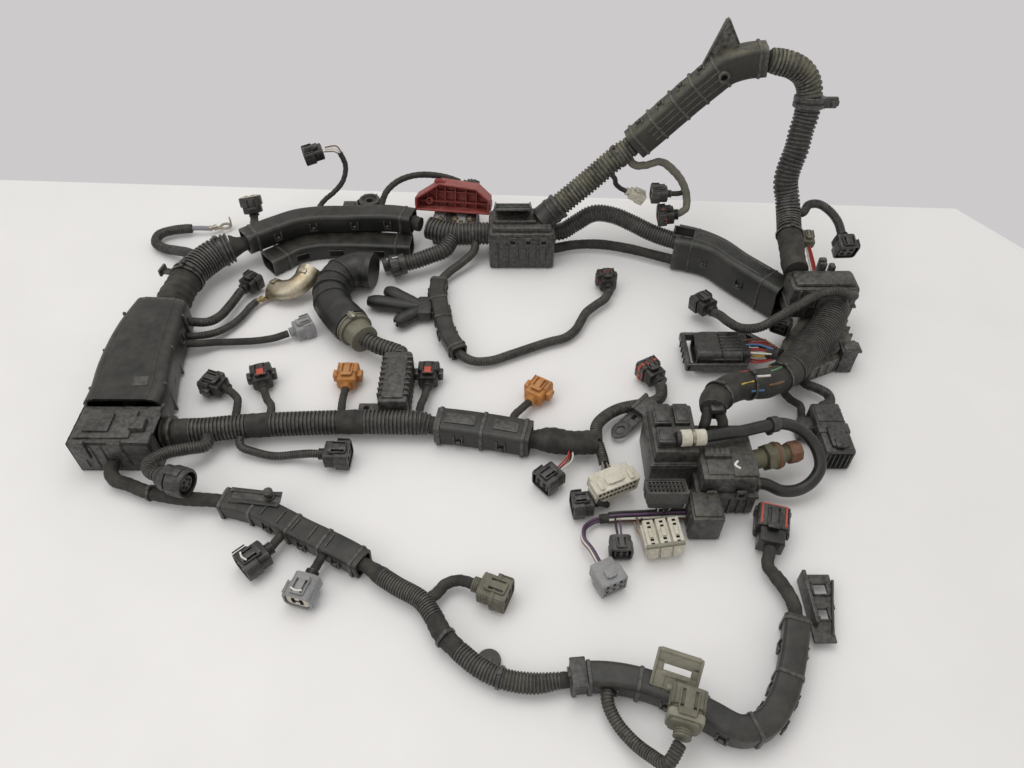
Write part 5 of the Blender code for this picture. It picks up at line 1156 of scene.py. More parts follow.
def build_shield():
    """The curled sheet shield: a rolled lip, a pressed rib down its middle and two crimped tabs."""
    p = Piece("steel_shield_sheet")
    line = smooth(SHIELD_ROUTE, 1.5)
    side, up = level_frames(line, (0, 0, 1))
    arc = np.radians(np.linspace(CURL_FROM, CURL_TO, 41))
    rib = 0.9 * np.exp(-(arc / 0.22) ** 2)
    lip = 0.8 * np.clip((np.abs(arc) - 1.22) / 0.17, 0, 1)
    reach = 15.0 + rib + lip
    skins = []
    for inset in (0.0, 1.2):
        y, z = (reach - inset) * np.sin(arc), (reach - inset) * np.cos(arc) - 8
        skins.append((y, z))
    y = np.concatenate([skins[0][0], skins[1][0][::-1]])
    z = np.concatenate([skins[0][1], skins[1][1][::-1]])
    rings = line[:, None, :3] + side[:, None] * y[None, :, None] + up[:, None] * z[None, :, None]
    p.rings(SHIELD, rings)
    for share in (0.12, 0.86):
        p.box(SHIELD, (6, 9, 1.4), (0, 0, 8.6), along(SHIELD_ROUTE, share), 0.5)
    p.done("steel_shield")


def cover_side(toward):
    """The place inside the corner cover's right wall where a lead starts."""
    return (toward[0] - 24, toward[1], toward[2])


def build_left_leads():
    """Three leads out of the corner cover, to a plug, a ring terminal and a light grey plug."""
    p = Piece("shield_plug_body")
    add_plug(p, (24, 22, 18), (-487, 258, 13), (0.5, 0.86, 0), PLUG, 10, ways=(2, 2))
    body = p.done(None)
    lead("shield_lead", "shield_plug", "conduit",
         [cover_side(SHIELD_LEAD[0]), *SHIELD_LEAD, (-488, 256, 13)], 10, finish=CONDUIT)
    p = Piece("ring_lead_terminal")
    add_ring_terminal(p, place((-469.8, 243.6, 7), (0.75, 0.66, 0)))
    ring = p.done(None)
    lead("ring_lead_conduit", "ring_lead", "conduit",
         [cover_side(RING_LEAD[0]), *RING_LEAD, (-469, 244.4, 7)], 8, CONDUIT)
    p = Piece("grey_plug_body")
    add_plug(p, (26, 22, 18), (-420, 189, 10), (0.86, 0.5, 0), GREY, 8, ways=(2, 1), pins=True)
    body = p.done(None)
    lead("grey_lead", "grey_plug", "tube", [cover_side(GREY_LEAD[0]), *GREY_LEAD, (-421.6, 188, 10)],
         8, finish=TAPE)


# Middle trunk

MID_TRUNK = [
    (-518.7, 44, 16, 9), (-506, 44, 16, 12), (-472, 47, 16, 12), (-440, 51, 16, 12), (-401, 54, 16, 12),
    (-360, 56, 16, 12), (-314, 57, 16, 12), (-280, 56, 16, 12), (-266, 55.5, 16, 12), (-257, 54.5, 14.5, 10),
]
MID_TRUNK_END = [(-157, 36.5, 14, 9), (-145, 34.5, 16, 12), (-122, 31, 16, 12), (-98, 32, 16, 12)]
MID_BUNDLE = [(-257, 54.5, 14, 9), (-230, 51, 12.5, 9), (-202, 46, 12.5, 9), (-176, 40.5, 12.5, 9),
              (-157, 36.5, 14, 9)]
MID_DUCT = [(-251, 54), (-230, 51), (-202, 46), (-176, 40.5), (-160, 37.1)]
INJECTOR_PLUG_SIZE = (30.0, 22.0, 17.0)
INJECTOR_PLUGS = {
    "injector_plug_1": ((-449, 78, 17), (-452, 88, 14), (-465, 104, 11.5), (-0.93, 0.36, 0), PLUG, None),
    "injector_plug_2": ((-416, 78, 17), (-422, 87, 14), (-430, 104, 11.5), (-0.3, 0.95, 0), PLUG, LOCK),
    "injector_plug_3": ((-346, 80, 17), (-347, 90, 14), (-347, 104, 11.5), (0, 1, 0), ORANGE, None),
    "injector_plug_4": ((-268, 78, 17), (-266, 90, 14), (-264, 106, 11.5), (0, 1, 0), PLUG, LOCK),
    "injector_plug_5": ((-175, 66, 16), (-169, 76, 13), (-161, 86, 11.5), (0.52, 0.85, 0), ORANGE, None),
}


def build_mid_trunk():
    """The ringed middle trunk with its tape bands, the duct on it and the five injector plugs."""
    p = Piece("mid_trunk_rings")
    line = smooth(MID_TRUNK, 2.0)
    cuts = [0, int(0.13 * len(line)), int(0.34 * len(line)), int(0.42 * len(line)), int(0.66 * len(line)),
            int(0.76 * len(line)), len(line)]
    styles = ["tape", "rings", "tape", "rings", "tape", "rings"]
    for start, end, style in zip(cuts, cuts[1:], styles):
        picks = np.unique(np.append(np.arange(max(0, start - 1), end - 1, 3), end - 1))
        stretch = [tuple(q) for q in line[picks]]
        if style == "rings":
            p.conduit(CONDUIT, stretch, 24)
        else:
            p.wrapped(TAPE, stretch, 24, relief=0.6)
    p.wrapped(TAPE, MID_BUNDLE, 18)
    p.wrapped(TAPE, MID_TRUNK_END, 24, relief=0.8, turn=8)
    p.done("mid_trunk")
    p = Piece("mid_duct_shell")
    route = level(MID_DUCT, 14, 30, 26)
    p.channel(DUCT, route, radius=5, lid=1.0)
    add_bands(p, DUCT, route, (0.05, 0.5, 0.95), (30, 26), 0.9, 4, 5)
    add_snaps(p, DUCT, route, (0.27, 0.73), 15, 12)
    p.box(DUCT, (30, 12, 1.6), (0, 0, 13.4), along(route, 0.28), 0.7)
    p.box(DUCT, (24, 12, 1.6), (0, 0, 13.4), along(route, 0.74), 0.7)
    p.done("mid_duct")
    for name, (tip, via, rear, heading, finish, lock) in INJECTOR_PLUGS.items():
        p = Piece(name + "_body")
        add_plug(p, INJECTOR_PLUG_SIZE, rear, heading, finish, 8, lock=lock, latch=0.5, ways=(2, 1))
        at = place(rear, heading)
        for side in (-1, 1):
            p.box(finish, (9, 5, 10), (19, side * 12.4, 0), at, 1.2)
            p.box(finish, (2.4, 3, 5), (24.4, side * 13.4, 0), at, 0.7)
        if lock:
            p.box(LOCK, (8, 7, 1.4), (15, 0, 11.2), at, 0.4)
        ahead = np.array(unit(np.array(heading, float)))
        trunk = MID_TRUNK if name != "injector_plug_5" else MID_BUNDLE
        route = [root(trunk, tip), tip, via, tuple(np.array(rear) + ahead * 2)]
        p.wrapped(TAPE, route, 8, sides=16, relief=0.3)
        p.done(name)


def build_mid_branches():
    """The square plug in front of the middle trunk, and the small plug on loose wires."""
    p = Piece("square_plug_body")
    add_plug(p, (30, 25, 20), (-360, 20, 13), (0.99, -0.04, 0), PLUG, 8, ways=(2, 1), latch=0.5)
    body = p.done(None)
    tip = (-437, 32, 10)
    lead("square_plug_lead", "square_plug", "conduit",
         [root(MID_TRUNK, tip), tip, (-422, 26, 8), (-403, 22, 7), (-384, 23, 8), (-367, 20.4, 13),
          (-358, 20, 13)],
         8, finish=CONDUIT)
    p = Piece("branch_plug_1_body")
    add_plug(p, (28, 24, 18), (-131, 4, 12), (-0.75, -0.66, 0), PLUG, 8, ways=(2, 2), bare=True)
    add_wires(p, ["red", "white", "black", "red"], (-122, 24, 15), (-134, 1.5, 12), 8, via=(-124, 12, 14))
    p.done("branch_plug_1")


COIL_LEAD = [(-96, 52, 16), (-86, 66, 14), (-72, 76, 13), (-54, 81, 13), (-40, 84, 13), (-29, 92, 13)]
SPARE_LEAD = [(-91, 2, 16), (-98, -10, 9), (-99, -22, 5), (-92, -32, 5)]


def build_coil_plug():
    """The plug at the trunk's end and the flat lug on its strap."""
    p = Piece("coil_plug_body")
    add_plug(p, (30, 23, 20), (-26, 110, 14), (-0.5, 0.87, 0), PLUG, 12, lock=LOCK, seal=PLUG, ways=(2, 1))
    at = place((-26, 110, 14), (-0.5, 0.87, 0))
    p.loft(LOCK, [(22, 11.9, 10.4, 3), (25, 11.9, 10.4, 3)], at)
    body = p.done(None)
    lead("coil_lead", "coil_plug", "conduit", [root(MID_TRUNK_END, COIL_LEAD[0]), *COIL_LEAD,
                                               (-26.6, 107, 14)], 12,
         finish=LEAD_CONDUIT)
    p = Piece("lug_strap")
    at = place((-45, 80, 9.5), (-0.71, -0.70, -0.09))
    strap = [(-6, -8), (6, -9), (34, -8), (30, 0), (34, 8), (6, 9), (-6, 8)]
    slab(p, DUCT, strap, 0, 3, 0.7, at)
    turn = np.linspace(0, 2 * math.pi, 36, endpoint=False)
    eye = [(1, 0), (0, 0.6), (0, 3), (0.25, 3.6), (0.7, 3.6), (1, 3), (1, 0)]
    rings = []
    for share, z in eye:
        across, up = 11 - 6 * share, 8.2 - 4.7 * share
        rings.append(np.column_stack([38 + across * np.cos(turn), up * np.sin(turn), np.full(36, z)]))
    p.rings(DUCT, rings, at, caps=(False, False))
    p.box(DUCT, (22, 15, 8), (3, 1, 6), at, 1.4)
    p.box(DUCT, (24, 4, 3), (3, -6, 9.4), at, 0.9)
    for side in (-1, 1):
        p.box(DUCT, (30, 1.4, 1.6), (14, 6.6 * side, 3.4), at, 0.5)
    # painted shade: a dark patch for the slot in the lug
    p.box(PAINTED_SHADE, (6, 4, 0.8), (18, 0, 2.9), at, 0.2)
    p.done("coil_plug")


def build_white_multi_plug():
    """The broad white plug on its short conduit, and the small black plug on a spare lead."""
    p = Piece("white_multi_plug_body")
    rear, heading = (-93, -9, 23), (0.42, -0.9, -0.1)
    add_block_plug(p, (22, 44, 19), rear, heading, WHITE, (10, 2))
    at = place(rear, heading)
    for dy in (-15, 15):
        p.box(WHITE, (10, 4, 3), (15, dy, 10), at, 0.6)
    p.box(BEIGE, (3, 40, 15), (8.6, 0, 0), at, 0.6)
    p.conduit(CONDUIT, [(-96, 30, 15), (-93, 14, 14), (-92.4, 6, 15)], 10, sides=18)
    add_wires(p, ["white", "tan", "white", "grey", "brown", "white"], (-92.4, 8, 15), (-92, -10, 22), 10,
              via=(-92, 0, 17))
    p.wrapped(TAPE, SPARE_LEAD, 6, sides=14, relief=0.25)
    add_plug(p, (24, 22, 18), (-101, -34, 12), (-0.99, -0.14, 0), PLUG, 6, ways=(2, 2))
    p.tube(TAPE, [(-92, -32, 5), (-96, -33.4, 9), (-102, -34.2, 12)], 6, 1.5)
    p.done("white_multi_plug")


# Front side

FRONT_TRUNK = [
    (-549, 9.1, 13, 6.5), (-549, 1, 12.5, 6.5), (-543, -8, 11, 6.5), (-529, -13, 10, 6.5),
    (-510, -21, 10, 6.5), (-485, -27, 10, 6.5), (-462, -30, 11, 6.5), (-444, -32, 12, 6.5),
    (-421, -37, 12, 6.5), (-400, -44, 12, 6.5), (-377, -56, 12, 6.5), (-359, -66, 12, 6.5),
    (-341, -75, 12, 6.5), (-320, -86, 12, 6.5), (-297, -100, 12, 6.5), (-286, -108, 12, 8),
    (-274, -116, 12, 8), (-250, -131, 12, 8), (-240, -145, 12, 8), (-233, -158, 12, 8), (-219, -172, 11, 8),
    (-204, -184, 10.5, 8), (-186, -193, 10.5, 8), (-160, -197, 10.5, 8), (-141, -195, 11, 6.5),
    (-120, -193, 12, 5.0), (-89, -196, 12, 5.0), (-60, -206, 12, 5.0), (-32, -223, 12, 5.0),
    (-12, -233, 12, 5.0), (6, -228, 12, 5.0), (22, -210, 12, 5.0), (36, -182, 12, 5.0), (46, -155, 12, 5.0),
    (50, -134, 12, 6.0), (47, -119, 11, 6.0), (41, -106, 11, 6.0),
]
FRONT_DUCT = [
    (-436, -33.5), (-421, -37), (-400, -44), (-377, -56), (-359, -66), (-341, -75), (-320, -86),
    (-303, -96),
]
PAIR_PLUGS = {
    "black": ((-376, -68, 13), (-383, -80, 12.5), (-0.72, -0.69, 0), PLUG),
    "grey": ((-342, -92, 13), (-344, -103, 12.5), (-0.28, -0.96, 0), GREY),
}
END_DUCT = [
    (-134, -194.2), (-112, -193), (-89, -196), (-60, -206), (-32, -223), (-12, -233), (6, -228),
    (22, -210), (36, -182), (45, -157), (48, -147),
]


def build_front_trunk():
    """The long trunk along the front: taped, then ringed and dusty, then taped again in the end duct."""
    p = Piece("front_trunk_tape")
    taped, ringed, last = FRONT_TRUNK[:16], FRONT_TRUNK[15:25], FRONT_TRUNK[24:]
    p.wrapped(TAPE, taped, 13, turn=8, relief=0.5, lumps=0.04)
    p.conduit(LEAD_CONDUIT, ringed[:4], 16)
    p.wrapped(TAPE, ringed[3:6], 16, turn=7, relief=0.7, lumps=0.05)
    p.conduit(LEAD_CONDUIT, ringed[5:], 16, pitch=2.6)
    p.wrapped(TAPE, last, 10, turn=8, relief=0.4)
    obj = p.done("front_trunk")
    p = Piece("front_trunk_clips")
    for share, width in ((0.08, 13.4), (0.49, 16.8), (0.56, 16.8), (0.63, 16.8)):
        add_tie(p, along(centre_line(FRONT_TRUNK), share), width)
    p.lathe(DUCT, [(0, 8), (0.5, 9.2), (1.6, 9.5), (3.6, 9.5), (4.6, 8.8), (5, 7)],
            place((-196, -176, 0.2), (0, 0, 1)), 30)
    p.lathe(DUCT, [(0, 3), (1.2, 3), (1.6, 2.4)], place((-196, -176, 5), (0, 0, 1)), 18)
    p.lathe(DUCT, [(0, 4), (8.6, 4), (9, 3.4)], place((-201, -179, 0.6), (0, 0, 1)), 18)
    clips = p.done(None)
    path = smooth(centre_line(FRONT_TRUNK), 3) * MM


def build_front_duct():
    """The flat duct with its rail, knob and snaps, and the pair of round plugs under white paint strokes."""
    p = Piece("front_duct_shell")
    route = level(FRONT_DUCT, 10.7, 22, 21)
    p.channel(DUCT, route, radius=4, lid=0.9)
    add_bands(p, DUCT, route, (0.02, 0.22, 0.5, 0.74, 0.97), (22, 21), 0.7, 3.4, 4)
    add_snaps(p, DUCT, route, (0.36, 0.62, 0.86), 11, 9)
    rail = [(-428, -27), (-405, -30), (-383, -33)]
    for shift, height in ((0, 2.0), (-11, 1.6)):
        p.ribbon(DUCT, [(x, y + shift, 22.4) for x, y in rail], 4.4, height)
    p.box(DUCT, (44, 12, 1.6), (-404, -35.5, 21.6), place((0, 0, 0), (1, 0, 0)), 0.6)
    p.lathe(DUCT, [(0, 4.5), (4, 4.5), (4.4, 3.2), (7, 3.2), (7.4, 4.4), (11, 4.2), (12, 3)],
            place((-392, -36, 21), (0, 0, 1)), 22)
    for k in range(5):
        p.box(DUCT, (1.6, 14, 1.4), (0, 0, 11), along(route, 0.3 + 0.12 * k), 0.4)
    for tip, rear, heading, finish in PAIR_PLUGS.values():
        at = place(rear, heading)
        add_collar(p, PLUG, at, 5.8, 7)
        p.loft(finish, [(6, 9, 7, 4), (6.8, 11.4, 8.4, 5), (16, 11.4, 8.4, 5), (16.6, 12.4, 9.2, 6),
                        (17.2, 13, 9.5, 6), (29.4, 13, 9.5, 6), (30, 12.4, 8.9, 5.6), (30, 11, 7.6, 5),
                        (25, 11, 7.6, 5)], at, 6)
        p.loft(WHITE, [(24, 10, 6.6, 4.5), (28.4, 10, 6.6, 4.5), (28.8, 9.6, 6.2, 4)], at, 6)
        for side in (-1, 1):
            # painted shade: dark patches for the openings in the plug's face
            p.box(PAINTED_SHADE, (1.2, 3.0, 7.6), (28.6, 3.6 * side, 0), at, 0.3)
            p.box(finish, (12, 1.6, 5), (22, side * 13, 0), at, 0.6)
        # painted shade: a dark slot across the plug's face
        p.box(PAINTED_SHADE, (1.0, 11, 1.6), (28.7, 0, 0), at, 0.2)
        add_latch(p, finish, at, (30, 26, 19), 0.42)
        p.tube(PAINT, [tuple(at @ Vector(q)) for q in ((24, -6, 11.8), (25.5, -1, 12.4), (24, 4, 11.8))],
               1.6, 1.5, 8)
        start = np.array(root([(x, y, 13) for x, y in FRONT_DUCT], tip))
        end = np.array(at @ Vector((2, 0, 0)))
        p.wrapped(TAPE, [tuple(start), tuple((start + end) / 2), tuple(end)], 8, sides=16, relief=0.3)
    p.done("front_duct")


def build_end_duct():
    """The duct at the front's right end, its slotted bracket on a stem, and its row of side ribs."""
    p = Piece("end_duct_shell")
    route = level(END_DUCT, 11.5, 20, 22)
    p.channel(DUCT, route, radius=4, lid=0.9)
    add_bands(p, DUCT, route, (0.01, 0.06, 0.22, 0.42, 0.58, 0.8, 0.99), (20, 22), 0.8, 3.4, 4)
    add_snaps(p, DUCT, route, (0.14, 0.32, 0.5, 0.66, 0.74, 0.9), 10, 9)
    p.box(DUCT, (12, 24, 3), (0, 0, 11), along(route, 0.03), 0.8)
    at = place((-57, -198, 33), (1, -0.35, 0), -42)
    p.box(BEIGE, (34, 3, 11), (0, 0, 9.5), at, 1.2)
    p.box(BEIGE, (34, 3, 14), (0, 0, -8), at, 1.2)
    for side in (-1, 1):
        p.box(BEIGE, (7, 3, 10), (side * 13.5, 0, 3), at, 1.0)
        p.box(BEIGE, (2.2, 5, 28), (side * 16, 0, 0), at, 0.8)
    p.box(BEIGE, (30, 5, 2.2), (0, 0, 14), at, 0.8)
    p.box(BEIGE, (16, 2, 1.4), (0, -2, -3), at, 0.5)
    for k in range(3):
        p.box(BEIGE, (1.6, 4.4, 10), (-8 + 8 * k, 0, -9), at, 0.5)
    p.box(BEIGE, (18, 10, 10), (-56, -203, 22), edge=2)
    p.done("end_duct")


def build_end_plate():
    """The plate at the end: two rectangular holes with raised lips, a rim and a rubbed corner."""
    p = Piece("end_plate_shell")
    low, high = 6.0, 9.0
    plate = [
        ((65, 87.4), (-112.6, -104)), ((64, 70.4), (-123, -112)), ((81.6, 86.4), (-123, -112)),
        ((63.6, 84.4), (-135.4, -122.6)), ((63, 69), (-145, -135)), ((77, 80.6), (-145, -135)),
        ((60, 78), (-164, -144.6)),
    ]
    for x, y in plate:
        p.block(DUCT, x, y, (low, high), 0.9)
    for (x, y), (w, d) in (((76, -118), (11, 9)), ((73, -140), (8, 9))):
        for side in (-1, 1):
            p.block(DUCT, (x + side * (w / 2 + 0.8) - 0.8, x + side * (w / 2 + 0.8) + 0.8),
                    (y - d / 2 - 1.6, y + d / 2 + 1.6), (low + 1, high + 1.2), 0.4)
            p.block(DUCT, (x - w / 2 - 1.6, x + w / 2 + 1.6),
                    (y + side * (d / 2 + 0.8) - 0.8, y + side * (d / 2 + 0.8) + 0.8),
                    (low + 1, high + 1.2), 0.4)
    p.block(DUCT, (62.2, 65.4), (-151, -104.5), (0.1, 18), 0.9)
    p.row(DUCT, 4, (0, 12), (65, 68), (-146, -144.4), (1, 15), 0.5)
    p.ribbon(DUCT, [(88.6, -110, 8.4), (84, -126, 8.4), (79, -146, 8.4), (76, -158, 8.4)], 2.2, 4)
    p.done("end_plate")


RISER = [(-467, 26, 18), (-480, 19, 22), (-498, 9, 27), (-506, -6, 31)]
OLIVE_LEAD = [(-239, -122, 11), (-233, -114, 10), (-223, -111, 11)]
BEIGE_LEAD = [(-107, -211, 11), (-102, -224, 9), (-92, -238, 10), (-81, -250, 16), (-71, -259, 27)]


def build_barrel_plug():
    """The round plug with grip ribs, on the conduit that rises from the middle trunk."""
    p = Piece("barrel_plug_body")
    rear, heading = (-492, -19, 32), (0.95, -0.31, 0)
    at = place(rear, heading)
    p.lathe(PLUG, [(0, 7), (0.6, 9), (5, 9.6), (6, 11.6), (7, 12.2), (12, 12.2), (12.4, 11),
                   (14, 11), (14.4, 13), (15, 13.5), (28.6, 13.5), (30, 12.6), (30, 10.8), (22, 10.8),
                   (22, 1)], at, 36)
    p.lathe(PLUG, [(20, 7.6), (28, 7.6), (28.6, 7)], at, 30)
    for k in range(6):
        angle = math.radians(60 * k)
        # painted shade: dark patches for the terminal openings
        p.box(PAINTED_SHADE, (1, 2.6, 2.6), (28.4, 4.4 * math.cos(angle), 4.4 * math.sin(angle)), at, 0.3)
    for k in range(14):
        p.box(PLUG, (10, 1.8, 1.0), (21, 0, 13.5),
              at @ Matrix.Rotation(math.radians(360 / 14 * k), 4, "X"), 0.4)
    p.box(PLUG, (16, 8, 3), (18, 0, 13.4), at, 0.8)
    p.conduit(CONDUIT, [root(MID_TRUNK, RISER[0]), *RISER, (-500, -16, 32), (-490, -19.8, 32)], 12, sides=18)
    p.done("barrel_plug")


def build_olive_plug():
    """The olive plug with its raised band, beside the front trunk."""
    p = Piece("olive_plug_body")
    add_plug(p, (32, 25, 20), (-210, -115, 13), (0.93, -0.37, 0), OLIVE, 10, ways=(2, 1), latch=0.45,
             insert=DARK_GREY)
    at = place((-210, -115, 13), (0.93, -0.37, 0))
    p.loft(OLIVE, [(18.8, 12.4, 10.0, 3.4), (19.2, 13.0, 10.6, 3.4), (22, 13.0, 10.6, 3.4),
                   (22.4, 12.4, 10.0, 3.4)], at)
    trunk = centre_line(FRONT_TRUNK)
    p.wrapped(TAPE, [root(trunk, OLIVE_LEAD[0]), *OLIVE_LEAD, (-208, -115.8, 13)], 10, sides=18, relief=0.4)
    p.done("olive_plug")


def build_beige_plug():
    """The plug with a beige band, on the lead under the slotted bracket."""
    p = Piece("beige_plug_body")
    rear, heading = (-61, -246, 36), (0.3, 0.95, 0)
    add_plug(p, (34, 25, 22), rear, heading, OLIVE, 10, ways=(2, 2), latch=0.5)
    at = place(rear, heading)
    p.loft(BEIGE, [(10, 12.4, 10.9, 3), (11, 12.9, 11.4, 3), (15, 12.9, 11.4, 3), (16, 12.4, 10.9, 3)], at)
    body = p.done(None)
    lead("beige_lead", "beige_plug", "conduit",
         [root([(x, y, 11) for x, y in END_DUCT], BEIGE_LEAD[0]), *BEIGE_LEAD, (-62.4, -249, 36)], 10)


def build_open_plug():
    """The big plug with an orange-red lock, on the end of the front trunk."""
    p = Piece("open_plug_body")
    rear, heading = (41, -84, 14), (0.27, 0.96, 0)
    at = place(rear, heading)
    p.loft(PLUG, [(2, 8, 7, 2), (3, 11, 9, 2), (17, 11, 9, 2), (17, 13.4, 10.4, 3), (18, 14, 11, 3),
                  (39.4, 14, 11, 3), (40, 13.4, 10.4, 3), (40, 12, 9, 2), (30, 12, 9, 2), (30, 1, 1, 0.3)],
                  at)
    p.box(PLUG, (12, 20, 14), (33, 0, 0), at, 1.0)
    for k in range(5):
        y = -8 + 4 * k
        p.box(LOCK if k % 2 == 0 else WHITE, (13.4, 1.9, 15), (33, y, 0), at, 0.4)
    p.box(LOCK, (5, 29, 5), (21, 0, 0), at, 1.0)
    p.box(LOCK, (2, 23, 2.4), (40, 0, 9.6), at, 0.6)
    for side in (-1, 1):
        p.box(LOCK, (21, 1.8, 1.6), (29, side * 10.2, 11.0), at, 0.5)
        p.box(PLUG, (24, 2.4, 6), (27, side * 14, 0), at, 0.8)
        p.box(PLUG, (5, 4, 12), (37, side * 13.4, 0), at, 0.8)
    add_latch(p, PLUG, at, (40, 28, 22), 0.36)
    p.wrapped(TAPE, [(47, -119, 11), (41, -106, 11), (37.5, -98, 10.5), (41, -84, 14), (42, -80, 14)],
              11, sides=20, relief=0.5)
    p.done("open_plug")


# Relay box

HOSE_Z = 61.8
VENT_HOSE = [
    (-9, 1, HOSE_Z), (10, 6, 60), (29, 11, 58), (48, 17, 57), (70, 24, 52), (89, 23, 42), (100, 10, 34),
    (102, -4, 26), (93, -16, 18), (80, -22, 14), (66, -23, 14), (50, -19, 19), (38.4, -18.5, 20),
]


def build_relay_box():
    """The relay box: stepped lid, side boxes, relays, latches, ribs and the plated pipe fitting."""
    p = Piece("relay_box_shell")
    p.block(BOX, (-14, 38), (-38, 21), (0, 28), 2)
    p.block(BOX, (-15.4, 39), (-39, 21.6), (23, 27), 1)
    p.block(BOX, (-13, 36.5), (-35.5, 20), (26, 48.6), 3.4)
    p.block(BOX, (-8, 31), (-31, 2), (47, 50), 1.6)
    p.block(BOX, (-14, 37), (19, 33), (0, 40), 1.4)
    p.row(BOX, 5, (10, 0), (-9, -6), (32, 34), (4, 37), 0.7)
    p.block(BOX, (-54, -12), (-12, 48), (0, 39.4), 2)
    p.block(BOX, (-55, -11.6), (-13, 49), (33, 38), 1)
    p.block(BOX, (-52, -12.5), (-10, 46), (38, 54), 2.4)
    p.block(BOX, (-24, 4), (-66, -36), (0, 32), 2.4)
    p.block(BOX, (-22, 2), (-63, -38), (31, 34), 1.4)
    for start in (-61, -53, -45):
        p.block(BOX, (-25, -23), (start, start + 4), (4, 28), 0.8)
        p.block(BOX, (3.4, 5.2), (start, start + 4), (4, 28), 0.8)
    for (x, y, size, top) in ((-50, 18, (16, 24), 61), (-31, 20, (14, 24), 59), (-50, -6, (16, 18), 64)):
        p.block(PLUG, (x, x + size[0]), (y, y + size[1]), (53, top - 1), 1.4)
        p.block(PLUG, (x + 1.6, x + size[0] - 1.6), (y + 2, y + size[1] - 2), (top - 2, top), 0.8)
    p.block(BOX, (-9, 14), (-14, -4), (49, 54), 1.2)
    p.row(DARK_GREY, 5, (4.4, 0), (-8, -5), (-13, -5), (53, 54.6), 0.5)
    p.row(BOX, 6, (8, 0), (-10, -8), (-39.6, -37), (2, 22), 0.7)
    for y in (-28, 6):
        p.box(BOX, (3, 9, 12), (38.8, y, 30), edge=1)
        # painted shade: a dark patch for the latch's window
        p.box(PAINTED_SHADE, (3.4, 5, 4), (38.9, y, 31), edge=0.5)
    for x in (-4, 22):
        p.box(BOX, (9, 3, 12), (x, -38.8, 30), edge=1)
        # painted shade: a dark patch for the latch's window
        p.box(PAINTED_SHADE, (5, 3.4, 4), (x, -38.9, 31), edge=0.5)
    p.block(BOX, (14, 36), (-33, -6), (48, 51), 1.4)
    p.tube(PAINT, [(20, -26, 51.5), (16, -22, 51.5), (19, -18, 51.5)], 2.2, 1.2, 8)
    at = place((36, 0, 28), (0.96, 0.25, -0.03))
    p.lathe(PLATED, [(0, 9), (15, 9), (15.5, 10)], at, 30)
    p.lathe(PLATED, [(16, 11), (17, 13), (24, 13), (25, 11.6)], at, 6)
    p.lathe(PLATED, [(24, 11.4), (25, 12), (32, 12), (34, 9), (34, 8), (40, 8)], at, 30)
    p.lathe(RUST, [(39.6, 8), (40, 10), (42, 10.5), (50, 10.5), (52, 9.4), (52, 6.5), (46, 6.5)], at, 8)
    # painted shade: a dark disc for the bore of the pipe's end
    p.lathe(PAINTED_SHADE, [(46, 6.2), (46.4, 6.2)], at, 20)
    p.lathe(RUST, [(26.4, 12.2), (27, 12.9), (29, 12.9), (29.6, 12.2)], at, 30)
    p.done("relay_box")


def build_vent_hose():
    """The hose looped round the relay box, with its white ferrule and its clip."""
    p = Piece("vent_hose_ferrule")
    at = place((-19, 0, HOSE_Z), (1, 0.06, 0))
    p.lathe(WHITE, [(-11, 5.6), (-11, 6.9), (-10.4, 7.5), (-2, 7.5), (-1.6, 6.7), (1.2, 6.7),
                    (1.6, 7.3), (10.4, 7.3), (11, 6.7), (11, 5.6)], at, 30)
    p.lathe(PIN, [(-1.4, 6.8), (-1.2, 7.4), (0.9, 7.4), (1.1, 6.8)], at, 30)
    p.lathe(RUBBER, [(-15, 5), (-14.6, 6.2), (-11, 6.2)], at, 26)
    ferrule = p.done(None)
    p = Piece("vent_hose_clip")
    p.lathe(PLUG, [(-4, 5.4), (-4, 7), (-3.2, 7.4), (3.2, 7.4), (4, 7), (4, 5.4)],
            along(VENT_HOSE, 0.33), 26)
    p.box(PLUG, (6, 6, 8), (0, 0, -8), along(VENT_HOSE, 0.33), 1)
    clip = p.done(None)
    p = Piece("vent_hose_rubber")
    p.tube(RUBBER, VENT_HOSE, 11, 2.5, 24)
    hose = p.done("vent_hose")
    path = smooth(VENT_HOSE, 2) * MM


# Bulkhead cover

ARM = [
    (17, 326, 22.5, 40, 44), (37, 319, 22.5, 38, 44), (58, 306, 22.5, 34, 44), (80, 278, 22.5, 32, 44),
    (104, 250, 22.5, 32, 44), (122, 229, 22.5, 32, 44),
]
FAT_TUBE = [
    (162, 203, 44, 16.5), (162, 191, 43.8, 16.5), (157, 179, 42, 16.5), (149, 166, 40, 16.5),
    (133, 145, 38, 16.5), (111, 120, 38, 16.5), (96, 103, 40.5, 16.5),
]
NET_BUNDLE = [
    (96, 103, 40.5, 15.5), (92, 99, 41, 15), (79, 88, 43.5, 14), (65, 80, 46, 14), (44, 74, 50, 14),
    (22, 62, 54, 14), (9, 48, 56, 13.5), (6, 37, 57, 12),
]
NET_TAILS = [[(2, 42, 56), (0, 32, 53), (-2, 26.6, 47), (-2, 26.6, 40)],
             [(9, 42, 56), (13, 32, 53), (15, 26.6, 47), (15, 26.6, 40)]]
SPEED_LEAD = [
    (180, 199, 60), (180, 193, 60), (172, 187, 66), (160, 187, 70), (144, 187, 68), (117, 173, 64),
    (93, 160, 58), (76, 155, 50), (61, 164, 40), (51, 181, 34), (46, 198, 28), (43, 208, 22.4),
]
PLATE_OUTLINE = [(84, 112), (92, 107), (182, 149), (188, 226), (146, 226), (136, 200), (110, 168)]


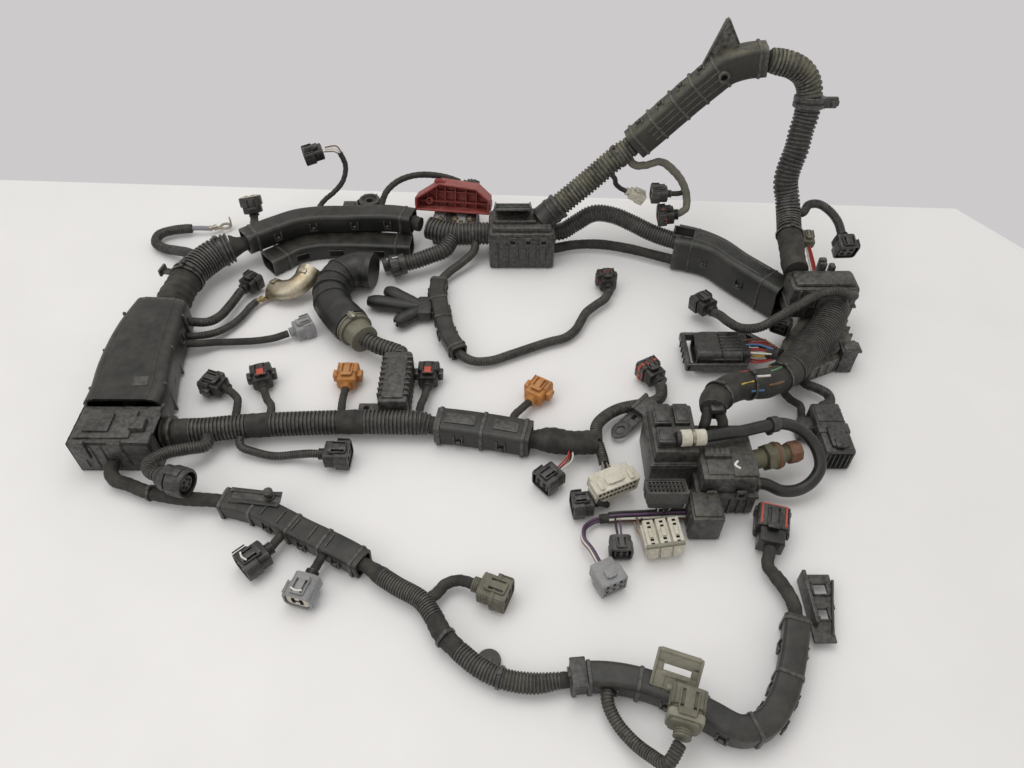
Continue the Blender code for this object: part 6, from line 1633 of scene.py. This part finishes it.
def slab(p, finish, outline, low, high, edge=0.8, at=FLAT):
    """A flat outline given thickness upward, with its rims cut back."""
    points = np.array(outline, float)
    centre = points.mean(axis=0)
    inner = centre + (points - centre) * (1 - edge / np.linalg.norm(points - centre, axis=1).mean())
    levels = [(inner, low), (points, low + edge), (points, high - edge), (inner, high)]
    rings = [np.column_stack([shape, np.full(len(shape), z)]) for shape, z in levels]
    p.rings(finish, rings, at)


def build_bulkhead_plate():
    """The plate under the fat tube: a bevelled slab with ribs and a post."""
    p = Piece("bulkhead_plate_shell")
    slab(p, DUSTY_DUCT, PLATE_OUTLINE, 0, 19, 1.2)
    slab(p, DUCT, [(97, 118), (172, 152), (180, 196), (146, 200), (116, 162)], 18, 21, 1.0)
    p.block(DUCT, (163, 179), (138, 150), (0, 35), 1.6)
    p.block(DUCT, (161, 181), (136.6, 151), (30, 33), 0.8)
    for k in range(8):
        x = 98 + 10.4 * k
        y = 107 + (x - 92) * 42 / 90
        p.box(DUCT, (1.8, 3, 16), (x, y + 0.4, 10), edge=0.6)
    p.row(DUCT, 6, (0.6, 11), (183.4, 187), (156, 158), (2, 18), 0.6)
    p.done("bulkhead_plate")


def build_bulkhead_cover():
    """The cover and its arm: smooth charcoal with pale bevels, ribs, hooks and small plugs."""
    p = Piece("bulkhead_cover_shell")
    p.channel(DUCT, ARM, radius=6.5, lid=1.0)
    for share in (0.16, 0.85):
        add_bands(p, DUCT, ARM, [share], (np.interp(share, [0, 0.4, 1], [40, 33, 32]), 44), 0.5, 2.2, 6.5)
    for share in (0.3, 0.68):
        add_side_clip(p, DUCT, along(ARM, share), 16.4, 8, -1)
    # painted shade: a dark patch for the opening in the arm's end
    p.box(PAINTED_SHADE, (22, 16, 1.0), (0, 0, 22.0), along(ARM, 0.06), 0.4)
    for dy in (-9, 9):
        p.box(DUCT, (26, 1.8, 2.2), (0, dy, 22.4), along(ARM, 0.06), 0.6)
    for dx in (-12, 12):
        p.box(DUCT, (1.8, 20, 2.2), (dx, 0, 22.4), along(ARM, 0.06), 0.6)
    for dx in (-10, 10):
        strip = [(x + dx * 0.6, y + dx * 0.5, z + 21.4) for x, y, z, *_ in ARM[1:-1]]
        p.tube(DUCT, strip, 2.2, 4, 8)
    p.block(DUCT, (118, 190), (200, 232), (20.3, 62), 4)
    p.block(DUCT, (122, 186), (204, 228), (60, 66), 3)
    p.row(DUCT, 6, (11, 0), (126, 128.4), (198.6, 202), (24, 60), 0.8)
    p.block(DUCT, (116.6, 191.4), (199, 233), (36, 39), 1)
    for x in (134, 170):
        p.block(DUCT, (x - 6, x + 6), (229, 234), (44, 58), 1)
    p.block(DUCT, (152, 160), (230, 240), (50, 72), 1.4)
    p.block(DUCT, (152, 160), (234, 240), (69, 74), 1.4)
    p.block(DUCT, (164, 170), (230, 238), (56, 68), 1.2)
    p.lathe(DUCT, [(0, 17.8), (3.6, 17.8), (4, 17)], place((162, 200.6, 44), (0, -1, 0)), 34)
    rear, heading = (114, 189, 32), (-0.5, -0.87, 0)
    add_plug(p, (20, 20, 17), rear, heading, PLUG, 8, ways=(2, 1))
    at = place(rear, heading)
    flag = np.array([[8, -2, -10], [18, -2, -4], [9, -2, 6]], float)
    p.rings(OLIVE, [flag + np.array([0, 11.4, 0]), flag + np.array([0, 12.8, 0])], at)
    p.wrapped(TAPE, [(126, 204, 33), (120, 196, 32.6), (114, 188.6, 32)], 8, sides=16, relief=0.3)
    rear, heading = (157, 281, 54), (0.05, 0.97, 0.2)
    add_plug(p, (22, 15, 13), rear, heading, OLIVE, 4, ways=(2, 2), bare=True)
    add_wires(p, ["red", "red", "black", "red", "white"], (156, 233, 44), (157, 283, 54), 5,
              via=(158, 258, 46))
    p.done("bulkhead_cover")


def build_fat_tube():
    """The glossy fat tube with fine rings, the net-covered bundle and its wires that show through."""
    p = Piece("fat_tube_rings")
    p.conduit(CONDUIT, FAT_TUBE, 33, pitch=3.2, depth=1.0, sides=36)
    p.wrapped(BRAID, NET_BUNDLE, 28, turn=30, relief=0.2, lumps=0.07, sides=36)
    for share in (0.16, 0.5, 0.82):
        add_tie(p, along(centre_line(NET_BUNDLE), share), 30 - 1.6 * share)
    colours = ["yellow", "blue", "red", "green", "white", "yellow", "brown", "blue"]
    middle = smooth(centre_line(NET_BUNDLE), 4)
    side, up = rolling_frames(middle)
    for number, colour in enumerate(colours):
        angle = math.radians(25 + 20 * number)
        first = 3 + 5 * number % 13
        arm = side * math.cos(angle) + up * math.sin(angle)
        stretch = middle + arm * 13.3
        route = [tuple(q) for q in stretch[first:first + 5:2]]
        p.tube(WIRES[colour], route, 2.4, 2, 8)
    for route in NET_TAILS:
        p.wrapped(TAPE, route, 10, sides=18, relief=0.4)
    p.box(PLUG, (12, 8, 6), (8, 33, 62), edge=1.4)
    p.done("fat_tube")
    p = Piece("speed_plug_body")
    rear, heading = (43, 210, 22), (-0.5, 0.86, -0.1)
    add_plug(p, (28, 24, 18), rear, heading, PLUG, 10, ways=(3, 1), pins=True)
    body = p.done(None)
    lead("speed_lead", "speed_plug", "conduit", SPEED_LEAD, 10, finish=CONDUIT)


def build_lever_plug():
    """The big glossy plug with the lever that locks it, shown pushed home, and its fan of thin wires."""
    at = place((70, 156, 15), (-1, 0, 0))
    p = Piece("lever_plug_body")
    p.loft(PLUG, [
        (0, 15, 9, 5), (1, 17, 11, 6), (8.4, 17, 11, 6), (9, 19.2, 12.2, 7), (10, 20, 13, 7),
        (30, 20, 13, 7), (30, 18.8, 12, 7), (32, 18.8, 12, 7), (32, 20, 13, 7), (46, 20, 13, 7),
        (55, 18.4, 12.2, 7), (56, 17.6, 11.4, 6.4), (56, 15.6, 9.6, 5), (50, 15.6, 9.6, 5),
    ], at, 6)
    # painted shade: a dark face for the socket behind the pins
    p.box(PAINTED_SHADE, (1, 28, 16), (50.6, 0, 0), at, 0.4)
    for y, z in grid(8, 4, 26, 14):
        p.box(PIN, (3, 0.8, 0.8), (51.6, y, z), at, 0.2)
    for k in range(6):
        p.box(PLUG, (22, 1.6, 1.4), (20, -12.5 + 5 * k, 13), at, 0.5)
    for side in (-1, 1):
        p.lathe(PLUG, [(0, 5), (1.6, 5), (2, 4.4)], place((44, 156 + side * 19.6, 14), (0, side, 0)), 26)
        p.box(PLUG, (30, 2, 3), (24, side * 19.4, 6), at, 0.8)
    colours = ["red", "red", "white", "red", "yellow", "red", "blue", "red", "red", "white", "red",
               "brown", "red"]
    add_wires(p, colours, (92, 138, 30), (66, 156, 16), 22, via=(82, 149, 22), thickness=2.3)
    p.wrapped(TAPE, [(96, 132, 33), (90, 138, 29), (86, 141, 27)], 13, sides=22, relief=0.4)
    p.done("lever_plug")
    p = Piece("plug_lever_frame")
    p.block(PLUG, (2, 8), (131, 181), (9.6, 18.4), 1.6)
    p.block(PLUG, (3, 78), (176.8, 181), (9, 19), 1.4)
    p.block(PLUG, (3, 66), (131, 135.2), (9, 19), 1.4)
    p.loft(PLUG, [(0, 2.4, 5, 1.4), (10, 2.8, 5, 1.4), (20, 3.2, 5, 1.4), (24, 2.6, 4.2, 1.2)],
           place((76, 178.6, 14), (0.76, -0.65, 0)))
    p.block(PLUG, (76, 94), (166, 172), (10, 18), 1.6)
    p.row(PLUG, 4, (0, 8), (0.8, 2.4), (142, 144), (10, 18), 0.5)
    p.row(PLUG, 9, (7, 0), (8, 9.4), (180.6, 182), (10, 18), 0.4)
    p.done("plug_lever")


def build_tall_plug():
    """The tall plug with the small one beside it, and their two leads."""
    p = Piece("tall_plug_body")
    p.block(PLUG, (112, 140), (11, 72), (0, 27), 2.4)
    p.block(PLUG, (110.8, 141), (34, 46), (1, 28), 1.6)
    p.block(PLUG, (118, 134), (16, 40), (26, 30.6), 1.4)
    p.block(PLUG, (121, 131), (14, 24), (29, 32), 1.2)
    p.block(PLUG, (114, 138), (48, 70), (26, 28), 1)
    # painted shade: a dark strip for the slot along the plug's face
    p.block(PAINTED_SHADE, (115, 137), (10.6, 12), (3, 24), 0.4)
    p.row(PLUG, 5, (4.4, 0), (116, 117.2), (10.2, 12), (4, 23), 0.3)
    for k in range(4):
        p.block(PLUG, (111, 112.6), (16 + 5 * k, 18 + 5 * k), (4, 24), 0.5)
        p.block(PLUG, (139.6, 141.2), (50 + 5 * k, 52 + 5 * k), (4, 24), 0.5)
    p.block(PLUG, (98, 113), (44, 60), (2, 21), 1.4)
    p.block(PLUG, (100, 110), (42.6, 46), (4, 19), 0.8)
    # painted shade: a dark patch for the small plug's opening
    p.block(PAINTED_SHADE, (102, 108), (42.2, 44), (7, 16), 0.4)
    body = p.done(None)
    long_lead = [(124, 122, 10), (122, 114, 10), (132, 106, 11), (140, 97, 12), (139, 85, 13), (128, 77, 14),
                 (126, 69, 14)]
    short_lead = [(100, 112, 8), (98.6, 104, 8), (103, 93, 8), (110, 84, 9), (108, 72, 10), (106, 58, 11)]
    lead("tall_plug_lead", "tall_plug", "conduit", long_lead, 10, finish=CONDUIT)
    lead("tall_plug_lead_2", "tall_plug", "wrapped", short_lead, 8)


# Cabin plugs beside the relay box

CABIN_BUNDLE = [(-22, -44, 8), (-34, -44, 8), (-64, -45, 6.5), (-84, -46, 6.5), (-100, -48, 6.5)]
LOOP_WIRES = [(-95, -47.6, 6.5), (-106, -51, 7), (-115, -60, 9), (-116, -71, 10), (-110, -82, 11),
              (-104, -97, 12)]


def build_cabin_bundle():
    """The taped bundle of coloured wires and the grey plug on its loop."""
    p = Piece("cabin_bundle_wires")
    line = smooth(CABIN_BUNDLE, 4)
    p.wrapped(TAPE, CABIN_BUNDLE, 9, sides=18, relief=0.5)
    colours = ["purple", "black", "purple", "white", "brown", "black", "purple"]
    for number, colour in enumerate(colours):
        angle = 2 * math.pi * number / len(colours)
        shift = np.array([0, 4.2 * math.cos(angle), 4.2 * math.sin(angle) + 0.6])
        p.tube(WIRES[colour], [tuple(q + shift) for q in line[::3]], 2.2, 3, 8)
        bend = np.array([1.6 * math.cos(angle), 1.0 * math.sin(angle), 1.8 * math.sin(angle)])
        p.tube(WIRES[colour], [tuple(np.array(q) + bend) for q in LOOP_WIRES], 2.0, 3, 8)
    rear, heading = (-104, -97, 12), (0.45, -0.9, 0)
    add_block_plug(p, (24, 24, 18), rear, heading, GREY, (3, 2))
    p.done("cabin_bundle")


def build_grey_multi_plug():
    """The dark grey plug of three rows, face up on its wires."""
    p = Piece("grey_multi_plug_body")
    add_block_plug(p, (19, 36, 20), (-44, -41, 22), (0, 0.25, 0.97), DARK_GREY, (9, 3))
    add_wires(p, ["grey", "white", "purple", "black", "brown", "white"], (-46, -44, 8), (-44, -40.6, 24), 12)
    p.done("grey_multi_plug")


def build_white_triple_plug():
    """The white block of three plugs side by side."""
    p = Piece("white_triple_plug_body")
    at = place((-66, -74, 13), (0.98, 0.1, 0.08))
    for k in range(3):
        x = (2 + 11 * k, 11.6 + 11 * k)
        p.box(WHITE, (9.4, 28, 19), (sum(x) / 2, 0, 0), at, 0.9)
        for y, _ in grid(6, 1, 25, 4):
            # painted shade: dark patches for the terminal openings
            p.box(PAINTED_SHADE, (3.0, 2.2, 0.8), (sum(x) / 2, y, 9.3), at, 0.1)
        p.box(WHITE, (3.4, 9, 3), (sum(x) / 2, 0, 9.9), at, 0.6)
        for side in (-1, 1):
            p.box(WHITE, (6, 1.2, 8), (sum(x) / 2, side * 14.2, 0), at, 0.4)
    p.box(WHITE, (34, 24, 14), (17, 0, -1), at, 1.0)
    p.box(BEIGE, (33, 3, 4), (17, -12.6, 9), at, 0.6)
    add_wires(p, ["white", "black", "purple", "brown", "white", "tan"], (-66, -48, 7), (-60, -66, 12), 12)
    p.done("white_triple_plug")


def build_small_grey_plug():
    """The small dark grey plug on loose wires."""
    p = Piece("small_grey_plug_body")
    add_plug(p, (21, 20, 17), (-85, -66, 11), (0, -1, 0), DARK_GREY, 6, ways=(2, 2), bare=True)
    add_wires(p, ["black", "purple", "white", "black"], (-85, -47, 7), (-85, -69, 11), 7)
    p.done("small_grey_plug")


# Arch over the back

ARCH_CONDUIT = [
    (129, 231, 61, 13.5), (129, 243, 61, 13.5), (131, 264, 65, 13.5), (132, 286, 70, 13.5),
    (135, 308, 76, 13.5), (134, 325, 90, 13.5), (130, 334, 107, 13.5), (132, 340, 124, 13.5),
    (136, 345, 140, 13.5), (138, 352, 158, 13.5), (141, 358, 174, 13.5), (141, 362, 189, 13.5),
    (139, 366, 201, 13.5), (131, 370, 214, 13.5), (116, 372, 223, 13.5), (101, 374, 226, 13.5),
    (91, 374.5, 228, 12),
]
ARCH_DUCT = [
    (88, 375, 229), (67, 376, 226), (49, 378, 218), (34, 378, 204), (16, 378, 186), (-5, 376, 165),
    (-25, 374, 145), (-40, 372, 131),
]
ARCH_SLANT = [
    (-12, 375.4, 158, 9), (-36, 372.6, 135, 9), (-43, 371.6, 128.6, 12), (-52, 369, 122, 13.5),
    (-66, 364, 112, 13.5), (-80, 359.5, 100.5, 13.5), (-99, 354, 85, 13.5), (-122, 346, 68, 13.5),
]
HANG_LEAD = [(-36, 366, 108), (-24, 366, 108), (-7, 370, 110), (11, 366, 99), (23, 362, 84), (28, 357, 70),
             (27, 349, 60)]
POST_LEAD = [(153, 317, 77), (162, 328, 80), (174, 331, 79), (187, 323, 74), (195, 312, 67),
             (198, 301, 59.4)]


def build_arch_conduit():
    """The conduit that rises from the cover, taped below and dusty above, with its clamp."""
    p = Piece("arch_conduit_rings")
    p.wrapped(TAPE, ARCH_CONDUIT[:4], 27, turn=12, relief=0.7, sides=30)
    p.conduit(CONDUIT, ARCH_CONDUIT[3:12], 27, pitch=4.4, depth=1.7, sides=30)
    p.conduit(DUSTY_CONDUIT, ARCH_CONDUIT[11:], 27, pitch=4.4, depth=1.7, sides=30)
    add_tie(p, along(centre_line(ARCH_CONDUIT), 0.2), 28)
    at = place((141, 361.6, 188), (0.02, 0.26, 0.97))
    p.lathe(DUCT, [(-6, 14), (-6, 15.8), (-5.2, 16.5), (-1, 16.5), (-0.6, 15.6), (0.6, 15.6),
                   (1, 16.5), (5.2, 16.5), (6, 15.8), (6, 14)], at, 34)
    p.block(DUCT, (155, 171), (357, 362), (182, 194), 1.2)
    p.block(DUCT, (153, 158), (354, 365), (183, 193), 1.2)
    p.block(DUCT, (163, 172), (355.6, 363), (185, 191), 1)
    p.done("arch_conduit")


def build_arch_duct():
    """The dusty duct over the top, with ridges, snaps, a fin and a boss."""
    p = Piece("arch_duct_shell")
    route = [(*q, 32, 27) for q in ARCH_DUCT]
    up = (0, -1, 0)
    p.channel(DUSTY_DUCT, route, radius=4.5, lid=0.9, up=up)
    add_bands(p, DUSTY_DUCT, route, (0.05, 0.3, 0.46, 0.62, 0.8, 0.96), (32, 27), 0.8, 3.2, 4.5, up)
    add_snaps(p, DUSTY_DUCT, route, (0.38, 0.54, 0.71, 0.88), 16, 11, up)
    for dy in (-7, 0, 7):
        ridge = smooth(route, 6)
        side, raised = level_frames(ridge[:, :3], up)
        line = ridge[:, :3] + raised * 13.2 + side * dy
        p.tube(DUSTY_DUCT, [tuple(q) for q in line[8:-4:4]], 2.0, 5, 8)
    turn = place((0, 390, 0), (1, 0, 0)) @ Matrix.Rotation(math.radians(90), 4, "X")
    outline = np.array([(26, 214), (62, 236), (44, 266)], float)
    skins = [np.column_stack([outline, np.full(3, z)]) for z in (0.2, 3.8)]
    p.rings(DUSTY_DUCT, skins, turn)
    for a, b in ((0, 2), (1, 2)):
        p.box(DUSTY_DUCT, (float(np.linalg.norm(outline[b] - outline[a])) - 4, 5.4, 2.2), (0, 0, 0), place(
            (float(outline[[a, b], 0].mean()), 388, float(outline[[a, b], 1].mean())),
            (outline[b][0] - outline[a][0], 0, outline[b][1] - outline[a][1])), 0.8)
    p.lathe(DUSTY_DUCT, [(0, 6.4), (3.4, 6.4), (4, 5.8), (4, 3.5), (0, 3.5)],
            place((45, 365.4, 214), (0, -1, 0)), 28)
    # painted shade: a dark disc for the boss's hole
    p.lathe(PAINTED_SHADE, [(0, 3.4), (1.4, 3.4)], place((45, 364.8, 214), (0, -1, 0)), 20)
    p.done("arch_duct")


def build_arch_slant():
    """The dusty ringed run that comes down to the junction box."""
    p = Piece("arch_slant_rings")
    p.wrapped(TAPE, ARCH_SLANT[:3], 18)
    p.conduit(DUSTY_CONDUIT, ARCH_SLANT[2:], 27, pitch=4.4, depth=1.7, sides=30)
    add_tie(p, along(centre_line(ARCH_SLANT), 0.42), 27)
    p.done("arch_slant")


def build_post_plug():
    """The plug on the lead that stands beside the arch's post."""
    p = Piece("post_plug_body")
    add_plug(p, (25, 25, 22), (198, 300, 59), (0.05, -0.93, -0.3), PLUG, 10, ways=(2, 2), latch=0.5)
    body = p.done(None)
    lead("post_lead", "post_plug", "conduit", [root(ARCH_CONDUIT, POST_LEAD[0]), *POST_LEAD], 10,
         finish=CONDUIT)


def build_hanging_plug():
    """The small white plug that hangs from the slanting run."""
    p = Piece("hanging_plug_body")
    add_plug(p, (24, 15, 13), (-44, 361, 77), (0.9, 0, -0.45), WHITE, 6, ways=(2, 1), pins=True)
    p.wrapped(TAPE, [(-66, 356, 106), (-60, 352, 99), (-57, 358, 88), (-50, 361, 80), (-42, 361, 76)],
              6, sides=14, relief=0.3)
    p.done("hanging_plug")


def build_hanging_pair():
    """The pair of plugs on the grey taped lead."""
    p = Piece("hanging_pair_bodies")
    add_plug(p, (24, 22, 18), (18, 344, 56), (-1, 0, -0.1), PLUG, 10, lock=LOCK, ways=(2, 1))
    add_plug(p, (24, 20, 17), (10, 361, 73), (-1, 0, 0), DARK_GREY, 6, insert=YELLOW, ways=(2, 1))
    p.tube(TAPE, [(26, 360, 77), (21, 361, 74), (8, 361, 73)], 6, 1.5)
    body = p.done(None)
    p = Piece("hanging_lead")
    route = [root(ARCH_SLANT, HANG_LEAD[0]), *HANG_LEAD, (17, 344, 56)]
    p.wrapped(GREY_TAPE, route, 9.4, turn=9, relief=0.5, lumps=0.06, sides=20)
    obj = p.done("hanging_pair")
    path = smooth(route, 2) * MM


# Junction box and the links to the bulkhead cover

LINK_CONDUIT = [
    (-132, 351, 26), (-119, 351, 26), (-102, 356, 34), (-79, 363, 44), (-55, 360, 43), (-34, 352, 38),
    (-12, 340, 33), (8, 330, 31), (26, 322, 31),
]
LINK_BUNDLE = [
    (-135, 336, 11), (-120, 341, 10), (-107, 345, 10), (-71, 347, 10), (-35, 338, 10),
    (-6, 326, 10), (8, 320, 10), (20, 315, 10),
]


def build_junction():
    """The junction box with its neck, raised flap and ribs, and its links to the bulkhead cover."""
    p = Piece("junction_box_shell")
    x, y = (-205.0, -128.0), (312.0, 362.0)
    p.block(DUCT, x, y, (0, 50), 3)
    p.block(DUCT, (x[0] - 1, x[1] + 1), (y[0] - 1, y[1] + 1), (38, 42), 1.2)
    p.block(DUCT, (x[0] + 4, x[1] - 4), (y[0] + 4, y[1] - 4), (49, 56), 2.4)
    p.block(DUCT, (-200, -150), (y[0] + 12, y[0] + 16), (55, 60), 1.2)
    p.row(DUCT, 6, (12, 0), (x[0] + 8, x[0] + 10.4), (y[0] - 1.8, y[0] + 1), (3, 37), 0.7)
    for k in range(3):
        p.block(DUCT, (-182 + 18 * k, -172 + 18 * k), (y[0] - 2.4, y[0] + 1), (34, 46), 0.9)
        # painted shade: a dark patch for the clip's slot
        p.block(PAINTED_SHADE, (-180 + 18 * k, -174 + 18 * k), (y[0] - 2.6, y[0]), (38, 42), 0.4)
    end, before = np.array(ARCH_SLANT[-1][:3]), np.array(ARCH_SLANT[-2][:3])
    back = unit(end - before)
    neck = place(tuple(end + back * 0.3), tuple(back))
    p.lathe(DUCT, [(0, 14), (0, 15.4), (1, 16), (4, 16), (5, 15), (9, 15), (10, 16), (13, 16),
                   (14, 15.2), (28, 15.2)],
            neck, 34)
    flap = place((-177, 352, 60), (1, 0, 0), -28)
    p.box(DUCT, (44, 52, 2.6), (0, 0, 0), flap, 0.9)
    for side in (-1, 1):
        p.box(DUCT, (2.2, 50, 5), (side * 20.8, 0, 1.4), flap, 0.8)
    for k in range(3):
        p.box(DUCT, (40, 1.6, 3), (0, -16 + 16 * k, 1.6), flap, 0.6)
    p.done("junction_box")
    lead("link_bundle", "junction_box", "wrapped", LINK_BUNDLE, 12)
    lead("link_conduit_rings", "link_conduit", "conduit", LINK_CONDUIT, 21, finish=CONDUIT)


build_left_trunk()
build_corner_cover()
build_ground_lead()
build_top_ducts()
build_back_plugs()
build_fuse_link()
build_side_conduit()
build_injector_branch()
build_elbow()
build_shield()
build_left_leads()
build_mid_trunk()
build_mid_branches()
build_coil_plug()
build_white_multi_plug()
build_front_trunk()
build_front_duct()
build_end_duct()
build_end_plate()
build_barrel_plug()
build_olive_plug()
build_beige_plug()
build_open_plug()
build_relay_box()
build_vent_hose()
build_bulkhead_plate()
build_bulkhead_cover()
build_fat_tube()
build_lever_plug()
build_tall_plug()
build_cabin_bundle()
build_grey_multi_plug()
build_white_triple_plug()
build_small_grey_plug()
build_arch_conduit()
build_arch_duct()
build_arch_slant()
build_post_plug()
build_hanging_plug()
build_hanging_pair()
build_junction()

bpy.context.scene.view_settings.view_transform = "Standard"
